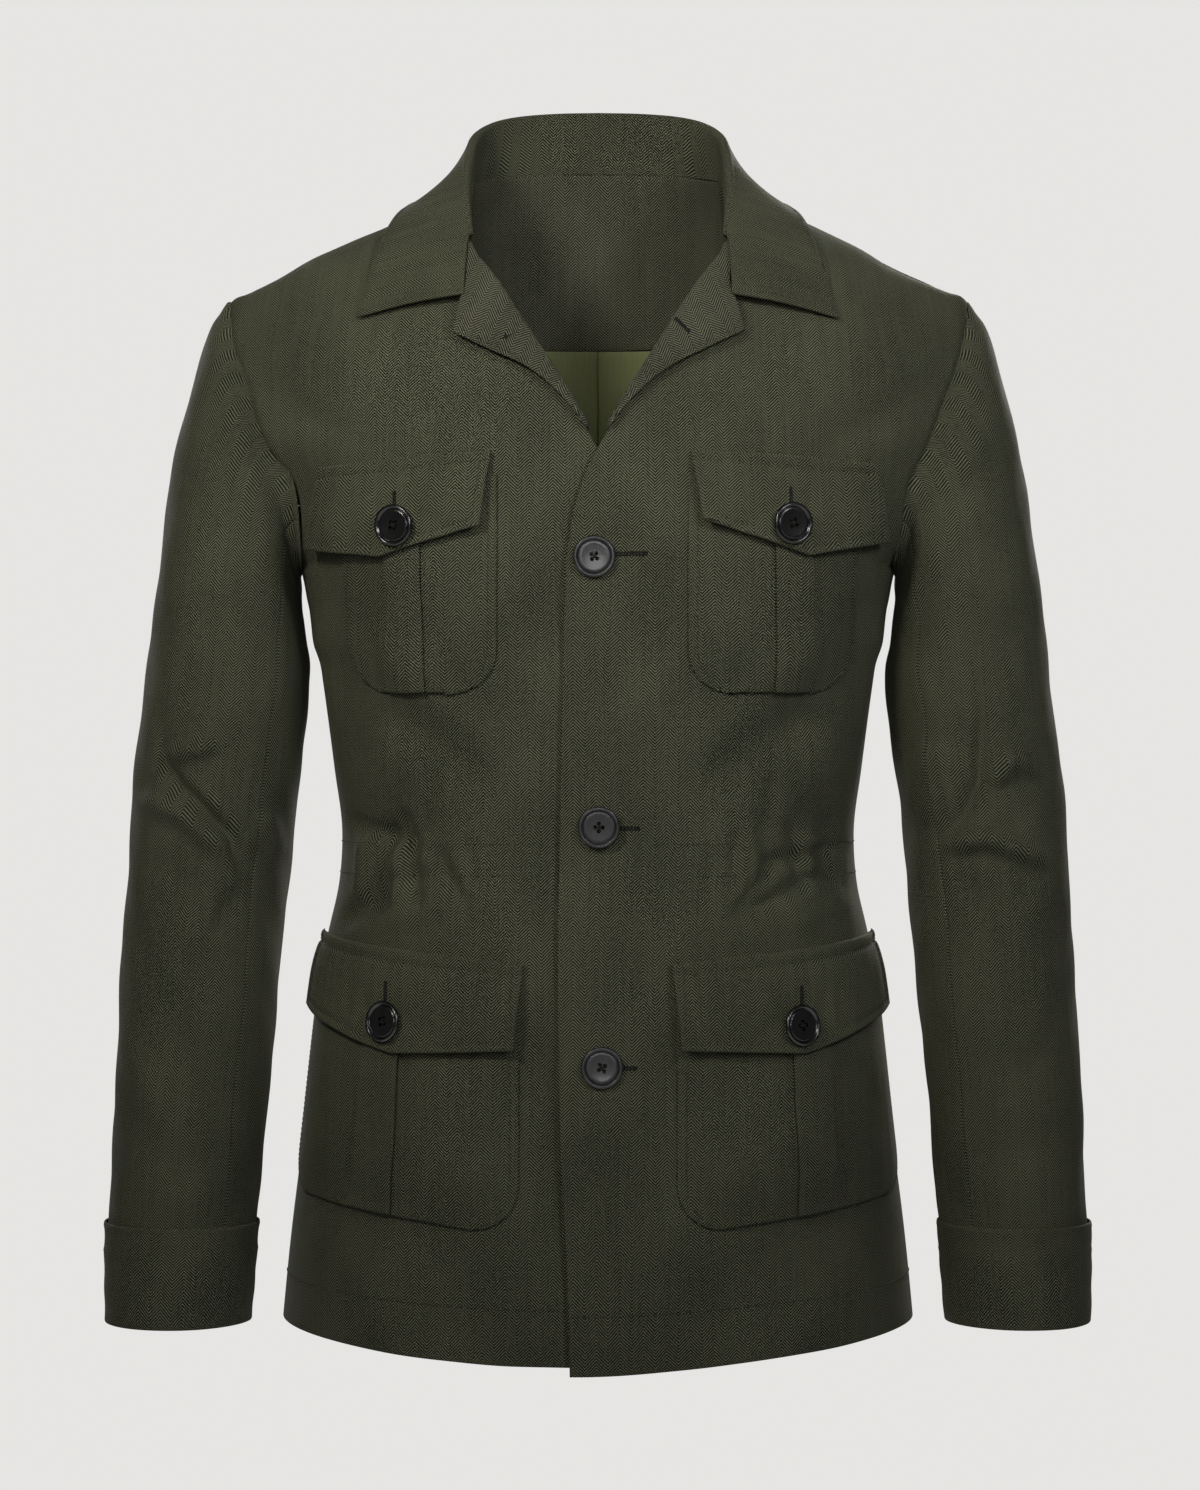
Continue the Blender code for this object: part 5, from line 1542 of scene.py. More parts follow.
    def stitch_lines(self) -> list[Array]:
        """Topstitching on the fronts: hem, waist casing and lapel edge."""
        lines = []
        for side in Side:
            cloth = self.bodies[side]
            width = cloth.fan[1]
            z_row = (self.drape.form.underarm_z - self.drape.form.hem_z) / self.rows_low
            columns = np.linspace(width + 1.0, width + self.columns - 1.0, 150)
            lines.append(cloth.trace(np.full(150, 0.0285 / z_row), columns, 0.0002))
            for z, start in ((-0.3945, 0.30), (-0.4135, 0.34)):
                row = (z - self.drape.form.hem_z) / z_row
                columns = np.linspace(width + start * self.columns, width + self.columns - 1.0, 90)
                lines.append(cloth.trace(np.full(90, row), columns, 0.0002))
            rows = np.linspace(self.rows_low + (self.break_row + 0.6) * self.rows_each,
                               self.rows_low + (self.corner_row - 0.12) * self.rows_each, 60)
            lines.append(self.inside_lapel(side, rows))
        return lines

    def inside_lapel(self, side: Side, rows: Array) -> Array:
        """A line on the face of a lapel, a little inside its free edge.

        Args:
            side: side of the jacket.
            rows: rows of the grid.

        Returns:
            The points of the line.
        """
        cloth = self.bodies[side].moved(-(2 * self.cloth + self.ply_gap) - 0.0003)
        made = []
        for row in rows:
            i = int(row)
            line = cloth.points[i, :self.lapel_cells]
            along = lengths(line)
            made.append([np.interp(0.0042, along, line[:, k]) for k in range(3)])
        return np.array(made)


def beside(first: Array, second: Array, from_first: float, from_second: float, turn: int) -> Array:
    """Point of a plane at given distances from two others, on one side of their line.

    Args:
        first: one point.
        second: the other.
        from_first: distance from the first.
        from_second: distance from the second.
        turn: 1 for the side to the left of the way from first to second, else -1.

    Returns:
        The point.
    """
    apart = np.linalg.norm(second - first)
    run = (second - first) / apart
    along = (from_first**2 - from_second**2 + apart**2) / (2.0 * apart)
    away = math.sqrt(max(from_first**2 - along**2, 0.0))
    return first + run * along + np.array([-run[1], run[0]]) * away * turn


def pull(points: Array, edge_name: str, gap: float) -> Array:
    """Draw one edge of a grid back along the cloth by a gap, in place.

    Args:
        points: the points.
        edge_name: which edge of the grid.
        gap: how far to draw it back.

    Returns:
        The same points, drawn back.
    """
    pairs = {
        "first_column": (np.s_[:, 0], np.s_[:, 1]),
        "last_column": (np.s_[:, -1], np.s_[:, -2]),
        "first_row": (np.s_[0], np.s_[1]),
        "last_row": (np.s_[-1], np.s_[-2]),
    }
    edge, inner = pairs[edge_name]
    points[edge] += unit(points[inner] - points[edge]) * gap
    return points


# ---------------------------------------------------------------- back
@dataclass
class BackPanel:
    """The back, its neck facing and the two halves of its lining."""

    drape: Drape
    cloth: float = 0.0012
    rows_low: int = 110
    rows_high: int = 58
    neck_cells: int = 18
    shoulder_cells: int = 36
    facing_spread: int = 6
    facing_z: float = -0.0790
    facing_rows: int = 26
    facing_ease: float = 0.0017
    facing_cloth: float = 0.0011
    lining_top_z: float = -0.0794
    lining_join_z: float = -0.1180
    lining_ease: float = 0.0085
    lining_top_ease: float = 0.0034
    lining_cloth: float = 0.0007
    seam_gap: float = 0.0004
    shoulder_gap: float = 0.0003
    shell: Optional[Cloth] = None

    def half(self) -> tuple[Array, Array]:
        """Plain points and places of the left half, from the centre to the side."""
        form = self.drape.form
        top = form.upper_point(np.sin(np.linspace(0, 0.5 * math.pi, 400)), 0.5 * math.pi,
                               Facing.BACK)
        along = lengths(top)
        neck = float(np.interp(form.neck_width, top[:, 0], along) / along[-1])
        shares = np.concatenate([np.linspace(0.0, neck, self.neck_cells + 1)[:-1],
                                 np.linspace(neck, 1.0, self.shoulder_cells + 1)])
        rows, places = [], []
        for z in np.linspace(form.hem_z, form.underarm_z, self.rows_low + 1)[:-1]:
            row, place = form.level_row(z, Facing.BACK, 0.0, shares)
            rows.append(row)
            places.append(place)
        lines = ClothLines(form, Facing.BACK)
        for angle in form.armhole_angles(Facing.BACK, np.linspace(0.0, 1.0, self.rows_high + 1)):
            last = (float(form.cut_share(math.sin(angle), Facing.BACK)), float(angle))
            row, place = lines.rising_row((0.0, float(angle)), last, shares)
            rows.append(row)
            places.append(place)
        return np.array(rows), np.array(places)

    def whole(self, folded: bool) -> Cloth:
        """The outer face from the right side seam to the left one.

        Args:
            folded: whether its folds are laid on.

        Returns:
            The grid.
        """
        half, place = self.half()
        other_place = place[:, :0:-1] * np.array([-1.0, 1.0])
        points = np.concatenate([mirrored(half, Side.RIGHT)[:, :0:-1], half], axis=1)
        places = np.concatenate([other_place, place], axis=1)
        if folded:
            relief = self.drape.on_back(points[:, :, 0], points[:, :, 2])
            seam = 0.0004 * np.exp(-(points[:, :, 0] / 0.0050) ** 2)
            points = points + grid_normals(points, -1) * (relief - seam)[:, :, None]
        return Cloth(points, places, -1)

    def build(self, finishes: Wardrobe) -> None:
        """Make the back, its facing and its lining.

        Args:
            finishes: the finished materials.
        """
        self.shell = self.whole(True)
        cut = Cloth(self.shell.points.copy(), self.shell.place, -1)
        for edge, gap in (("first_column", self.seam_gap), ("last_column", self.seam_gap),
                          ("last_row", self.shoulder_gap)):
            pull(cut.points, edge, gap)
        make_wall(cut, Sewn("back_wool", "back", "shell", finishes.wool, self.cloth))
        centre = self.shell.points.shape[1] // 2
        spread = self.neck_cells + self.facing_spread
        inside = self.shell.moved(-self.facing_ease)
        make_wall(self.neck_facing(inside, centre, spread),
                  Sewn("neck_facing_wool", "neck_facing", "facing", finishes.facing,
                       self.facing_cloth, rests_on=("back_wool",)))
        self.make_lining(finishes, centre)

    def neck_facing(self, inside: Cloth, centre: int, spread: int) -> Cloth:
        """The facing inside the back of the neck, with a straight lower edge.

        Args:
            inside: the shell moved to its inner face.
            centre: column or point at the middle.
            spread: columns to each side of it.

        Returns:
            The facing.
        """
        points, places = [], []
        for col in range(centre - spread, centre + spread + 1):
            line = np.column_stack([inside.points[:, col], inside.place[:, col]])
            first = np.array([np.interp(self.facing_z, line[:, 2], line[:, k]) for k in range(5)])
            kept = np.vstack([first, line[line[:, 2] > self.facing_z + 0.0005]])
            shares = np.linspace(0.0, 1.0, self.facing_rows + 1)
            both = resample(kept, shares)
            points.append(both[:, :3])
            places.append(both[:, 3:])
        points = np.array(points).transpose(1, 0, 2)
        pull(points, "last_row", -0.0008)
        return Cloth(points, np.array(places).transpose(1, 0, 2), -1)

    def make_lining(self, finishes: Wardrobe, centre: int) -> None:
        """The two halves of the lining, joined at a centre seam.

        Args:
            finishes: the finished materials.
            centre: column or point at the middle.
        """
        plain = self.whole(False)
        join = step(self.lining_join_z, self.lining_top_z, plain.points[:, :, 2])
        ease = self.lining_ease + (self.lining_top_ease - self.lining_ease) * join
        ripple = 0.0003 * np.sin(plain.place[:, :, 0] * 74.0 + plain.place[:, :, 1] * 11.0)
        inside = plain.moved(-(ease + ripple))
        points, places = [], []
        shares = np.linspace(0.0, 1.0, 91)
        for col in range(inside.points.shape[1]):
            line = np.column_stack([inside.points[:, col], inside.place[:, col]])
            low = np.array([np.interp(-0.660, line[:, 2], line[:, k]) for k in range(5)])
            top = np.array([np.interp(self.lining_top_z, line[:, 2], line[:, k]) for k in range(5)])
            kept = line[(line[:, 2] > -0.660) & (line[:, 2] < self.lining_top_z)]
            both = resample(np.vstack([low, kept, top]), shares)
            points.append(both[:, :3])
            places.append(both[:, 3:])
        points = np.array(points).transpose(1, 0, 2)
        places = np.array(places).transpose(1, 0, 2)
        halves = {
            Side.LEFT: slice(centre, points.shape[1] - 1),
            Side.RIGHT: slice(1, centre + 1),
        }
        for side, span in halves.items():
            cut = points[:, span].copy()
            pull(cut, "last_row", 0.0004)
            pull(cut, "first_column" if side is Side.LEFT else "last_column", 0.0002)
            make_wall(Cloth(cut, places[:, span], -1),
                      Sewn("lining_%s_satin" % side.word, "lining_" + side.word, "lining",
                           finishes.lining, self.lining_cloth, rests_on=("neck_facing_wool",),
                           rim_cells=3))

    def stitch_lines(self) -> list[Array]:
        """Topstitching on the back: hem and waist casing."""
        count = self.shell.points.shape[1]
        height = (self.drape.form.underarm_z - self.drape.form.hem_z) / self.rows_low
        columns = np.linspace(1.0, count - 2.0, 300)
        lines = []
        for z in (self.drape.form.hem_z + 0.0285, -0.3945, -0.4135):
            row = (z - self.drape.form.hem_z) / height
            lines.append(self.shell.trace(np.full(300, row), columns, 0.0002))
        return lines


# ---------------------------------------------------------------- sleeves
class Ring(NamedTuple):
    """A tilted oval section of a sleeve."""

    out_x: float
    out_z: float
    in_x: float
    in_z: float
    mid_y: float
    depth: float


class Crease(NamedTuple):
    """A bent fold of a sleeve.

    Its path is given in degrees round from outside by the front, and height. Its depth is
    below zero in a trough; `ridge` is the share of it that stands up on the upper side.
    """

    path: tuple[tuple[float, float], ...]
    width: float
    depth: float
    ridge: float = 0.0


def crease_height(crease: Crease, turn: Array, z: Array, scale: float) -> Array:
    """Height of one bent fold at points of a sleeve.

    Args:
        crease: the fold.
        turn: degrees round, at each point.
        z: heights of the points.
        scale: metres of girth in one degree.

    Returns:
        The height at each point.
    """
    path = np.array(crease.path) * np.array([scale, 1.0])
    a, z = np.broadcast_arrays(turn * scale, z)
    total = lengths(path)[-1]
    best = np.full(a.shape, np.inf)
    offset, place = np.zeros(a.shape), np.zeros(a.shape)
    done = 0.0
    for start, stop in zip(path[:-1], path[1:]):
        run = stop - start
        length = np.linalg.norm(run)
        run = run / length
        along = (a - start[0]) * run[0] + (z - start[1]) * run[1]
        held = np.clip(along, 0.0, length)
        away = np.hypot(a - start[0] - held * run[0], z - start[1] - held * run[1])
        side = (z - start[1]) * run[0] - (a - start[0]) * run[1]
        near = away < best
        offset = np.where(near, np.where(side > 0, away, -away), offset)
        place = np.where(near, done + held, place)
        best = np.minimum(best, away)
        done += length
    taper = step(0.0, 0.30 * total, place) * step(0.0, 0.30 * total, total - place)
    width = crease.width * (0.75 + 0.25 * taper)
    trough = np.exp(-(offset / width) ** 2)
    crest = crease.ridge * np.exp(-((offset - 1.7 * width) / (1.1 * width)) ** 2)
    fade = np.exp(-(np.maximum(best - 3 * width, 0) / width) ** 2)
    return crease.depth * (0.15 + 0.85 * taper) * (trough - crest) * fade


@dataclass
class Sleeves:
    """Two-piece sleeves with their elbow folds, and a cuff band on each."""

    form: TrunkForm
    cloth: float = 0.0012
    cuff_cloth: float = 0.0015
    count: int = 125
    rows: int = 190
    cuff_rows: int = 26
    front_seam: int = 45
    back_seam: int = 85
    seam_gap: float = 0.0001
    body_middle: tuple[float, float, float] = (0.100, 0.0, -0.200)
    allowance: tuple[tuple[float, float], ...] = (
        (0.0040, 0.0024), (0.0011, 0.0018), (-0.0002, 0.0008))
    girth: float = 0.345
    elbow_share: float = 0.65
    seam_hold: tuple[float, ...] = (1.0, 0.60, 0.32, 0.14, 0.04, 0.0)
    rings: tuple[Ring, ...] = (
        Ring(0.2305, -0.058, 0.1855, -0.225, 0.004, 0.0550),
        Ring(0.2385, -0.068, 0.1868, -0.2330, 0.004, 0.0600),
        Ring(0.2475, -0.092, 0.1852, -0.2420, 0.003, 0.0620),
        Ring(0.2575, -0.128, 0.1832, -0.2530, 0.002, 0.0630),
        Ring(0.2655, -0.170, 0.1816, -0.2670, 0.001, 0.0635),
        Ring(0.2715, -0.215, 0.1812, -0.2840, 0.000, 0.0635),
        Ring(0.2775, -0.262, 0.1822, -0.3050, 0.000, 0.0630),
        Ring(0.2825, -0.303, 0.1843, -0.3280, 0.000, 0.0620),
        Ring(0.2860, -0.335, 0.1865, -0.3500, -0.001, 0.0610),
        Ring(0.2885, -0.359, 0.1888, -0.3680, -0.002, 0.0600),
        Ring(0.2900, -0.380, 0.1905, -0.3840, -0.003, 0.0592),
        Ring(0.2915, -0.400, 0.1925, -0.4010, -0.005, 0.0585),
        Ring(0.2925, -0.422, 0.1945, -0.4200, -0.007, 0.0578),
        Ring(0.2937, -0.448, 0.1965, -0.4460, -0.010, 0.0570),
        Ring(0.2952, -0.485, 0.1992, -0.4830, -0.015, 0.0560),
        Ring(0.2968, -0.530, 0.2035, -0.5290, -0.022, 0.0540),
        Ring(0.2985, -0.580, 0.2075, -0.5790, -0.029, 0.0520),
        Ring(0.3003, -0.634, 0.2122, -0.6340, -0.0365, 0.0500),
    )
    cuff_rings: tuple[Ring, ...] = (
        Ring(0.3022, -0.6275, 0.2103, -0.6275, -0.0360, 0.0516),
        Ring(0.3024, -0.6560, 0.2124, -0.6560, -0.0390, 0.0504),
        Ring(0.3020, -0.6880, 0.2152, -0.6880, -0.0420, 0.0488),
    )
    arm_close: float = 0.0030
    arm_close_z: tuple[float, float] = (-0.256, 0.023)
    outline_share: float = 0.22
    fold_gain: float = 1.35
    creases: dict[Side, tuple[Crease, ...]] = field(default_factory=lambda: {
        Side.RIGHT: (
            Crease(((22, -0.366), (54, -0.371), (76, -0.377), (103, -0.397), (116, -0.416)),
                   0.0066, -0.0062),
            Crease(((46, -0.312), (54, -0.345), (70, -0.360), (90, -0.373), (109, -0.390),
                    (118, -0.414)), 0.0046, 0.0052),
            Crease(((52, -0.342), (72, -0.339), (98, -0.333)), 0.0055, -0.0050),
            Crease(((84, -0.362), (101, -0.375), (114, -0.387), (134, -0.405)), 0.0060, -0.0046),
            Crease(((122, -0.420), (112, -0.436), (100, -0.456)), 0.0080, 0.0030),
            Crease(((128, -0.372), (150, -0.395), (166, -0.400)), 0.0080, -0.0040, 0.40),
            Crease(((40, -0.402), (70, -0.412), (92, -0.436)), 0.0110, 0.0030),
            Crease(((56, -0.440), (92, -0.452), (120, -0.448)), 0.0130, -0.0016),
            Crease(((58, -0.105), (105, -0.175), (156, -0.232)), 0.0125, -0.0044, 0.55),
            Crease(((78, -0.150), (118, -0.215), (160, -0.286)), 0.0120, -0.0030, 0.50),
            Crease(((110, -0.215), (140, -0.290), (150, -0.345)), 0.0130, -0.0026, 0.40),
            Crease(((62, -0.232), (80, -0.290), (84, -0.330)), 0.0170, 0.0020),
            Crease(((42, -0.520), (88, -0.562), (128, -0.572)), 0.0160, -0.0026, 0.40),
            Crease(((60, -0.596), (96, -0.610), (128, -0.604)), 0.0110, -0.0016, 0.50),
            Crease(((330, -0.384), (285, -0.402), (226, -0.391)), 0.0078, -0.0040, 0.35),
            Crease(((312, -0.350), (280, -0.360), (240, -0.352)), 0.0080, -0.0026, 0.35),
            Crease(((300, -0.432), (262, -0.424), (225, -0.440)), 0.0100, -0.0030, 0.40),
            Crease(((300, -0.120), (250, -0.190), (206, -0.236)), 0.0130, -0.0044, 0.55),
            Crease(((280, -0.190), (240, -0.260), (206, -0.300)), 0.0130, -0.0030, 0.40),
            Crease(((310, -0.560), (262, -0.540), (228, -0.560)), 0.0150, -0.0022, 0.40),
        ),
        Side.LEFT: (
            Crease(((132, -0.398), (96, -0.3915), (67, -0.401), (40, -0.409)),
                   0.0062, -0.0060, 0.15),
            Crease(((86, -0.300), (92, -0.335), (97, -0.357), (110, -0.377), (128, -0.394)),
                   0.0060, 0.0046),
            Crease(((116, -0.328), (130, -0.362), (142, -0.388)), 0.0120, -0.0052),
            Crease(((92, -0.362), (73, -0.344), (50, -0.352)), 0.0054, -0.0046, 0.25),
            Crease(((118, -0.405), (104, -0.430), (88, -0.470)), 0.0100, 0.0030),
            Crease(((128, -0.330), (148, -0.368), (166, -0.376)), 0.0085, -0.0040, 0.40),
            Crease(((44, -0.428), (80, -0.444), (120, -0.440)), 0.0120, -0.0018),
            Crease(((50, -0.140), (98, -0.168), (156, -0.226)), 0.0120, -0.0058, 0.60),
            Crease(((66, -0.178), (112, -0.222), (160, -0.268)), 0.0115, -0.0038, 0.50),
            Crease(((80, -0.226), (122, -0.282), (158, -0.322)), 0.0120, -0.0030, 0.45),
            Crease(((52, -0.240), (74, -0.290), (80, -0.325)), 0.0170, 0.0018),
            Crease(((46, -0.492), (84, -0.512), (122, -0.506)), 0.0150, -0.0020, 0.40),
            Crease(((52, -0.566), (92, -0.552), (126, -0.572)), 0.0150, -0.0024, 0.40),
            Crease(((56, -0.604), (90, -0.596), (124, -0.612)), 0.0100, -0.0014, 0.50),
            Crease(((326, -0.394), (280, -0.384), (226, -0.398)), 0.0078, -0.0040, 0.35),
            Crease(((308, -0.358), (275, -0.350), (238, -0.362)), 0.0080, -0.0026, 0.35),
            Crease(((306, -0.430), (268, -0.438), (230, -0.428)), 0.0100, -0.0030, 0.40),
            Crease(((296, -0.130), (248, -0.182), (206, -0.230)), 0.0130, -0.0044, 0.55),
            Crease(((276, -0.205), (240, -0.250), (206, -0.292)), 0.0130, -0.0030, 0.40),
            Crease(((306, -0.530), (262, -0.556), (228, -0.548)), 0.0150, -0.0022, 0.40),
        ),
    })
    cuffs: dict[Side, Cloth] = field(default_factory=dict)

    def sections(self, rings: Sequence[Ring], at: Array) -> Array:
        """Oval sections at fractional places of a table of rings.

        Args:
            rings: table of rings.
            at: fractional places in the table.

        Returns:
            The points of each section.
        """
        table = np.array(rings)
        found = smooth(np.arange(len(rings)), table, at)
        out_x, out_z, in_x, in_z, mid_y, depth = (found[:, k, None] for k in range(6))
        turn = np.arange(self.count) * 2.0 * math.pi / self.count
        cos, sin = np.cos(turn)[None, :], np.sin(turn)[None, :]
        x = 0.5 * (out_x + in_x) + 0.5 * (out_x - in_x) * cos
        z = 0.5 * (out_z + in_z) + 0.5 * (out_z - in_z) * cos
        return np.stack(np.broadcast_arrays(x, mid_y - depth * sin, z), axis=-1)

    def armhole_loop(self) -> Array:
        """The armhole's edge: down the front from the shoulder, and up the back."""
        share = np.arange(self.count) / self.count
        made = np.zeros((self.count, 3))
        for facing, part in ((Facing.FRONT, share < 0.5), (Facing.BACK, share >= 0.5)):
            rise = 1.0 - 2.0 * share[part] if facing is Facing.FRONT else 2.0 * share[part] - 1.0
            angle = self.form.armhole_angles(facing, rise)
            made[part] = self.form.upper_point(self.form.cut_share(np.sin(angle), facing),
                                               angle, facing)
        return made

    def relief(self, side: Side, z: Array, from_top: Array) -> Array:
        """Height of the folds, the seams and the sleeve head at each point.

        Args:
            side: side of the jacket.
            z: height.
            from_top: distance down from the armhole.

        Returns:
            A height for each point.
        """
        turn = np.arange(self.count)[None, :] * 360.0 / self.count
        scale = self.girth / 360.0
        height = np.zeros(z.shape)
        for fold in self.creases[side]:
            height = height + crease_height(fold, turn, z, scale)
        round_it = turn * math.pi / 180.0
        seen = self.outline_share + (1.0 - self.outline_share) * np.sin(round_it) ** 2
        height = height * seen * self.fold_gain
        height = height + 0.0005 * np.sin(3 * round_it + 41.0 * z + side.value)
        height = height + 0.0004 * np.sin(5 * round_it - 63.0 * z)
        height = height + 0.0003 * np.sin(9 * round_it + 131.0 * z + 2.0 * side.value)
        height = height * step(0.0, 0.045, from_top) * (1.0 - step(-0.612, -0.632, z))
        inside = np.exp(-((turn - 180.0) / 42.0) ** 2) * step(0.004, 0.022, from_top)
        middle, reach = self.arm_close_z
        height = height + inside * self.arm_close * np.exp(-((z - middle) / reach) ** 4)
        return height + 0.0014 * np.exp(-((from_top - 0.0090) / 0.0060) ** 2)

    def tucked(self, loop: Array) -> Array:
        """Three rows of seam allowance, turned in beneath the edge of the armhole.

        Args:
            loop: the armhole's edge.

        Returns:
            The rows, from the innermost to the seam.
        """
        share = np.arange(self.count) / self.count
        inward = np.zeros_like(loop)
        for facing, part in ((Facing.FRONT, share < 0.5), (Facing.BACK, share >= 0.5)):
            rise = 1.0 - 2.0 * share[part] if facing is Facing.FRONT else 2.0 * share[part] - 1.0
            angle = self.form.armhole_angles(facing, rise)
            cut = self.form.cut_share(np.sin(angle), facing)
            inward[part] = self.form.upper_point(0.97 * cut, angle, facing) - loop[part]
        under = (0.5 - 0.5 * np.cos(2.0 * math.pi * share))[:, None] ** 6
        inward = unit(unit(inward) * (1.0 - under) + np.array([0.0, 0.0, -1.0]) * under)
        run = np.roll(loop, -1, axis=0) - np.roll(loop, 1, axis=0)
        out = unit(np.cross(run, inward))
        out = out * np.sign((out * (loop - self.body_middle)).sum(axis=1, keepdims=True))
        return np.array([loop + inward * along - out * sunk for along, sunk in self.allowance])

    def grid(self, side: Side) -> Cloth:
        """Outer face of one sleeve, rows from the armhole down, columns round from outside.

        Args:
            side: side of the jacket.

        Returns:
            The outer face.
        """
        at = np.linspace(0.0, len(self.rings) - 1.0, self.rows + 1)
        sections = self.sections(self.rings, at)
        hold = smooth(np.arange(len(self.seam_hold)), np.array(self.seam_hold), at)
        loop = self.armhole_loop()
        sections = sections + (loop - sections[0])[None] * hold[:, None, None]
        sections = np.concatenate([self.tucked(loop), sections[1:]])
        steps = np.linalg.norm(np.diff(sections, axis=0), axis=2)
        down = np.concatenate([np.zeros((1, self.count)), np.cumsum(steps, axis=0)], axis=0)
        padded = np.concatenate([sections[:, -1:], sections, sections[:, :1]], axis=1)
        out = grid_normals(padded, -1)[:, 1:-1]
        from_seam = down - down[len(self.allowance) - 1:len(self.allowance)]
        relief = self.relief(side, sections[:, :, 2], np.maximum(from_seam, 0.0))
        relief[:len(self.allowance)] = 0.0
        points = sections + out * relief[:, :, None]
        return Cloth(mirrored(points, side), self.grain(sections, down), -side.value)

    def grain(self, points: Array, down: Array) -> Array:
        """Place on the cloth: round the arm from outside, and down it to a level elbow.

        Args:
            points: the points.
            down: distance down the sleeve at each row.

        Returns:
            The place of each point.
        """
        elbow = round(self.elbow_share * (points.shape[0] - 1))
        along = points[elbow, :, 2] + down[elbow] - down
        across = np.arange(self.count) * self.girth / self.count
        return np.stack(np.broadcast_arrays(across[None, :], along), axis=-1)

    def build(self, finishes: Wardrobe) -> None:
        """Make both sleeves and their cuffs.

        Args:
            finishes: the finished materials.
        """
        for side in Side:
            grid = self.grid(side)
            points, place = grid.points, grid.place
            later = place[:, :self.front_seam + 1] + np.array([self.girth, 0.0])
            top = Cloth(np.concatenate([points[:, self.back_seam:],
                                        points[:, :self.front_seam + 1]], axis=1),
                        np.concatenate([place[:, self.back_seam:], later], axis=1), grid.turn)
            under = Cloth(points[:, self.front_seam:self.back_seam + 1].copy(),
                          place[:, self.front_seam:self.back_seam + 1], grid.turn)
            for cloth, word in ((top, "top"), (under, "under")):
                pull(cloth.points, "first_column", 0.5 * self.seam_gap)
                pull(cloth.points, "last_column", 0.5 * self.seam_gap)
                make_wall(cloth, Sewn("sleeve_%s_%s_wool" % (side.word, word),
                                      "sleeve_%s_%s" % (side.word, word), "shell", finishes.wool,
                                      self.cloth, rests_on=("front_%s_wool" % side.word,)))
            cuff = self.cuff(side)
            self.cuffs[side] = cuff
            make_wall(cuff, Sewn("cuff_%s_wool" % side.word, "cuff_" + side.word, "shell",
                                 finishes.wool, self.cuff_cloth,
                                 rests_on=("sleeve_%s_top_wool" % side.word,)))

    def cuff(self, side: Side) -> Cloth:
        """The cuff band, a closed ring a little wider than the sleeve's end.

        Args:
            side: side of the jacket.

        Returns:
            The band.
        """
        at = np.linspace(0.0, len(self.cuff_rings) - 1.0, self.cuff_rows + 1)
        points = self.sections(self.cuff_rings, at)
        turn = np.arange(self.count) * 2.0 * math.pi / self.count
        wave = 0.0007 * np.sin(3 * turn + 1.0)[None, :] * (at[:, None] / 2.0)
        wave = wave + 0.00020 * np.sin(9.0 * at[:, None]
                                       + 2.2 * np.sin(2.0 * turn + side.value)[None, :])
        padded = np.concatenate([points[:, -1:], points, points[:, :1]], axis=1)
        out = grid_normals(padded, -1)[:, 1:-1]
        groove = np.zeros((len(at), 1))
        for row in (0.085, 0.63):
            groove = groove - 0.00035 * np.exp(-((at[:, None] - row) / 0.05) ** 2)
        points = points + out * (wave + groove)[:, :, None]
        girth = 0.300
        across = np.arange(self.count) * girth / self.count
        along = -0.030 * at
        place = np.stack(np.broadcast_arrays(across[None, :], along[:, None]), axis=-1)
        return Cloth(mirrored(points, side), place, -side.value, wrap=True)

    def stitch_lines(self) -> list[Array]:
        """Two rows of topstitching round each cuff, and one above its hem."""
        lines = []
        for cuff in self.cuffs.values():
            columns = np.linspace(0.0, self.count - 0.001, 160)
            for row in (1.1, 8.2):
                lines.append(cuff.trace(np.full(160, row), columns, 0.0002))
        return lines


# ---------------------------------------------------------------- collar
class FrontStation(NamedTuple):
    """A collar section over a front."""

    along: float
    fold_a: float
    fold_y: float
    fold_z: float
    edge_a: float
    edge_rise: float
    lift: float


class BackStation(NamedTuple):
    """A collar section behind the shoulder line."""

    along: float
    fold_a: float
    fold_y: float
    fold_z: float
    edge_a: float
    edge_y: float
    edge_z: float


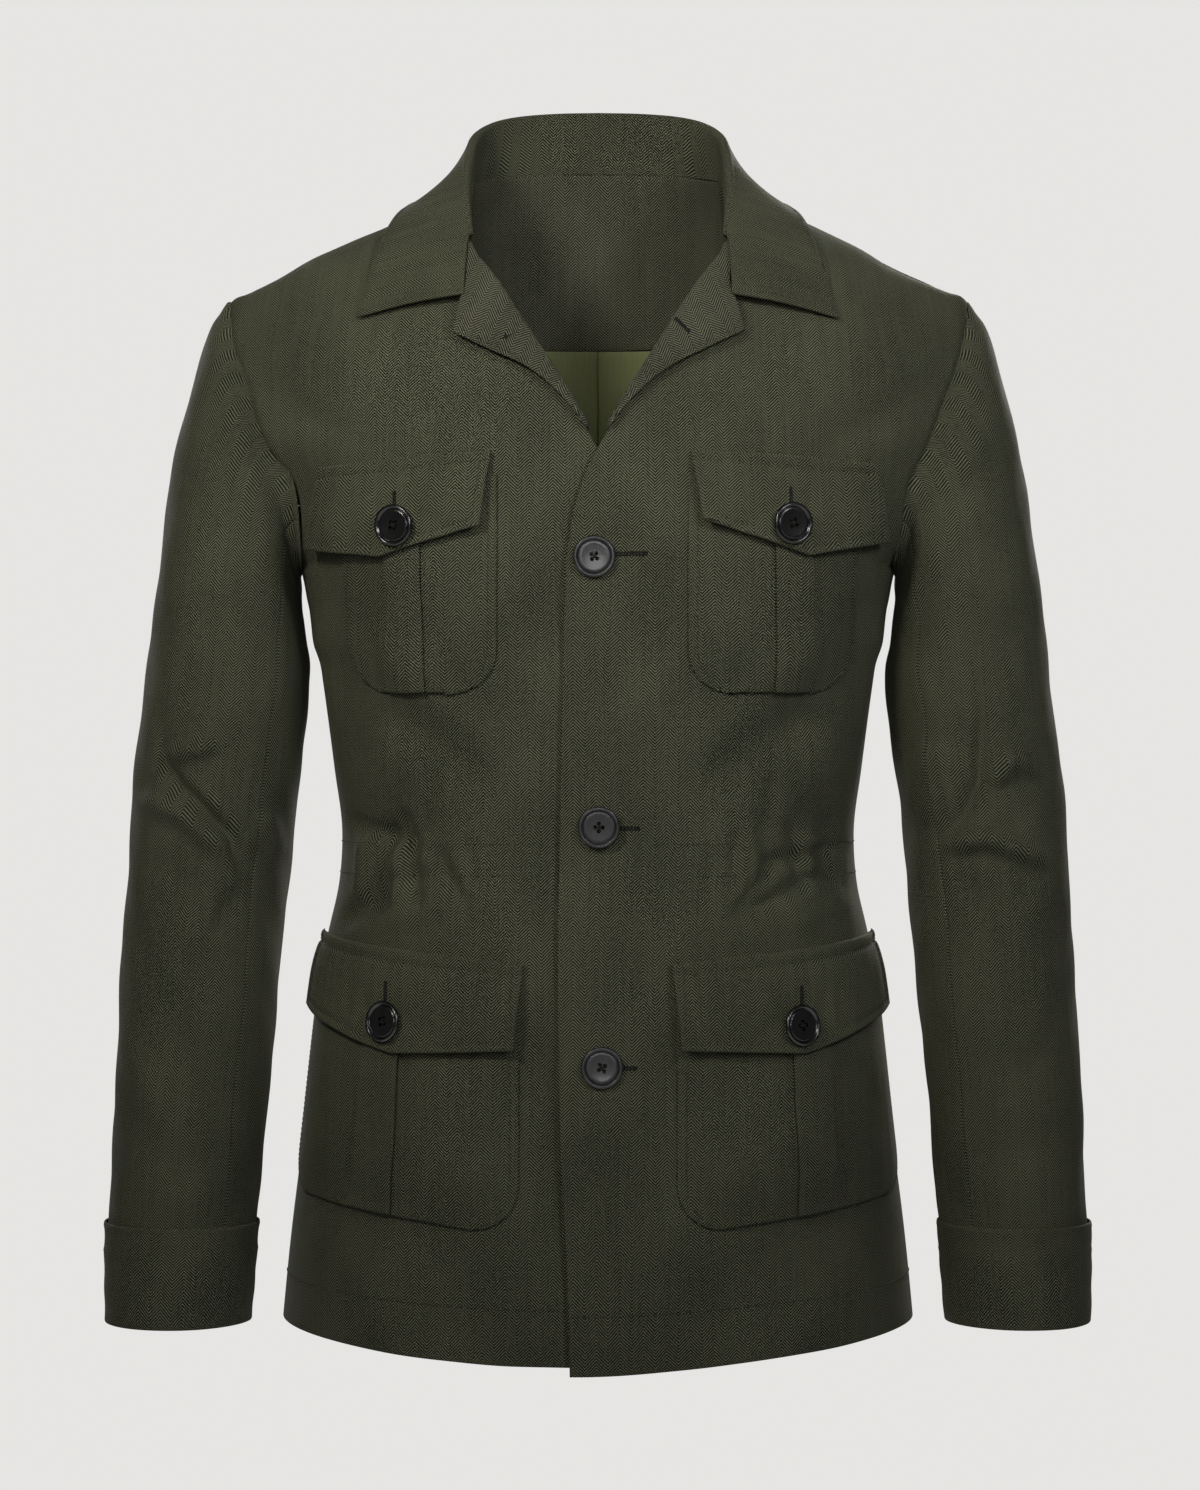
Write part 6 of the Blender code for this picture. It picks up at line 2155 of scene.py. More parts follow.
@dataclass
class Collar:
    """Stand, fold and fall of the collar in one folded sheet."""

    fronts: Fronts
    cloth: float = 0.0021
    fold_radius: float = 0.0034
    fold_opens: tuple[float, float] = (0.030, 0.170)
    foot_low: float = 0.0003
    foot_in: float = 0.0026
    drape: float = 2.2
    bow: float = 0.0030
    stand_cells: int = 10
    fold_cells: int = 8
    fall_cells: int = 18
    columns: int = 108
    point_station: int = 3
    stations: tuple[Union[FrontStation, BackStation], ...] = (
        FrontStation(0.030, 0.0752, -0.0690, -0.0245, 0.0790, 40.6, 0.0085),
        FrontStation(0.085, 0.0762, -0.0560, -0.0120, 0.1005, 42.0, 0.0080),
        FrontStation(0.170, 0.0768, -0.0420, 0.0000, 0.1220, 43.2, 0.0070),
        FrontStation(0.250, 0.0773, -0.0290, 0.0110, 0.1440, 44.0, 0.0064),
        FrontStation(0.330, 0.0775, -0.0160, 0.0210, 0.1370, 55.0, 0.0056),
        FrontStation(0.415, 0.0772, -0.0020, 0.0310, 0.1285, 71.0, 0.0050),
        FrontStation(0.500, 0.0765, 0.0130, 0.0400, 0.1190, 90.0, 0.0046),
        BackStation(0.600, 0.0735, 0.0350, 0.0530, 0.1060, 0.0370, 0.0020),
        BackStation(0.700, 0.0650, 0.0540, 0.0630, 0.0870, 0.0590, 0.0040),
        BackStation(0.800, 0.0500, 0.0665, 0.0690, 0.0620, 0.0750, 0.0105),
        BackStation(0.900, 0.0270, 0.0730, 0.0718, 0.0320, 0.0830, 0.0160),
        BackStation(1.000, 0.0000, 0.0750, 0.0726, 0.0000, 0.0850, 0.0180),
    )
    sheet: Optional[Cloth] = None

    def neckline(self, along: float) -> Array:
        """Neck edge of the fronts and back, from the roll's top to the centre back.

        Args:
            along: share of the way round the neck.

        Returns:
            The point of the edge.
        """
        form = self.fronts.drape.form
        if along <= 0.5:
            low = self.fronts.roll[self.fronts.roll_top_row]
            start = self.fronts.roll_at(self.fronts.roll_top_row)[1]
            angle = start + (0.5 * math.pi - start) * along / 0.5
            width = low.a + (form.neck_width - low.a) * along / 0.5
            share = width / float(form.upper_width(math.sin(angle), Facing.FRONT))
            return form.upper_point(share, angle, Facing.FRONT)
        swing = (along - 0.5) * math.pi
        return np.array([form.neck_width * math.cos(swing),
                         form.neck_y + form.back_neck_reach * math.sin(swing),
                         form.neck_z + form.back_neck_rise * math.sin(swing)])

    def form_point(self, a: float, angle: float) -> tuple[Array, Array]:
        """A point of the front's form above the underarm, and its outward normal.

        Args:
            a: distance from the centre line.
            angle: angle of rise above the underarm.

        Returns:
            The point and its normal.
        """
        form = self.fronts.drape.form
        here, beside, lower = (
            form.upper_point(b / float(form.upper_width(math.sin(g), Facing.FRONT)), g,
                             Facing.FRONT)
            for b, g in ((a, angle), (a + 0.004, angle), (a, angle - 0.02)))
        return here, unit(np.cross(beside - here, here - lower))

    def fall(self, station: Union[FrontStation, BackStation], neck: Array, rise: Array,
             away: Array, outer: Array) -> list[Array]:
        """The fall of one section, from the fold to the free edge.

        Args:
            station: the section's sizes.
            neck: its point on the neck edge.
            rise: direction up its stand.
            away: direction out of its fold.
            outer: where the fold ends.

        Returns:
            Its points.
        """
        shares = np.linspace(0.0, 1.0, self.fall_cells + 1)[1:]
        if isinstance(station, BackStation):
            edge = np.array([station.edge_a, station.edge_y, station.edge_z])
            bow = outer - rise * 0.4 * np.linalg.norm(edge - outer) + away * self.bow
            return [(1 - t) ** 2 * outer + 2 * t * (1 - t) * bow + t * t * edge for t in shares]
        form = self.fronts.drape.form
        start = math.asin(min(1.0, float((neck[2] - form.underarm_z)
                                         / (form.ridge_z(neck[0]) - form.underarm_z))))
        end = math.radians(station.edge_rise)
        begin, begin_out = self.form_point(neck[0], start)
        loose = outer - begin - begin_out * station.lift
        points = []
        for t in shares:
            under, out = self.form_point(neck[0] + (station.edge_a - neck[0]) * t,
                                         start + (end - start) * t)
            points.append(under + out * station.lift + loose * (1.0 - t) ** self.drape)
        return points

    def section(self, index: int) -> Array:
        """One section of the collar, from the neck seam over the fold to the free edge.

        Args:
            index: number of the station.

        Returns:
            The points of the section.
        """
        station = self.stations[index]
        low = self.stations[max(index - 1, 0)]
        high = self.stations[min(index + 1, len(self.stations) - 1)]
        after = np.array([high.fold_a, high.fold_y, high.fold_z])
        if index == len(self.stations) - 1:
            after = np.array([-0.02, high.fold_y, high.fold_z])
        before = np.array([low.fold_a, low.fold_y, low.fold_z])
        neck = self.neckline(station.along)
        fold = np.array([station.fold_a, station.fold_y, station.fold_z])
        rise = unit(fold - neck)
        away = unit(np.cross(rise, before - after))
        foot = neck - rise * self.foot_low - away * self.foot_in
        radius = self.fold_radius * float(0.40 + 0.60 * step(*self.fold_opens, station.along))
        inner_top = fold - rise * radius
        points = [foot + (inner_top - foot) * t
                  for t in np.linspace(0.0, 1.0, self.stand_cells + 1)]
        middle = inner_top + away * radius
        for angle in np.linspace(0.0, math.pi, self.fold_cells + 1)[1:]:
            points.append(middle + (rise * math.sin(angle) - away * math.cos(angle)) * radius)
        return np.array(points + self.fall(station, neck, rise, away, points[-1]))

    def unrolled(self, half: Array) -> Array:
        """Flat pattern of one half, laid out section by section from the centre back.

        Args:
            half: its points, rows from the neck seam to the free edge, columns to the back.

        Returns:
            Place across and along the cloth, from the fold.
        """
        top = self.stand_cells + self.fold_cells // 2
        fold, edge = half[top], half[-1]
        flat = np.zeros((2, half.shape[1], 2))
        flat[1, -1] = (0.0, -np.linalg.norm(edge[-1] - fold[-1]))
        for j in range(half.shape[1] - 2, -1, -1):
            flat[0, j] = beside(flat[0, j + 1], flat[1, j + 1],
                                np.linalg.norm(fold[j] - fold[j + 1]),
                                np.linalg.norm(fold[j] - edge[j + 1]), 1)
            flat[1, j] = beside(flat[1, j + 1], flat[0, j], np.linalg.norm(edge[j] - edge[j + 1]),
                                np.linalg.norm(edge[j] - fold[j]), -1)
        made = np.zeros(half.shape[:2] + (2,))
        for j in range(half.shape[1]):
            run = lengths(half[:, j]) - lengths(half[:, j])[top]
            reach = flat[1, j] - flat[0, j]
            made[:, j] = flat[0, j] + reach * (run / run[-1])[:, None]
            stand = run < 0
            made[stand, j] = flat[0, j] + unit(reach) * run[stand, None]
        return made

    def build(self, finishes: Wardrobe) -> None:
        """Make the collar.

        Args:
            finishes: the finished materials.
        """
        sections = np.array([self.section(i) for i in range(len(self.stations))])
        keys = column(self.stations, "along")
        at = np.linspace(keys[0], keys[-1], self.columns + 1)
        at[np.argmin(np.abs(at - keys[self.point_station]))] = keys[self.point_station]
        joined = smooth(keys, sections, at)
        first, second = self.point_station + 1, self.point_station
        turned = np.where((at <= keys[self.point_station])[:, None, None],
                          smooth(keys[:first], sections[:first], at),
                          smooth(keys[second:], sections[second:], at))
        outward = np.concatenate([np.zeros(self.stand_cells + self.fold_cells + 1),
                                  np.linspace(0.0, 1.0, self.fall_cells + 1)[1:]])
        half = joined + (turned - joined) * step(0.0, 1.0, outward)[None, :, None]
        left = half.transpose(1, 0, 2)
        points = np.concatenate([left[:, :-1], mirrored(left, Side.RIGHT)[:, ::-1]], axis=1)
        leaning = points[:, :, 0] - 0.8 * np.sign(points[:, :, 0]) * points[:, :, 1]
        pattern = self.unrolled(left)
        place = np.concatenate([pattern[:, :-1], pattern[:, ::-1] * np.array([-1.0, 1.0])], axis=1)
        ripple = 0.0005 * np.sin(leaning * 55.0 + 1.0) * step(0.3, 1.0, outward)[:, None]
        points = points + grid_normals(points, -1) * ripple[:, :, None]
        self.sheet = Cloth(points, place, -1)
        make_wall(self.sheet, Sewn("collar_wool", "collar", "shell", finishes.wool, self.cloth,
                                   rests_on=("back_wool",), held="folded", rim_cells=6))

    def stitch_lines(self) -> list[Array]:
        """One row of topstitching inside the free edges of the fall."""
        rows, cols = self.sheet.points.shape[:2]
        inset = []
        for col in range(cols):
            line = self.sheet.points[::-1, col]
            inset.append(rows - 1 - float(np.interp(0.0058, lengths(line), np.arange(rows))))
        columns = np.linspace(2.4, cols - 3.4, 420)
        at = np.interp(columns, np.arange(cols), inset)
        down = np.linspace(self.stand_cells + self.fold_cells + 3.0, at[0], 12)
        start = self.sheet.trace(down, np.full(12, 2.4), 0.0002)
        stop = self.sheet.trace(down[::-1], np.full(12, cols - 3.4), 0.0002)
        return [np.vstack([start, self.sheet.trace(at, columns, 0.0002), stop])]


# ---------------------------------------------------------------- pockets
class Patch(NamedTuple):
    """Outline of a patch pocket on a front."""

    inner: float
    outer: float
    top: float
    bottom_inner: float
    bottom_outer: float
    corner: float


class Pleat(NamedTuple):
    """Edges of the pleat down a pocket, at its top and its bottom."""

    inner_top: float
    outer_top: float
    inner_bottom: float
    outer_bottom: float


class Flap(NamedTuple):
    """Outline of a pocket flap."""

    inner: float
    outer: float
    top_inner: float
    top_outer: float
    splay: float
    side_inner: float
    side_outer: float
    tip: float
    tip_at: float


@dataclass
class PatchPocket:
    """A patch pocket with its box pleat and its flap, laid on a front."""

    drape: Drape
    side: Side
    kind: Kind
    patch: Patch
    pleat: Pleat
    flap: Flap
    button_at: tuple[float, float]
    cloth: float = 0.0013
    flap_cloth: float = 0.0024
    patch_cells: tuple[int, int, int] = (18, 10, 22)
    patch_rows: int = 54
    corner_rows: int = 10
    flap_cells: tuple[int, int] = (60, 34)
    sewn_lift: float = 0.0016
    patch_lift: float = 0.0024
    fullness: float = 0.0014
    pleat_lift: float = 0.0024
    flap_lifts: tuple[float, ...] = (0.0034, 0.0066, 0.0085, 0.0094, 0.0100)
    sheets: dict[str, Cloth] = field(default_factory=dict)

    @property
    def name(self) -> str:
        """The pocket's name as nodes use it."""
        return "%s_%%s_%s" % (self.kind.value, self.side.word)

    def laid(self, distance: Array, z: Array, lifts: Array) -> Array:
        """Points on the front, measured from the centre or round it, lifted off it.

        Args:
            distance: how far out each point lies.
            z: heights.
            lifts: heights off the front.

        Returns:
            The points.
        """
        form = self.drape.form
        if self.kind is Kind.CHEST:
            plain = np.stack([distance, form.front_y(distance, z), z], axis=-1)
        else:
            turn = np.linspace(0.0, 0.5 * math.pi, 300)
            share = np.sin(turn)
            full = form.full(share, Facing.FRONT)
            flat_z = z.ravel()
            a = form.width(flat_z)[:, None] * share[None, :]
            y = -form.depth(flat_z, Facing.FRONT)[:, None] * full[None, :]
            run = np.cumsum(np.hypot(np.diff(a, axis=1), np.diff(y, axis=1)), axis=1)
            run = np.concatenate([np.zeros((len(flat_z), 1)), run], axis=1)
            found = [(np.interp(d, run[i], a[i]), np.interp(d, run[i], y[i]))
                     for i, d in enumerate(distance.ravel())]
            both = np.array(found).reshape(distance.shape + (2,))
            plain = np.stack([both[..., 0], both[..., 1], z], axis=-1)
        relief = self.drape.on_front(self.side, plain[..., 0], plain[..., 2])
        out = grid_normals(plain, 1)
        return mirrored(plain + out * (relief + lifts)[..., None], self.side)

    def pleat_edges(self, z: float) -> tuple[float, float]:
        """Inner and outer edge of the pleat at a height.

        Args:
            z: height.

        Returns:
            The inner and the outer edge.
        """
        up = (z - self.patch.bottom_inner) / (self.patch.top - self.patch.bottom_inner)
        return (self.pleat.inner_bottom + (self.pleat.inner_top - self.pleat.inner_bottom) * up,
                self.pleat.outer_bottom + (self.pleat.outer_top - self.pleat.outer_bottom) * up)

    def patch_places(self) -> tuple[Array, Array]:
        """Distances and heights of the patch, from its rounded bottom to its top."""
        patch = self.patch
        tall = patch.top - patch.bottom_inner
        turned = patch.corner * (1.0 - np.cos(np.linspace(0.0, 0.5 * math.pi, self.corner_rows)))
        straight = np.linspace(patch.corner, tall, self.patch_rows - self.corner_rows)[1:]
        drops = np.concatenate([turned, straight])
        first, middle, last = self.patch_cells
        distances, heights = [], []
        for drop in drops:
            above = patch.corner - min(drop, patch.corner)
            cut = patch.corner - math.sqrt(max(patch.corner**2 - above**2, 0.0))
            inner, outer = self.pleat_edges(patch.bottom_inner + drop)
            line = np.concatenate([
                np.linspace(patch.inner + cut, inner, first + 1)[:-1],
                np.linspace(inner, outer, middle + 1),
                np.linspace(outer, patch.outer - cut, last + 1)[1:],
            ])
            share = (line - patch.inner) / (patch.outer - patch.inner)
            bottom = patch.bottom_inner + (patch.bottom_outer - patch.bottom_inner) * share
            distances.append(line)
            heights.append(bottom + (patch.top - bottom) * drop / tall)
        return np.array(distances), np.array(heights)

    def flap_places(self) -> tuple[Array, Array, Array]:
        """Distances, heights and shares down of the flap, from its point to its top seam."""
        flap = self.flap
        share = np.linspace(0.0, 1.0, self.flap_cells[0] + 1)[None, :]
        down = np.linspace(1.0, 0.0, self.flap_cells[1] + 1)[:, None]
        distance = flap.inner + flap.splay * down + (flap.outer - flap.inner) * share
        top = flap.top_inner + (flap.top_outer - flap.top_inner) * share
        inner = flap.side_inner + (flap.tip - flap.side_inner) * share / flap.tip_at
        outer = (flap.tip + (flap.side_outer - flap.tip) * (share - flap.tip_at)
                 / (1.0 - flap.tip_at))
        bottom = np.where(share < flap.tip_at, inner, outer)
        return distance, top + (bottom - top) * down, down * np.ones_like(share)

    def build(self, finishes: Wardrobe) -> None:
        """Make the patch, its pleat and its flap.

        Args:
            finishes: the finished materials.
        """
        distance, z = self.patch_places()
        shape = distance.shape
        to_side = np.minimum(distance - distance[:, :1], distance[:, -1:] - distance)
        to_foot = z - z[:1]
        near = np.minimum(to_side, to_foot)
        under_flap = step(self.flap.tip + 0.012, self.flap.tip - 0.020, z)
        lifts = self.sewn_lift + (self.patch_lift - self.sewn_lift) * step(0.0, 0.0045, near)
        lifts = lifts + self.fullness * step(0.005, 0.030, near) * under_flap
        lifts = lifts - 0.0006 * np.exp(-((near - 0.0056) / 0.0013) ** 2)
        points = self.laid(distance, z, lifts)
        place = np.stack([distance, z], axis=-1)
        patch = Cloth(points, place, self.side.value)
        self.sheets["patch"] = patch
        front = "front_%s_wool" % self.side.word
        make_wall(patch, Sewn(self.name % "pocket" + "_wool", self.name % "pocket", "shell",
                              finishes.wool, self.cloth, rests_on=(front,), held="laid"))
        first, middle, _ = self.patch_cells
        span = slice(first, first + middle + 1)
        across = np.linspace(-1.0, 1.0, middle + 1)[None, :]
        rise = self.pleat_lift + 0.0006 * (1.0 - across**2) * under_flap[:, span]
        raised = np.zeros(shape)
        raised[:, span] = rise
        pleat = patch.moved(raised, rows=slice(2, -1), columns=span)
        make_wall(pleat, Sewn(self.name % "pleat" + "_wool", self.name % "pleat", "shell",
                              finishes.wool, self.cloth, rests_on=(self.name % "pocket" + "_wool",),
                              held="laid"))
        self.make_flap(finishes)

    def make_flap(self, finishes: Wardrobe) -> None:
        """The flap: two plies, sewn along its top, buttoned, and standing off below.

        Args:
            finishes: the finished materials.
        """
        distance, z, down = self.flap_places()
        lifts = smooth(np.linspace(0.0, 1.0, len(self.flap_lifts)), np.array(self.flap_lifts), down)
        button = np.hypot(distance - self.button_at[0], z - self.button_at[1])
        lifts = lifts - 0.0016 * np.exp(-(button / 0.016) ** 2)
        share = np.linspace(0.0, 1.0, distance.shape[1])[None, :]
        curl = np.cos(2.0 * math.pi * share * 1.5 + 0.6) * down**2
        a, at = self.button_at
        lifts = lifts + fold_height(distance, z, (
            Fold(a + 0.0130, at + 0.0180, a + 0.0110, at - 0.0080, 0.0042, -0.0015),
            Fold(a + 0.0240, at + 0.0200, a + 0.0280, at - 0.0020, 0.0046, -0.0012),
            Fold(a - 0.0140, at + 0.0060, a - 0.0300, at - 0.0040, 0.0046, -0.0013)))
        lifts = lifts + 0.0007 * curl + 0.0009 * np.exp(-((share - 0.86) / 0.08) ** 2) * down
        edge = np.minimum(np.minimum(share, 1.0 - share) * 0.105, (1.0 - down) * 0.055)
        top = down * 0.055
        lifts = lifts - 0.00080 * np.exp(-((edge - 0.0058) / 0.0013) ** 2)
        lifts = lifts - 0.00100 * np.exp(-((top - 0.0078) / 0.0014) ** 2)
        lifts = lifts + 0.00110 * np.exp(-((top - 0.0022) / 0.0030) ** 2)
        flap = Cloth(self.laid(distance, z, lifts), np.stack([distance, z], axis=-1),
                     self.side.value)
        self.sheets["flap"] = flap
        make_wall(flap, Sewn(self.name % "flap" + "_wool", self.name % "flap", "shell",
                             finishes.wool, self.flap_cloth,
                             rests_on=("front_%s_wool" % self.side.word,), rim_cells=6))

    def stitch_lines(self) -> list[Array]:
        """Topstitching inside the patch's edge and round the flap."""
        patch, flap = self.sheets["patch"], self.sheets["flap"]
        lines = [inset_line(patch, 0.0056, ("left", "bottom", "right"))]
        lines.append(inset_line(flap, 0.0058, ("left", "bottom", "right")))
        rows = flap.points.shape[0]
        columns = np.linspace(1.0, flap.points.shape[1] - 2.0, 60)
        deep = float(np.linalg.norm(flap.points[-1, 30] - flap.points[0, 30])) / (rows - 1)
        lines.append(flap.trace(np.full(60, rows - 1 - 0.0075 / deep), columns, 0.0002))
        return lines


def inset_line(cloth: Cloth, inset: float, sides: Sequence[str]) -> Array:
    """A line inside the left, bottom and right edges of a grid.

    Args:
        cloth: the grid, its first row at the bottom.
        inset: how far inside, in metres.
        sides: which edges it follows.

    Returns:
        The line's points.
    """
    rows, cols = cloth.points.shape[:2]
    left = [float(np.interp(inset, lengths(cloth.points[r]), np.arange(cols))) for r in range(rows)]
    right = [cols - 1 - float(np.interp(inset, lengths(cloth.points[r, ::-1]), np.arange(cols)))
             for r in range(rows)]
    foot = [float(np.interp(inset, lengths(cloth.points[:, c]), np.arange(rows)))
            for c in range(cols)]
    top = rows - 1.2
    low_left = float(np.interp(left[rows // 4], np.arange(cols), foot))
    low_right = float(np.interp(right[rows // 4], np.arange(cols), foot))
    path = []
    if "left" in sides:
        at = np.linspace(top, low_left, 50)
        path.append(np.column_stack([at, np.interp(at, np.arange(rows), left)]))
    if "bottom" in sides:
        first = np.interp(low_left, np.arange(rows), left)
        last = np.interp(low_right, np.arange(rows), right)
        at = np.linspace(first, last, 70)[1:-1]
        path.append(np.column_stack([np.interp(at, np.arange(cols), foot), at]))
    if "right" in sides:
        at = np.linspace(low_right, top, 50)
        path.append(np.column_stack([at, np.interp(at, np.arange(rows), right)]))
    line = np.vstack(path)
    return cloth.trace(line[:, 0], line[:, 1], 0.0002)


# ---------------------------------------------------------------- stitches
@dataclass
class Stitching:
    """Rows of lockstitch, one small strand repeated along every line."""

    pitch: float = 0.0032
    strand: float = 0.0024
    radius: float = 0.00030
    lines: list[Array] = field(default_factory=list)

    def strand_object(self) -> bpy.types.Object:
        """One stitch: a short strand, thicker in its middle, along X."""
        rings = []
        for x, wide in ((-0.5, 0.35), (-0.3, 0.95), (0.3, 0.95), (0.5, 0.35)):
            for corner in range(5):
                angle = 2.0 * math.pi * corner / 5
                rings.append((x * self.strand, math.cos(angle) * wide * self.radius,
                              math.sin(angle) * wide * self.radius))
        faces = [(r * 5 + k, r * 5 + (k + 1) % 5, r * 5 + 5 + (k + 1) % 5, r * 5 + 5 + k)
                 for r in range(3) for k in range(5)]
        faces += [(4, 3, 2, 1, 0), (15, 16, 17, 18, 19)]
        mesh = bpy.data.meshes.new("stitch_strand")
        mesh.from_pydata(rings, [], [tuple(reversed(f)) for f in faces])
        mesh.shade_smooth()
        return bpy.data.objects.new("stitch_strand", mesh)

    def tree(self, strand: bpy.types.Object, material: bpy.types.Material) -> bpy.types.NodeTree:
        """Node tree that lays a strand along each line.

        Args:
            strand: the stitch to repeat.
            material: the thread's finish.

        Returns:
            The tree.
        """
        tree = bpy.data.node_groups.new("Rows of stitches", "GeometryNodeTree")
        face = tree.interface
        face.new_socket(name="Geometry", in_out="INPUT", socket_type="NodeSocketGeometry")
        face.new_socket(name="Stitch pitch", in_out="INPUT", socket_type="NodeSocketFloat")
        face.new_socket(name="Geometry", in_out="OUTPUT", socket_type="NodeSocketGeometry")
        start = add(tree, "NodeGroupInput")
        curve = add(tree, "GeometryNodeMeshToCurve", {0: start.outputs[0]})
        spaced = add(tree, "GeometryNodeResampleCurve", {"Curve": curve.outputs[0]}, mode="LENGTH")
        tree.links.new(start.outputs[1], spaced.inputs["Length"])
        points = add(tree, "GeometryNodeInputTangent")
        turn = add(tree, "FunctionNodeAlignRotationToVector", {"Vector": points.outputs[0]},
                   axis="X")
        shape = add(tree, "GeometryNodeObjectInfo", {"Object": strand}, transform_space="ORIGINAL")
        laid = add(tree, "GeometryNodeInstanceOnPoints", {
            "Points": spaced.outputs[0], "Instance": shape.outputs["Geometry"],
            "Rotation": turn.outputs[0]})
        real = add(tree, "GeometryNodeRealizeInstances", {0: laid.outputs[0]})
        dyed = add(tree, "GeometryNodeSetMaterial", {0: real.outputs[0], "Material": material})
        add(tree, "NodeGroupOutput", {0: dyed.outputs[0]})
        return tree

    def build(self, finishes: Wardrobe) -> None:
        """Lay every line's stitches and keep them as one plain mesh.

        Args:
            finishes: the finished materials.
        """
        mesh = bpy.data.meshes.new("stitch_lines")
        points, edges, first = [], [], 0
        for line in self.lines:
            points.extend(line.tolist())
            edges.extend((first + i, first + i + 1) for i in range(len(line) - 1))
            first += len(line)
        mesh.from_pydata(points, edges, [])
        carrier = bpy.data.objects.new("stitch_lines", mesh)
        bpy.context.scene.collection.objects.link(carrier)
        strand = self.strand_object()
        tree = self.tree(strand, finishes.thread)
        rows = carrier.modifiers.new("Stitches", "NODES")
        rows.node_group = tree
        pitch = next(item.identifier for item in tree.interface.items_tree
                     if item.name == "Stitch pitch")
        rows[pitch] = self.pitch
        bpy.context.view_layer.update()
        graph = bpy.context.evaluated_depsgraph_get()
        made = bpy.data.meshes.new_from_object(carrier.evaluated_get(graph))
        bpy.data.objects.remove(carrier)
        bpy.data.objects.remove(strand)
        piece = bpy.data.objects.new("topstitching", made)
        bpy.context.scene.collection.objects.link(piece)
        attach(piece, "root")
        LOG.info("topstitching: %d faces in %d lines", len(made.polygons), len(self.lines))


# ---------------------------------------------------------------- buttons and buttonholes
class ProfilePoint(NamedTuple):
    """A point of a turned profile: radius and height."""

    r: float
    h: float


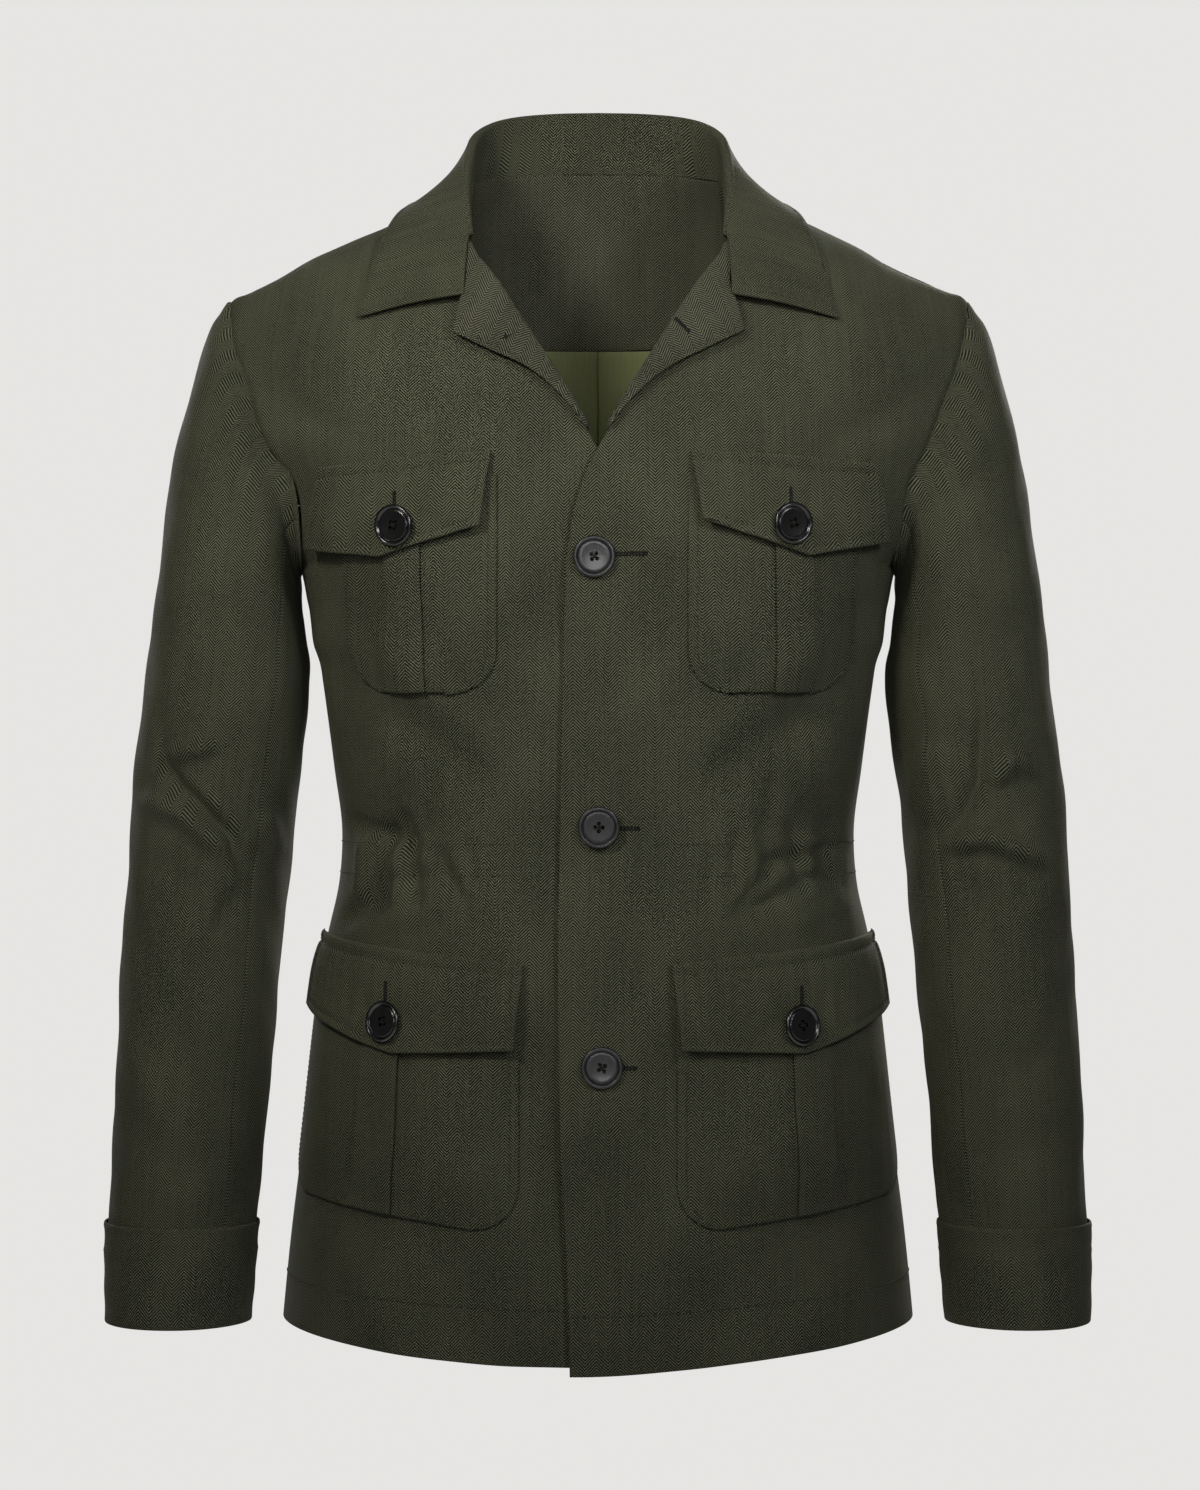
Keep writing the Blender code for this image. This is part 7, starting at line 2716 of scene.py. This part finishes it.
@dataclass
class Buttons:
    """Seven four-hole buttons with a dished face, a groove and a raised rim."""

    drape: Drape
    radius: float = 0.0126
    segments: int = 56
    hole_radius: float = 0.00115
    hole_spread: float = 0.0022
    profile: tuple[ProfilePoint, ...] = (
        ProfilePoint(0.0000, 0.00225),
        ProfilePoint(0.0045, 0.00228),
        ProfilePoint(0.0075, 0.00250),
        ProfilePoint(0.0088, 0.00262),
        ProfilePoint(0.0093, 0.00245),
        ProfilePoint(0.0096, 0.00210),
        ProfilePoint(0.0100, 0.00235),
        ProfilePoint(0.0104, 0.00320),
        ProfilePoint(0.0110, 0.00358),
        ProfilePoint(0.0117, 0.00350),
        ProfilePoint(0.0123, 0.00300),
        ProfilePoint(0.0126, 0.00220),
        ProfilePoint(0.0124, 0.00130),
        ProfilePoint(0.0115, 0.00030),
        ProfilePoint(0.0108, 0.00000),
        ProfilePoint(0.0000, 0.00000),
    )
    names: tuple[str, ...] = ("button_front_1", "button_front_2", "button_front_3",
                              "button_chest_left", "button_chest_right",
                              "button_hip_left", "button_hip_right")

    def turned(self) -> bpy.types.Mesh:
        """The button's mesh, facing +Z, with its four holes."""
        mesh = bpy.data.meshes.new("button_profile")
        mesh.from_pydata([(p.r, 0.0, p.h) for p in self.profile],
                         [(i, i + 1) for i in range(len(self.profile) - 1)], [])
        blank = bpy.data.objects.new("button_blank", mesh)
        bpy.context.scene.collection.objects.link(blank)
        screw = blank.modifiers.new("Turn", "SCREW")
        screw.steps = screw.render_steps = self.segments
        screw.use_merge_vertices = True
        screw.merge_threshold = 0.00001
        drills = []
        for corner in range(4):
            angle = math.radians(45 + 90 * corner)
            shape = bmesh.new()
            place = Matrix.Translation((self.hole_spread * math.cos(angle),
                                        self.hole_spread * math.sin(angle), 0.0016))
            bmesh.ops.create_cone(shape, cap_ends=True, segments=20, radius1=self.hole_radius * 0.9,
                                  radius2=self.hole_radius * 1.25, depth=0.010, matrix=place)
            data = bpy.data.meshes.new("drill")
            shape.to_mesh(data)
            shape.free()
            drill = bpy.data.objects.new("drill", data)
            bpy.context.scene.collection.objects.link(drill)
            bore = blank.modifiers.new("Hole", "BOOLEAN")
            bore.operation = "DIFFERENCE"
            bore.solver = "EXACT"
            bore.object = drill
            drills.append(drill)
        bpy.context.view_layer.update()
        graph = bpy.context.evaluated_depsgraph_get()
        made = bpy.data.meshes.new_from_object(blank.evaluated_get(graph))
        for old in (blank, *drills):
            bpy.data.objects.remove(old)
        return made

    def thread(self) -> tuple[list[tuple[float, float, float]], list[tuple[int, ...]]]:
        """Two crossed threads between the holes, sunk a little at their ends."""
        points: list[tuple[float, float, float]] = []
        faces: list[tuple[int, ...]] = []
        for turn, rise in ((45.0, 0.0), (135.0, 0.00035)):
            angle = math.radians(turn)
            along = np.array([math.cos(angle), math.sin(angle), 0.0])
            aside = np.array([-along[1], along[0], 0.0])
            for offset in (-0.00028, 0.00028):
                first = len(points)
                for t in np.linspace(-1.0, 1.0, 9):
                    lift = 0.00262 + rise - 0.0018 * abs(t) ** 5
                    middle = along * self.hole_spread * t + aside * offset * (1.0 - 0.5 * abs(t))
                    for corner in range(6):
                        swing = 2.0 * math.pi * corner / 6
                        ring = aside * math.cos(swing) + np.array([0, 0, 1.0]) * math.sin(swing)
                        points.append(tuple(middle + ring * 0.00032 + np.array([0, 0, lift])))
                for r in range(8):
                    for k in range(6):
                        low, high = first + r * 6, first + r * 6 + 6
                        faces.append((low + k, low + (k + 1) % 6, high + (k + 1) % 6, high + k))
        return points, faces

    def build(self, finishes: Wardrobe) -> None:
        """Set each button where its node is, square to the cloth beneath.

        Args:
            finishes: the finished materials.
        """
        blank = self.turned()
        threads, thread_faces = self.thread()
        for index, name in enumerate(self.names):
            low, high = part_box(name)
            centre = 0.5 * (low + high)
            normal = self.normal_at(centre)
            spin = Vector(normal).to_track_quat("Z", "Y").to_matrix().to_4x4()
            twist = Matrix.Rotation(math.radians((7, 43, -12, 20, -8, 51, 12)[index]), 4, "Z")
            place = Matrix.Translation(centre - Vector(normal) * 0.0018) @ spin @ twist
            shape = bmesh.new()
            shape.from_mesh(blank)
            added = [shape.verts.new(p) for p in threads]
            for corners in thread_faces:
                face = shape.faces.new([added[i] for i in corners])
                face.material_index = 1
            shape.transform(place)
            mesh = bpy.data.meshes.new(name + "_resin")
            shape.to_mesh(mesh)
            shape.free()
            mesh.shade_smooth()
            mesh.set_sharp_from_angle(angle=math.radians(50))
            mesh.materials.append(finishes.button if "front" in name else finishes.black_button)
            mesh.materials.append(finishes.dark_thread)
            piece = bpy.data.objects.new(name + "_resin", mesh)
            bpy.context.scene.collection.objects.link(piece)
            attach(piece, "root")
            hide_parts(name)
            LOG.info("%s: %d vertices", piece.name, len(mesh.vertices))

    def normal_at(self, centre: Vector) -> Array:
        """Outward normal of the front's form at a button.

        Args:
            centre: column or point at the middle.

        Returns:
            The normal.
        """
        side = Side.LEFT if centre.x > -0.01 else Side.RIGHT
        a, z = side.value * centre.x, centre.z
        span = 0.010
        places = [(a + i * span, z + j * span) for j in (-1, 0, 1) for i in (-1, 0, 1)]
        grid = np.array([[p, float(self.drape.form.front_y(p, q)), q]
                         for p, q in places]).reshape(3, 3, 3)
        return mirrored(grid_normals(grid, 1), side)[1, 1]


class Mark(NamedTuple):
    """A worked buttonhole, or a bar of thread if its half width is 0, seen from the front."""

    cloth: str
    x0: float
    z0: float
    x1: float
    z1: float
    half_width: float
    dark: bool


def seat(cloth: Cloth, x: Array, z: Array, lift: float) -> tuple[Array, Array]:
    """Points on a cloth's outer face behind places seen from the front.

    Args:
        cloth: the cloth.
        x: places across.
        z: heights.
        lift: how far off the cloth.

    Returns:
        The points and the cloth's normals there.
    """
    there = np.ones(cloth.points.shape[:2], bool) if cloth.present is None else cloth.present
    spots, outs = cloth.points[there], grid_normals(cloth.points, cloth.turn)[there]
    spots, outs = spots[outs[:, 1] < -0.2], outs[outs[:, 1] < -0.2]
    apart = (spots[None, :, 0] - x[:, None]) ** 2 + (spots[None, :, 2] - z[:, None]) ** 2
    near = np.argpartition(apart, 6, axis=1)[:, :6]
    weight = 1.0 / (np.take_along_axis(apart, near, axis=1) + 1e-6)
    weight = weight / weight.sum(axis=1, keepdims=True)
    y = (spots[near, 1] * weight).sum(axis=1)
    out = unit((outs[near] * weight[:, :, None]).sum(axis=1))
    return np.stack([x, y, z], axis=1) + out * lift, out


def tube(path: Array, out: Array, radius: Array,
         closed: bool) -> tuple[Array, list[tuple[int, ...]]]:
    """A strand of thread along a path.

    Args:
        path: its middle.
        out: direction off the cloth at each point.
        radius: its radius at each point.
        closed: whether its ends meet.

    Returns:
        Points and faces.
    """
    around = 6
    run = np.roll(path, -1, axis=0) - np.roll(path, 1, axis=0)
    if not closed:
        run[0], run[-1] = path[1] - path[0], path[-1] - path[-2]
    aside = unit(np.cross(run, out))
    swing = np.arange(around) * 2.0 * math.pi / around
    ring = (aside[:, None] * np.cos(swing)[None, :, None]
            + out[:, None] * np.sin(swing)[None, :, None])
    points = (path[:, None] + ring * radius[:, None, None]).reshape(-1, 3)
    count = len(path)
    faces = []
    for i in range(count if closed else count - 1):
        for k in range(around):
            low, high = i * around, (i + 1) % count * around
            after = (k + 1) % around
            faces.append((low + k, high + k, high + after, low + after))
    if not closed:
        faces.append(tuple(range(around)))
        faces.append(tuple(reversed(range((count - 1) * around, count * around))))
    return points, faces


@dataclass
class Buttonholes:
    """Worked buttonholes, bar tacks and the lapels' thread marks."""

    cloths: dict[str, Cloth]
    lift: float = 0.00035
    strand: float = 0.00050
    marks: tuple[Mark, ...] = (
        Mark("front_left", 0.0030, -0.2216, 0.0292, -0.2212, 0.00075, True),
        Mark("front_left", 0.0030, -0.3848, 0.0246, -0.3848, 0.00075, True),
        Mark("front_left", 0.0030, -0.5270, 0.0228, -0.5270, 0.00075, True),
        Mark("chest_right", -0.1215, -0.1840, -0.1215, -0.2010, 0.00060, True),
        Mark("chest_left", 0.1150, -0.1815, 0.1152, -0.1990, 0.00060, True),
        Mark("hip_right", -0.1275, -0.4775, -0.1275, -0.4950, 0.00060, True),
        Mark("hip_left", 0.1222, -0.4795, 0.1222, -0.4970, 0.00060, True),
        Mark("lapel_right", -0.0590, -0.0925, -0.0514, -0.0896, 0.0, True),
        Mark("lapel_right", -0.0556, -0.0882, -0.0545, -0.0945, 0.0, True),
        Mark("lapel_left", 0.0464, -0.0795, 0.0546, -0.0882, 0.00055, True),
        Mark("front_left", 0.0820, -0.4120, 0.0823, -0.4190, 0.0, False),
        Mark("front_right", -0.0820, -0.4110, -0.0822, -0.4180, 0.0, False),
    )

    def build(self, finishes: Wardrobe) -> None:
        """Lay every mark on its cloth.

        Args:
            finishes: the finished materials.
        """
        for dark, material, name in ((True, finishes.dark_thread, "buttonhole_twist"),
                                     (False, finishes.thread, "bar_tacks")):
            points, faces, first = [], [], 0
            for mark in self.marks:
                if mark.dark is not dark:
                    continue
                ring, corners = self.worked(mark)
                points.extend(ring.tolist())
                faces.extend(tuple(first + i for i in face) for face in corners)
                first += len(ring)
            mesh = bpy.data.meshes.new(name)
            mesh.from_pydata(points, [], faces)
            mesh.shade_smooth()
            mesh.materials.append(material)
            piece = bpy.data.objects.new(name, mesh)
            bpy.context.scene.collection.objects.link(piece)
            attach(piece, "root")
            LOG.info("%s: %d faces", name, len(faces))

    def worked(self, mark: Mark) -> tuple[Array, list[tuple[int, ...]]]:
        """The thread of one mark: a bar, or a closed loop round a slit.

        Args:
            mark: the mark to work.

        Returns:
            The points and the faces of the thread.
        """
        first, last = np.array([mark.x0, mark.z0]), np.array([mark.x1, mark.z1])
        if mark.half_width == 0.0:
            share = np.linspace(0.0, 1.0, 9)
            flat = first + (last - first) * share[:, None]
            radius = self.strand * (0.55 + 0.45 * np.sin(math.pi * share))
        else:
            turn = np.linspace(0.0, 2.0 * math.pi, 48, endpoint=False)
            run = unit(last - first)
            reach = np.clip(np.cos(turn) * 3.0, -1.0, 1.0) * 0.5 * np.linalg.norm(last - first)
            flat = 0.5 * (first + last) + reach[:, None] * run
            flat = flat + (np.sin(turn) * mark.half_width)[:, None] * np.array([-run[1], run[0]])
            radius = self.strand * (1.0 + 0.18 * np.sin(turn * 23.0))
        path, out = seat(self.cloths[mark.cloth], flat[:, 0], flat[:, 1], self.lift)
        return tube(path, out, radius, mark.half_width > 0.0)


def main() -> None:
    """Build the jacket in the studio, piece by piece."""
    logging.basicConfig(level=logging.INFO, format="%(message)s")
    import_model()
    Studio().build()
    finishes = Wardrobe()
    drape = Drape()
    fronts = Fronts(drape)
    fronts.build(finishes)
    back = BackPanel(drape)
    back.build(finishes)
    sleeves = Sleeves(drape.form)
    sleeves.build(finishes)
    collar = Collar(fronts)
    collar.build(finishes)
    stitching = Stitching()
    for part in (fronts, back, sleeves, collar):
        stitching.lines.extend(part.stitch_lines())
    worked = fronts.faces()
    for pocket in pockets(drape):
        pocket.build(finishes)
        stitching.lines.extend(pocket.stitch_lines())
        worked["%s_%s" % (pocket.kind.value, pocket.side.word)] = pocket.sheets["flap"]
    stitching.build(finishes)
    Buttons(drape).build(finishes)
    Buttonholes(worked).build(finishes)


def pockets(drape: Drape) -> list[PatchPocket]:
    """The four pockets, each with its own outlines.

    Args:
        drape: the trunk with its folds and waves.

    Returns:
        The four pockets.
    """
    hip_patch = Patch(0.0470, 0.2360, -0.478, -0.6265, -0.6060, 0.030)
    hip_flap = Flap(0.0440, 0.2105, -0.4655, -0.4495, 0.0050, -0.5175, -0.4960, -0.5205, 0.45)
    return [
        PatchPocket(drape, Side.LEFT, Kind.CHEST,
                    Patch(0.0536, 0.1580, -0.174, -0.3045, -0.3035, 0.026),
                    Pleat(0.1040, 0.1285, 0.1045, 0.1265),
                    Flap(0.0548, 0.1656, -0.1598, -0.1640, 0.0064, -0.2017, -0.2096, -0.2202, 0.55),
                    (0.1120, -0.2026)),
        PatchPocket(drape, Side.RIGHT, Kind.CHEST,
                    Patch(0.0600, 0.1550, -0.174, -0.3045, -0.3035, 0.026),
                    Pleat(0.1065, 0.1260, 0.1010, 0.1260),
                    Flap(0.0630, 0.1690, -0.1598, -0.1665, 0.0058, -0.2047, -0.2138, -0.2208, 0.55),
                    (0.1172, -0.2036)),
        PatchPocket(drape, Side.LEFT, Kind.HIP, hip_patch,
                    Pleat(0.1165, 0.1430, 0.1215, 0.1490), hip_flap, (0.1260, -0.5040),
                    patch_cells=(24, 10, 34), flap_cells=(84, 34)),
        PatchPocket(drape, Side.RIGHT, Kind.HIP, hip_patch,
                    Pleat(0.1190, 0.1430, 0.1270, 0.1600), hip_flap, (0.1330, -0.5020),
                    patch_cells=(24, 10, 34), flap_cells=(84, 34)),
    ]


# ---------------------------------------------------------------- studio
class AreaLight(NamedTuple):
    """A soft box: where it is, what it faces, its size, power, spread in degrees and tint."""

    name: str
    place: tuple[float, float, float]
    aim: tuple[float, float, float]
    size: float
    power: float
    spread: float
    tint: str


@dataclass(frozen=True)
class Studio:
    """Camera, soft lights, pale surround and floor."""

    camera_place: tuple[float, float, float] = (0.00125, -2.5, -0.335)
    lens: float = 96.6
    surround: str = "#e6e5e3"
    ambient: float = 0.12
    floor_z: float = -1.42
    floor_reach: float = 3.0
    lights: tuple[AreaLight, ...] = (
        AreaLight("key", (-0.92, -1.50, 0.66), (0.00, 0.0, -0.10), 0.34, 2.2, 56.0, "#fffbf4"),
        AreaLight("front", (-0.06, -2.35, 0.10), (0.00, 0.0, -0.12), 0.50, 0.7, 42.0, "#ffffff"),
        AreaLight("fill", (0.96, -1.50, 0.50), (0.0, 0.0, -0.14), 0.42, 1.5, 56.0, "#fbfbff"),
        AreaLight("top", (0.10, 0.75, 1.20), (0.0, 0.1, -0.1), 0.9, 1.0, 120.0, "#ffffff"),
        AreaLight("back", (0.95, 1.95, 0.60), (0.0, 0.0, -0.26), 0.60, 6.0, 60.0, "#fffbf4"),
        AreaLight("back_fill", (-1.10, 1.80, 0.30), (0.0, 0.0, -0.30), 0.80, 3.6, 70.0, "#fbfbff"),
    )

    def surroundings(self) -> bpy.types.World:
        """Pale surround, plain behind the jacket and dimmer as a light on it."""
        world = bpy.data.worlds.new("surround")
        world.use_nodes = True
        tree = world.node_tree
        tree.nodes.clear()
        seen = add(tree, "ShaderNodeLightPath").outputs["Is Camera Ray"]
        glow = math_node(tree, "MULTIPLY_ADD", seen, 1.0 - self.ambient, self.ambient)
        plain = add(tree, "ShaderNodeBackground",
                    {"Color": linear(self.surround), "Strength": glow})
        add(tree, "ShaderNodeOutputWorld", {0: plain.outputs[0]})
        return world

    def build(self) -> None:
        """Set up the camera first, then the light and the floor."""
        scene = bpy.context.scene
        camera = bpy.data.cameras.new("camera")
        camera.lens = self.lens
        camera.sensor_width = 36.0
        camera.clip_end = 60.0
        holder = bpy.data.objects.new("camera", camera)
        holder.location = self.camera_place
        holder.rotation_euler = (0.5 * math.pi, 0.0, 0.0)
        scene.collection.objects.link(holder)
        scene.camera = holder
        scene.view_settings.view_transform = "Standard"
        scene.world = self.surroundings()
        for light in self.lights:
            lamp = bpy.data.lights.new(light.name, "AREA")
            lamp.size = light.size
            lamp.energy = light.power
            lamp.spread = math.radians(light.spread)
            lamp.color = linear(light.tint)[:3]
            stand = bpy.data.objects.new(light.name, lamp)
            stand.location = light.place
            aim = Vector(light.aim) - Vector(light.place)
            stand.rotation_euler = aim.to_track_quat("-Z", "Y").to_euler()
            scene.collection.objects.link(stand)
        mesh = bpy.data.meshes.new("floor")
        ring = [(self.floor_reach * math.cos(t), self.floor_reach * math.sin(t), self.floor_z)
                for t in np.linspace(0.0, 2.0 * math.pi, 96, endpoint=False)]
        mesh.from_pydata(ring, [], [list(range(96))])
        mesh.materials.append(StudioFloor().make())
        floor = bpy.data.objects.new("floor", mesh)
        scene.collection.objects.link(floor)
        floor.visible_diffuse = False


if __name__ == "__main__":
    main()
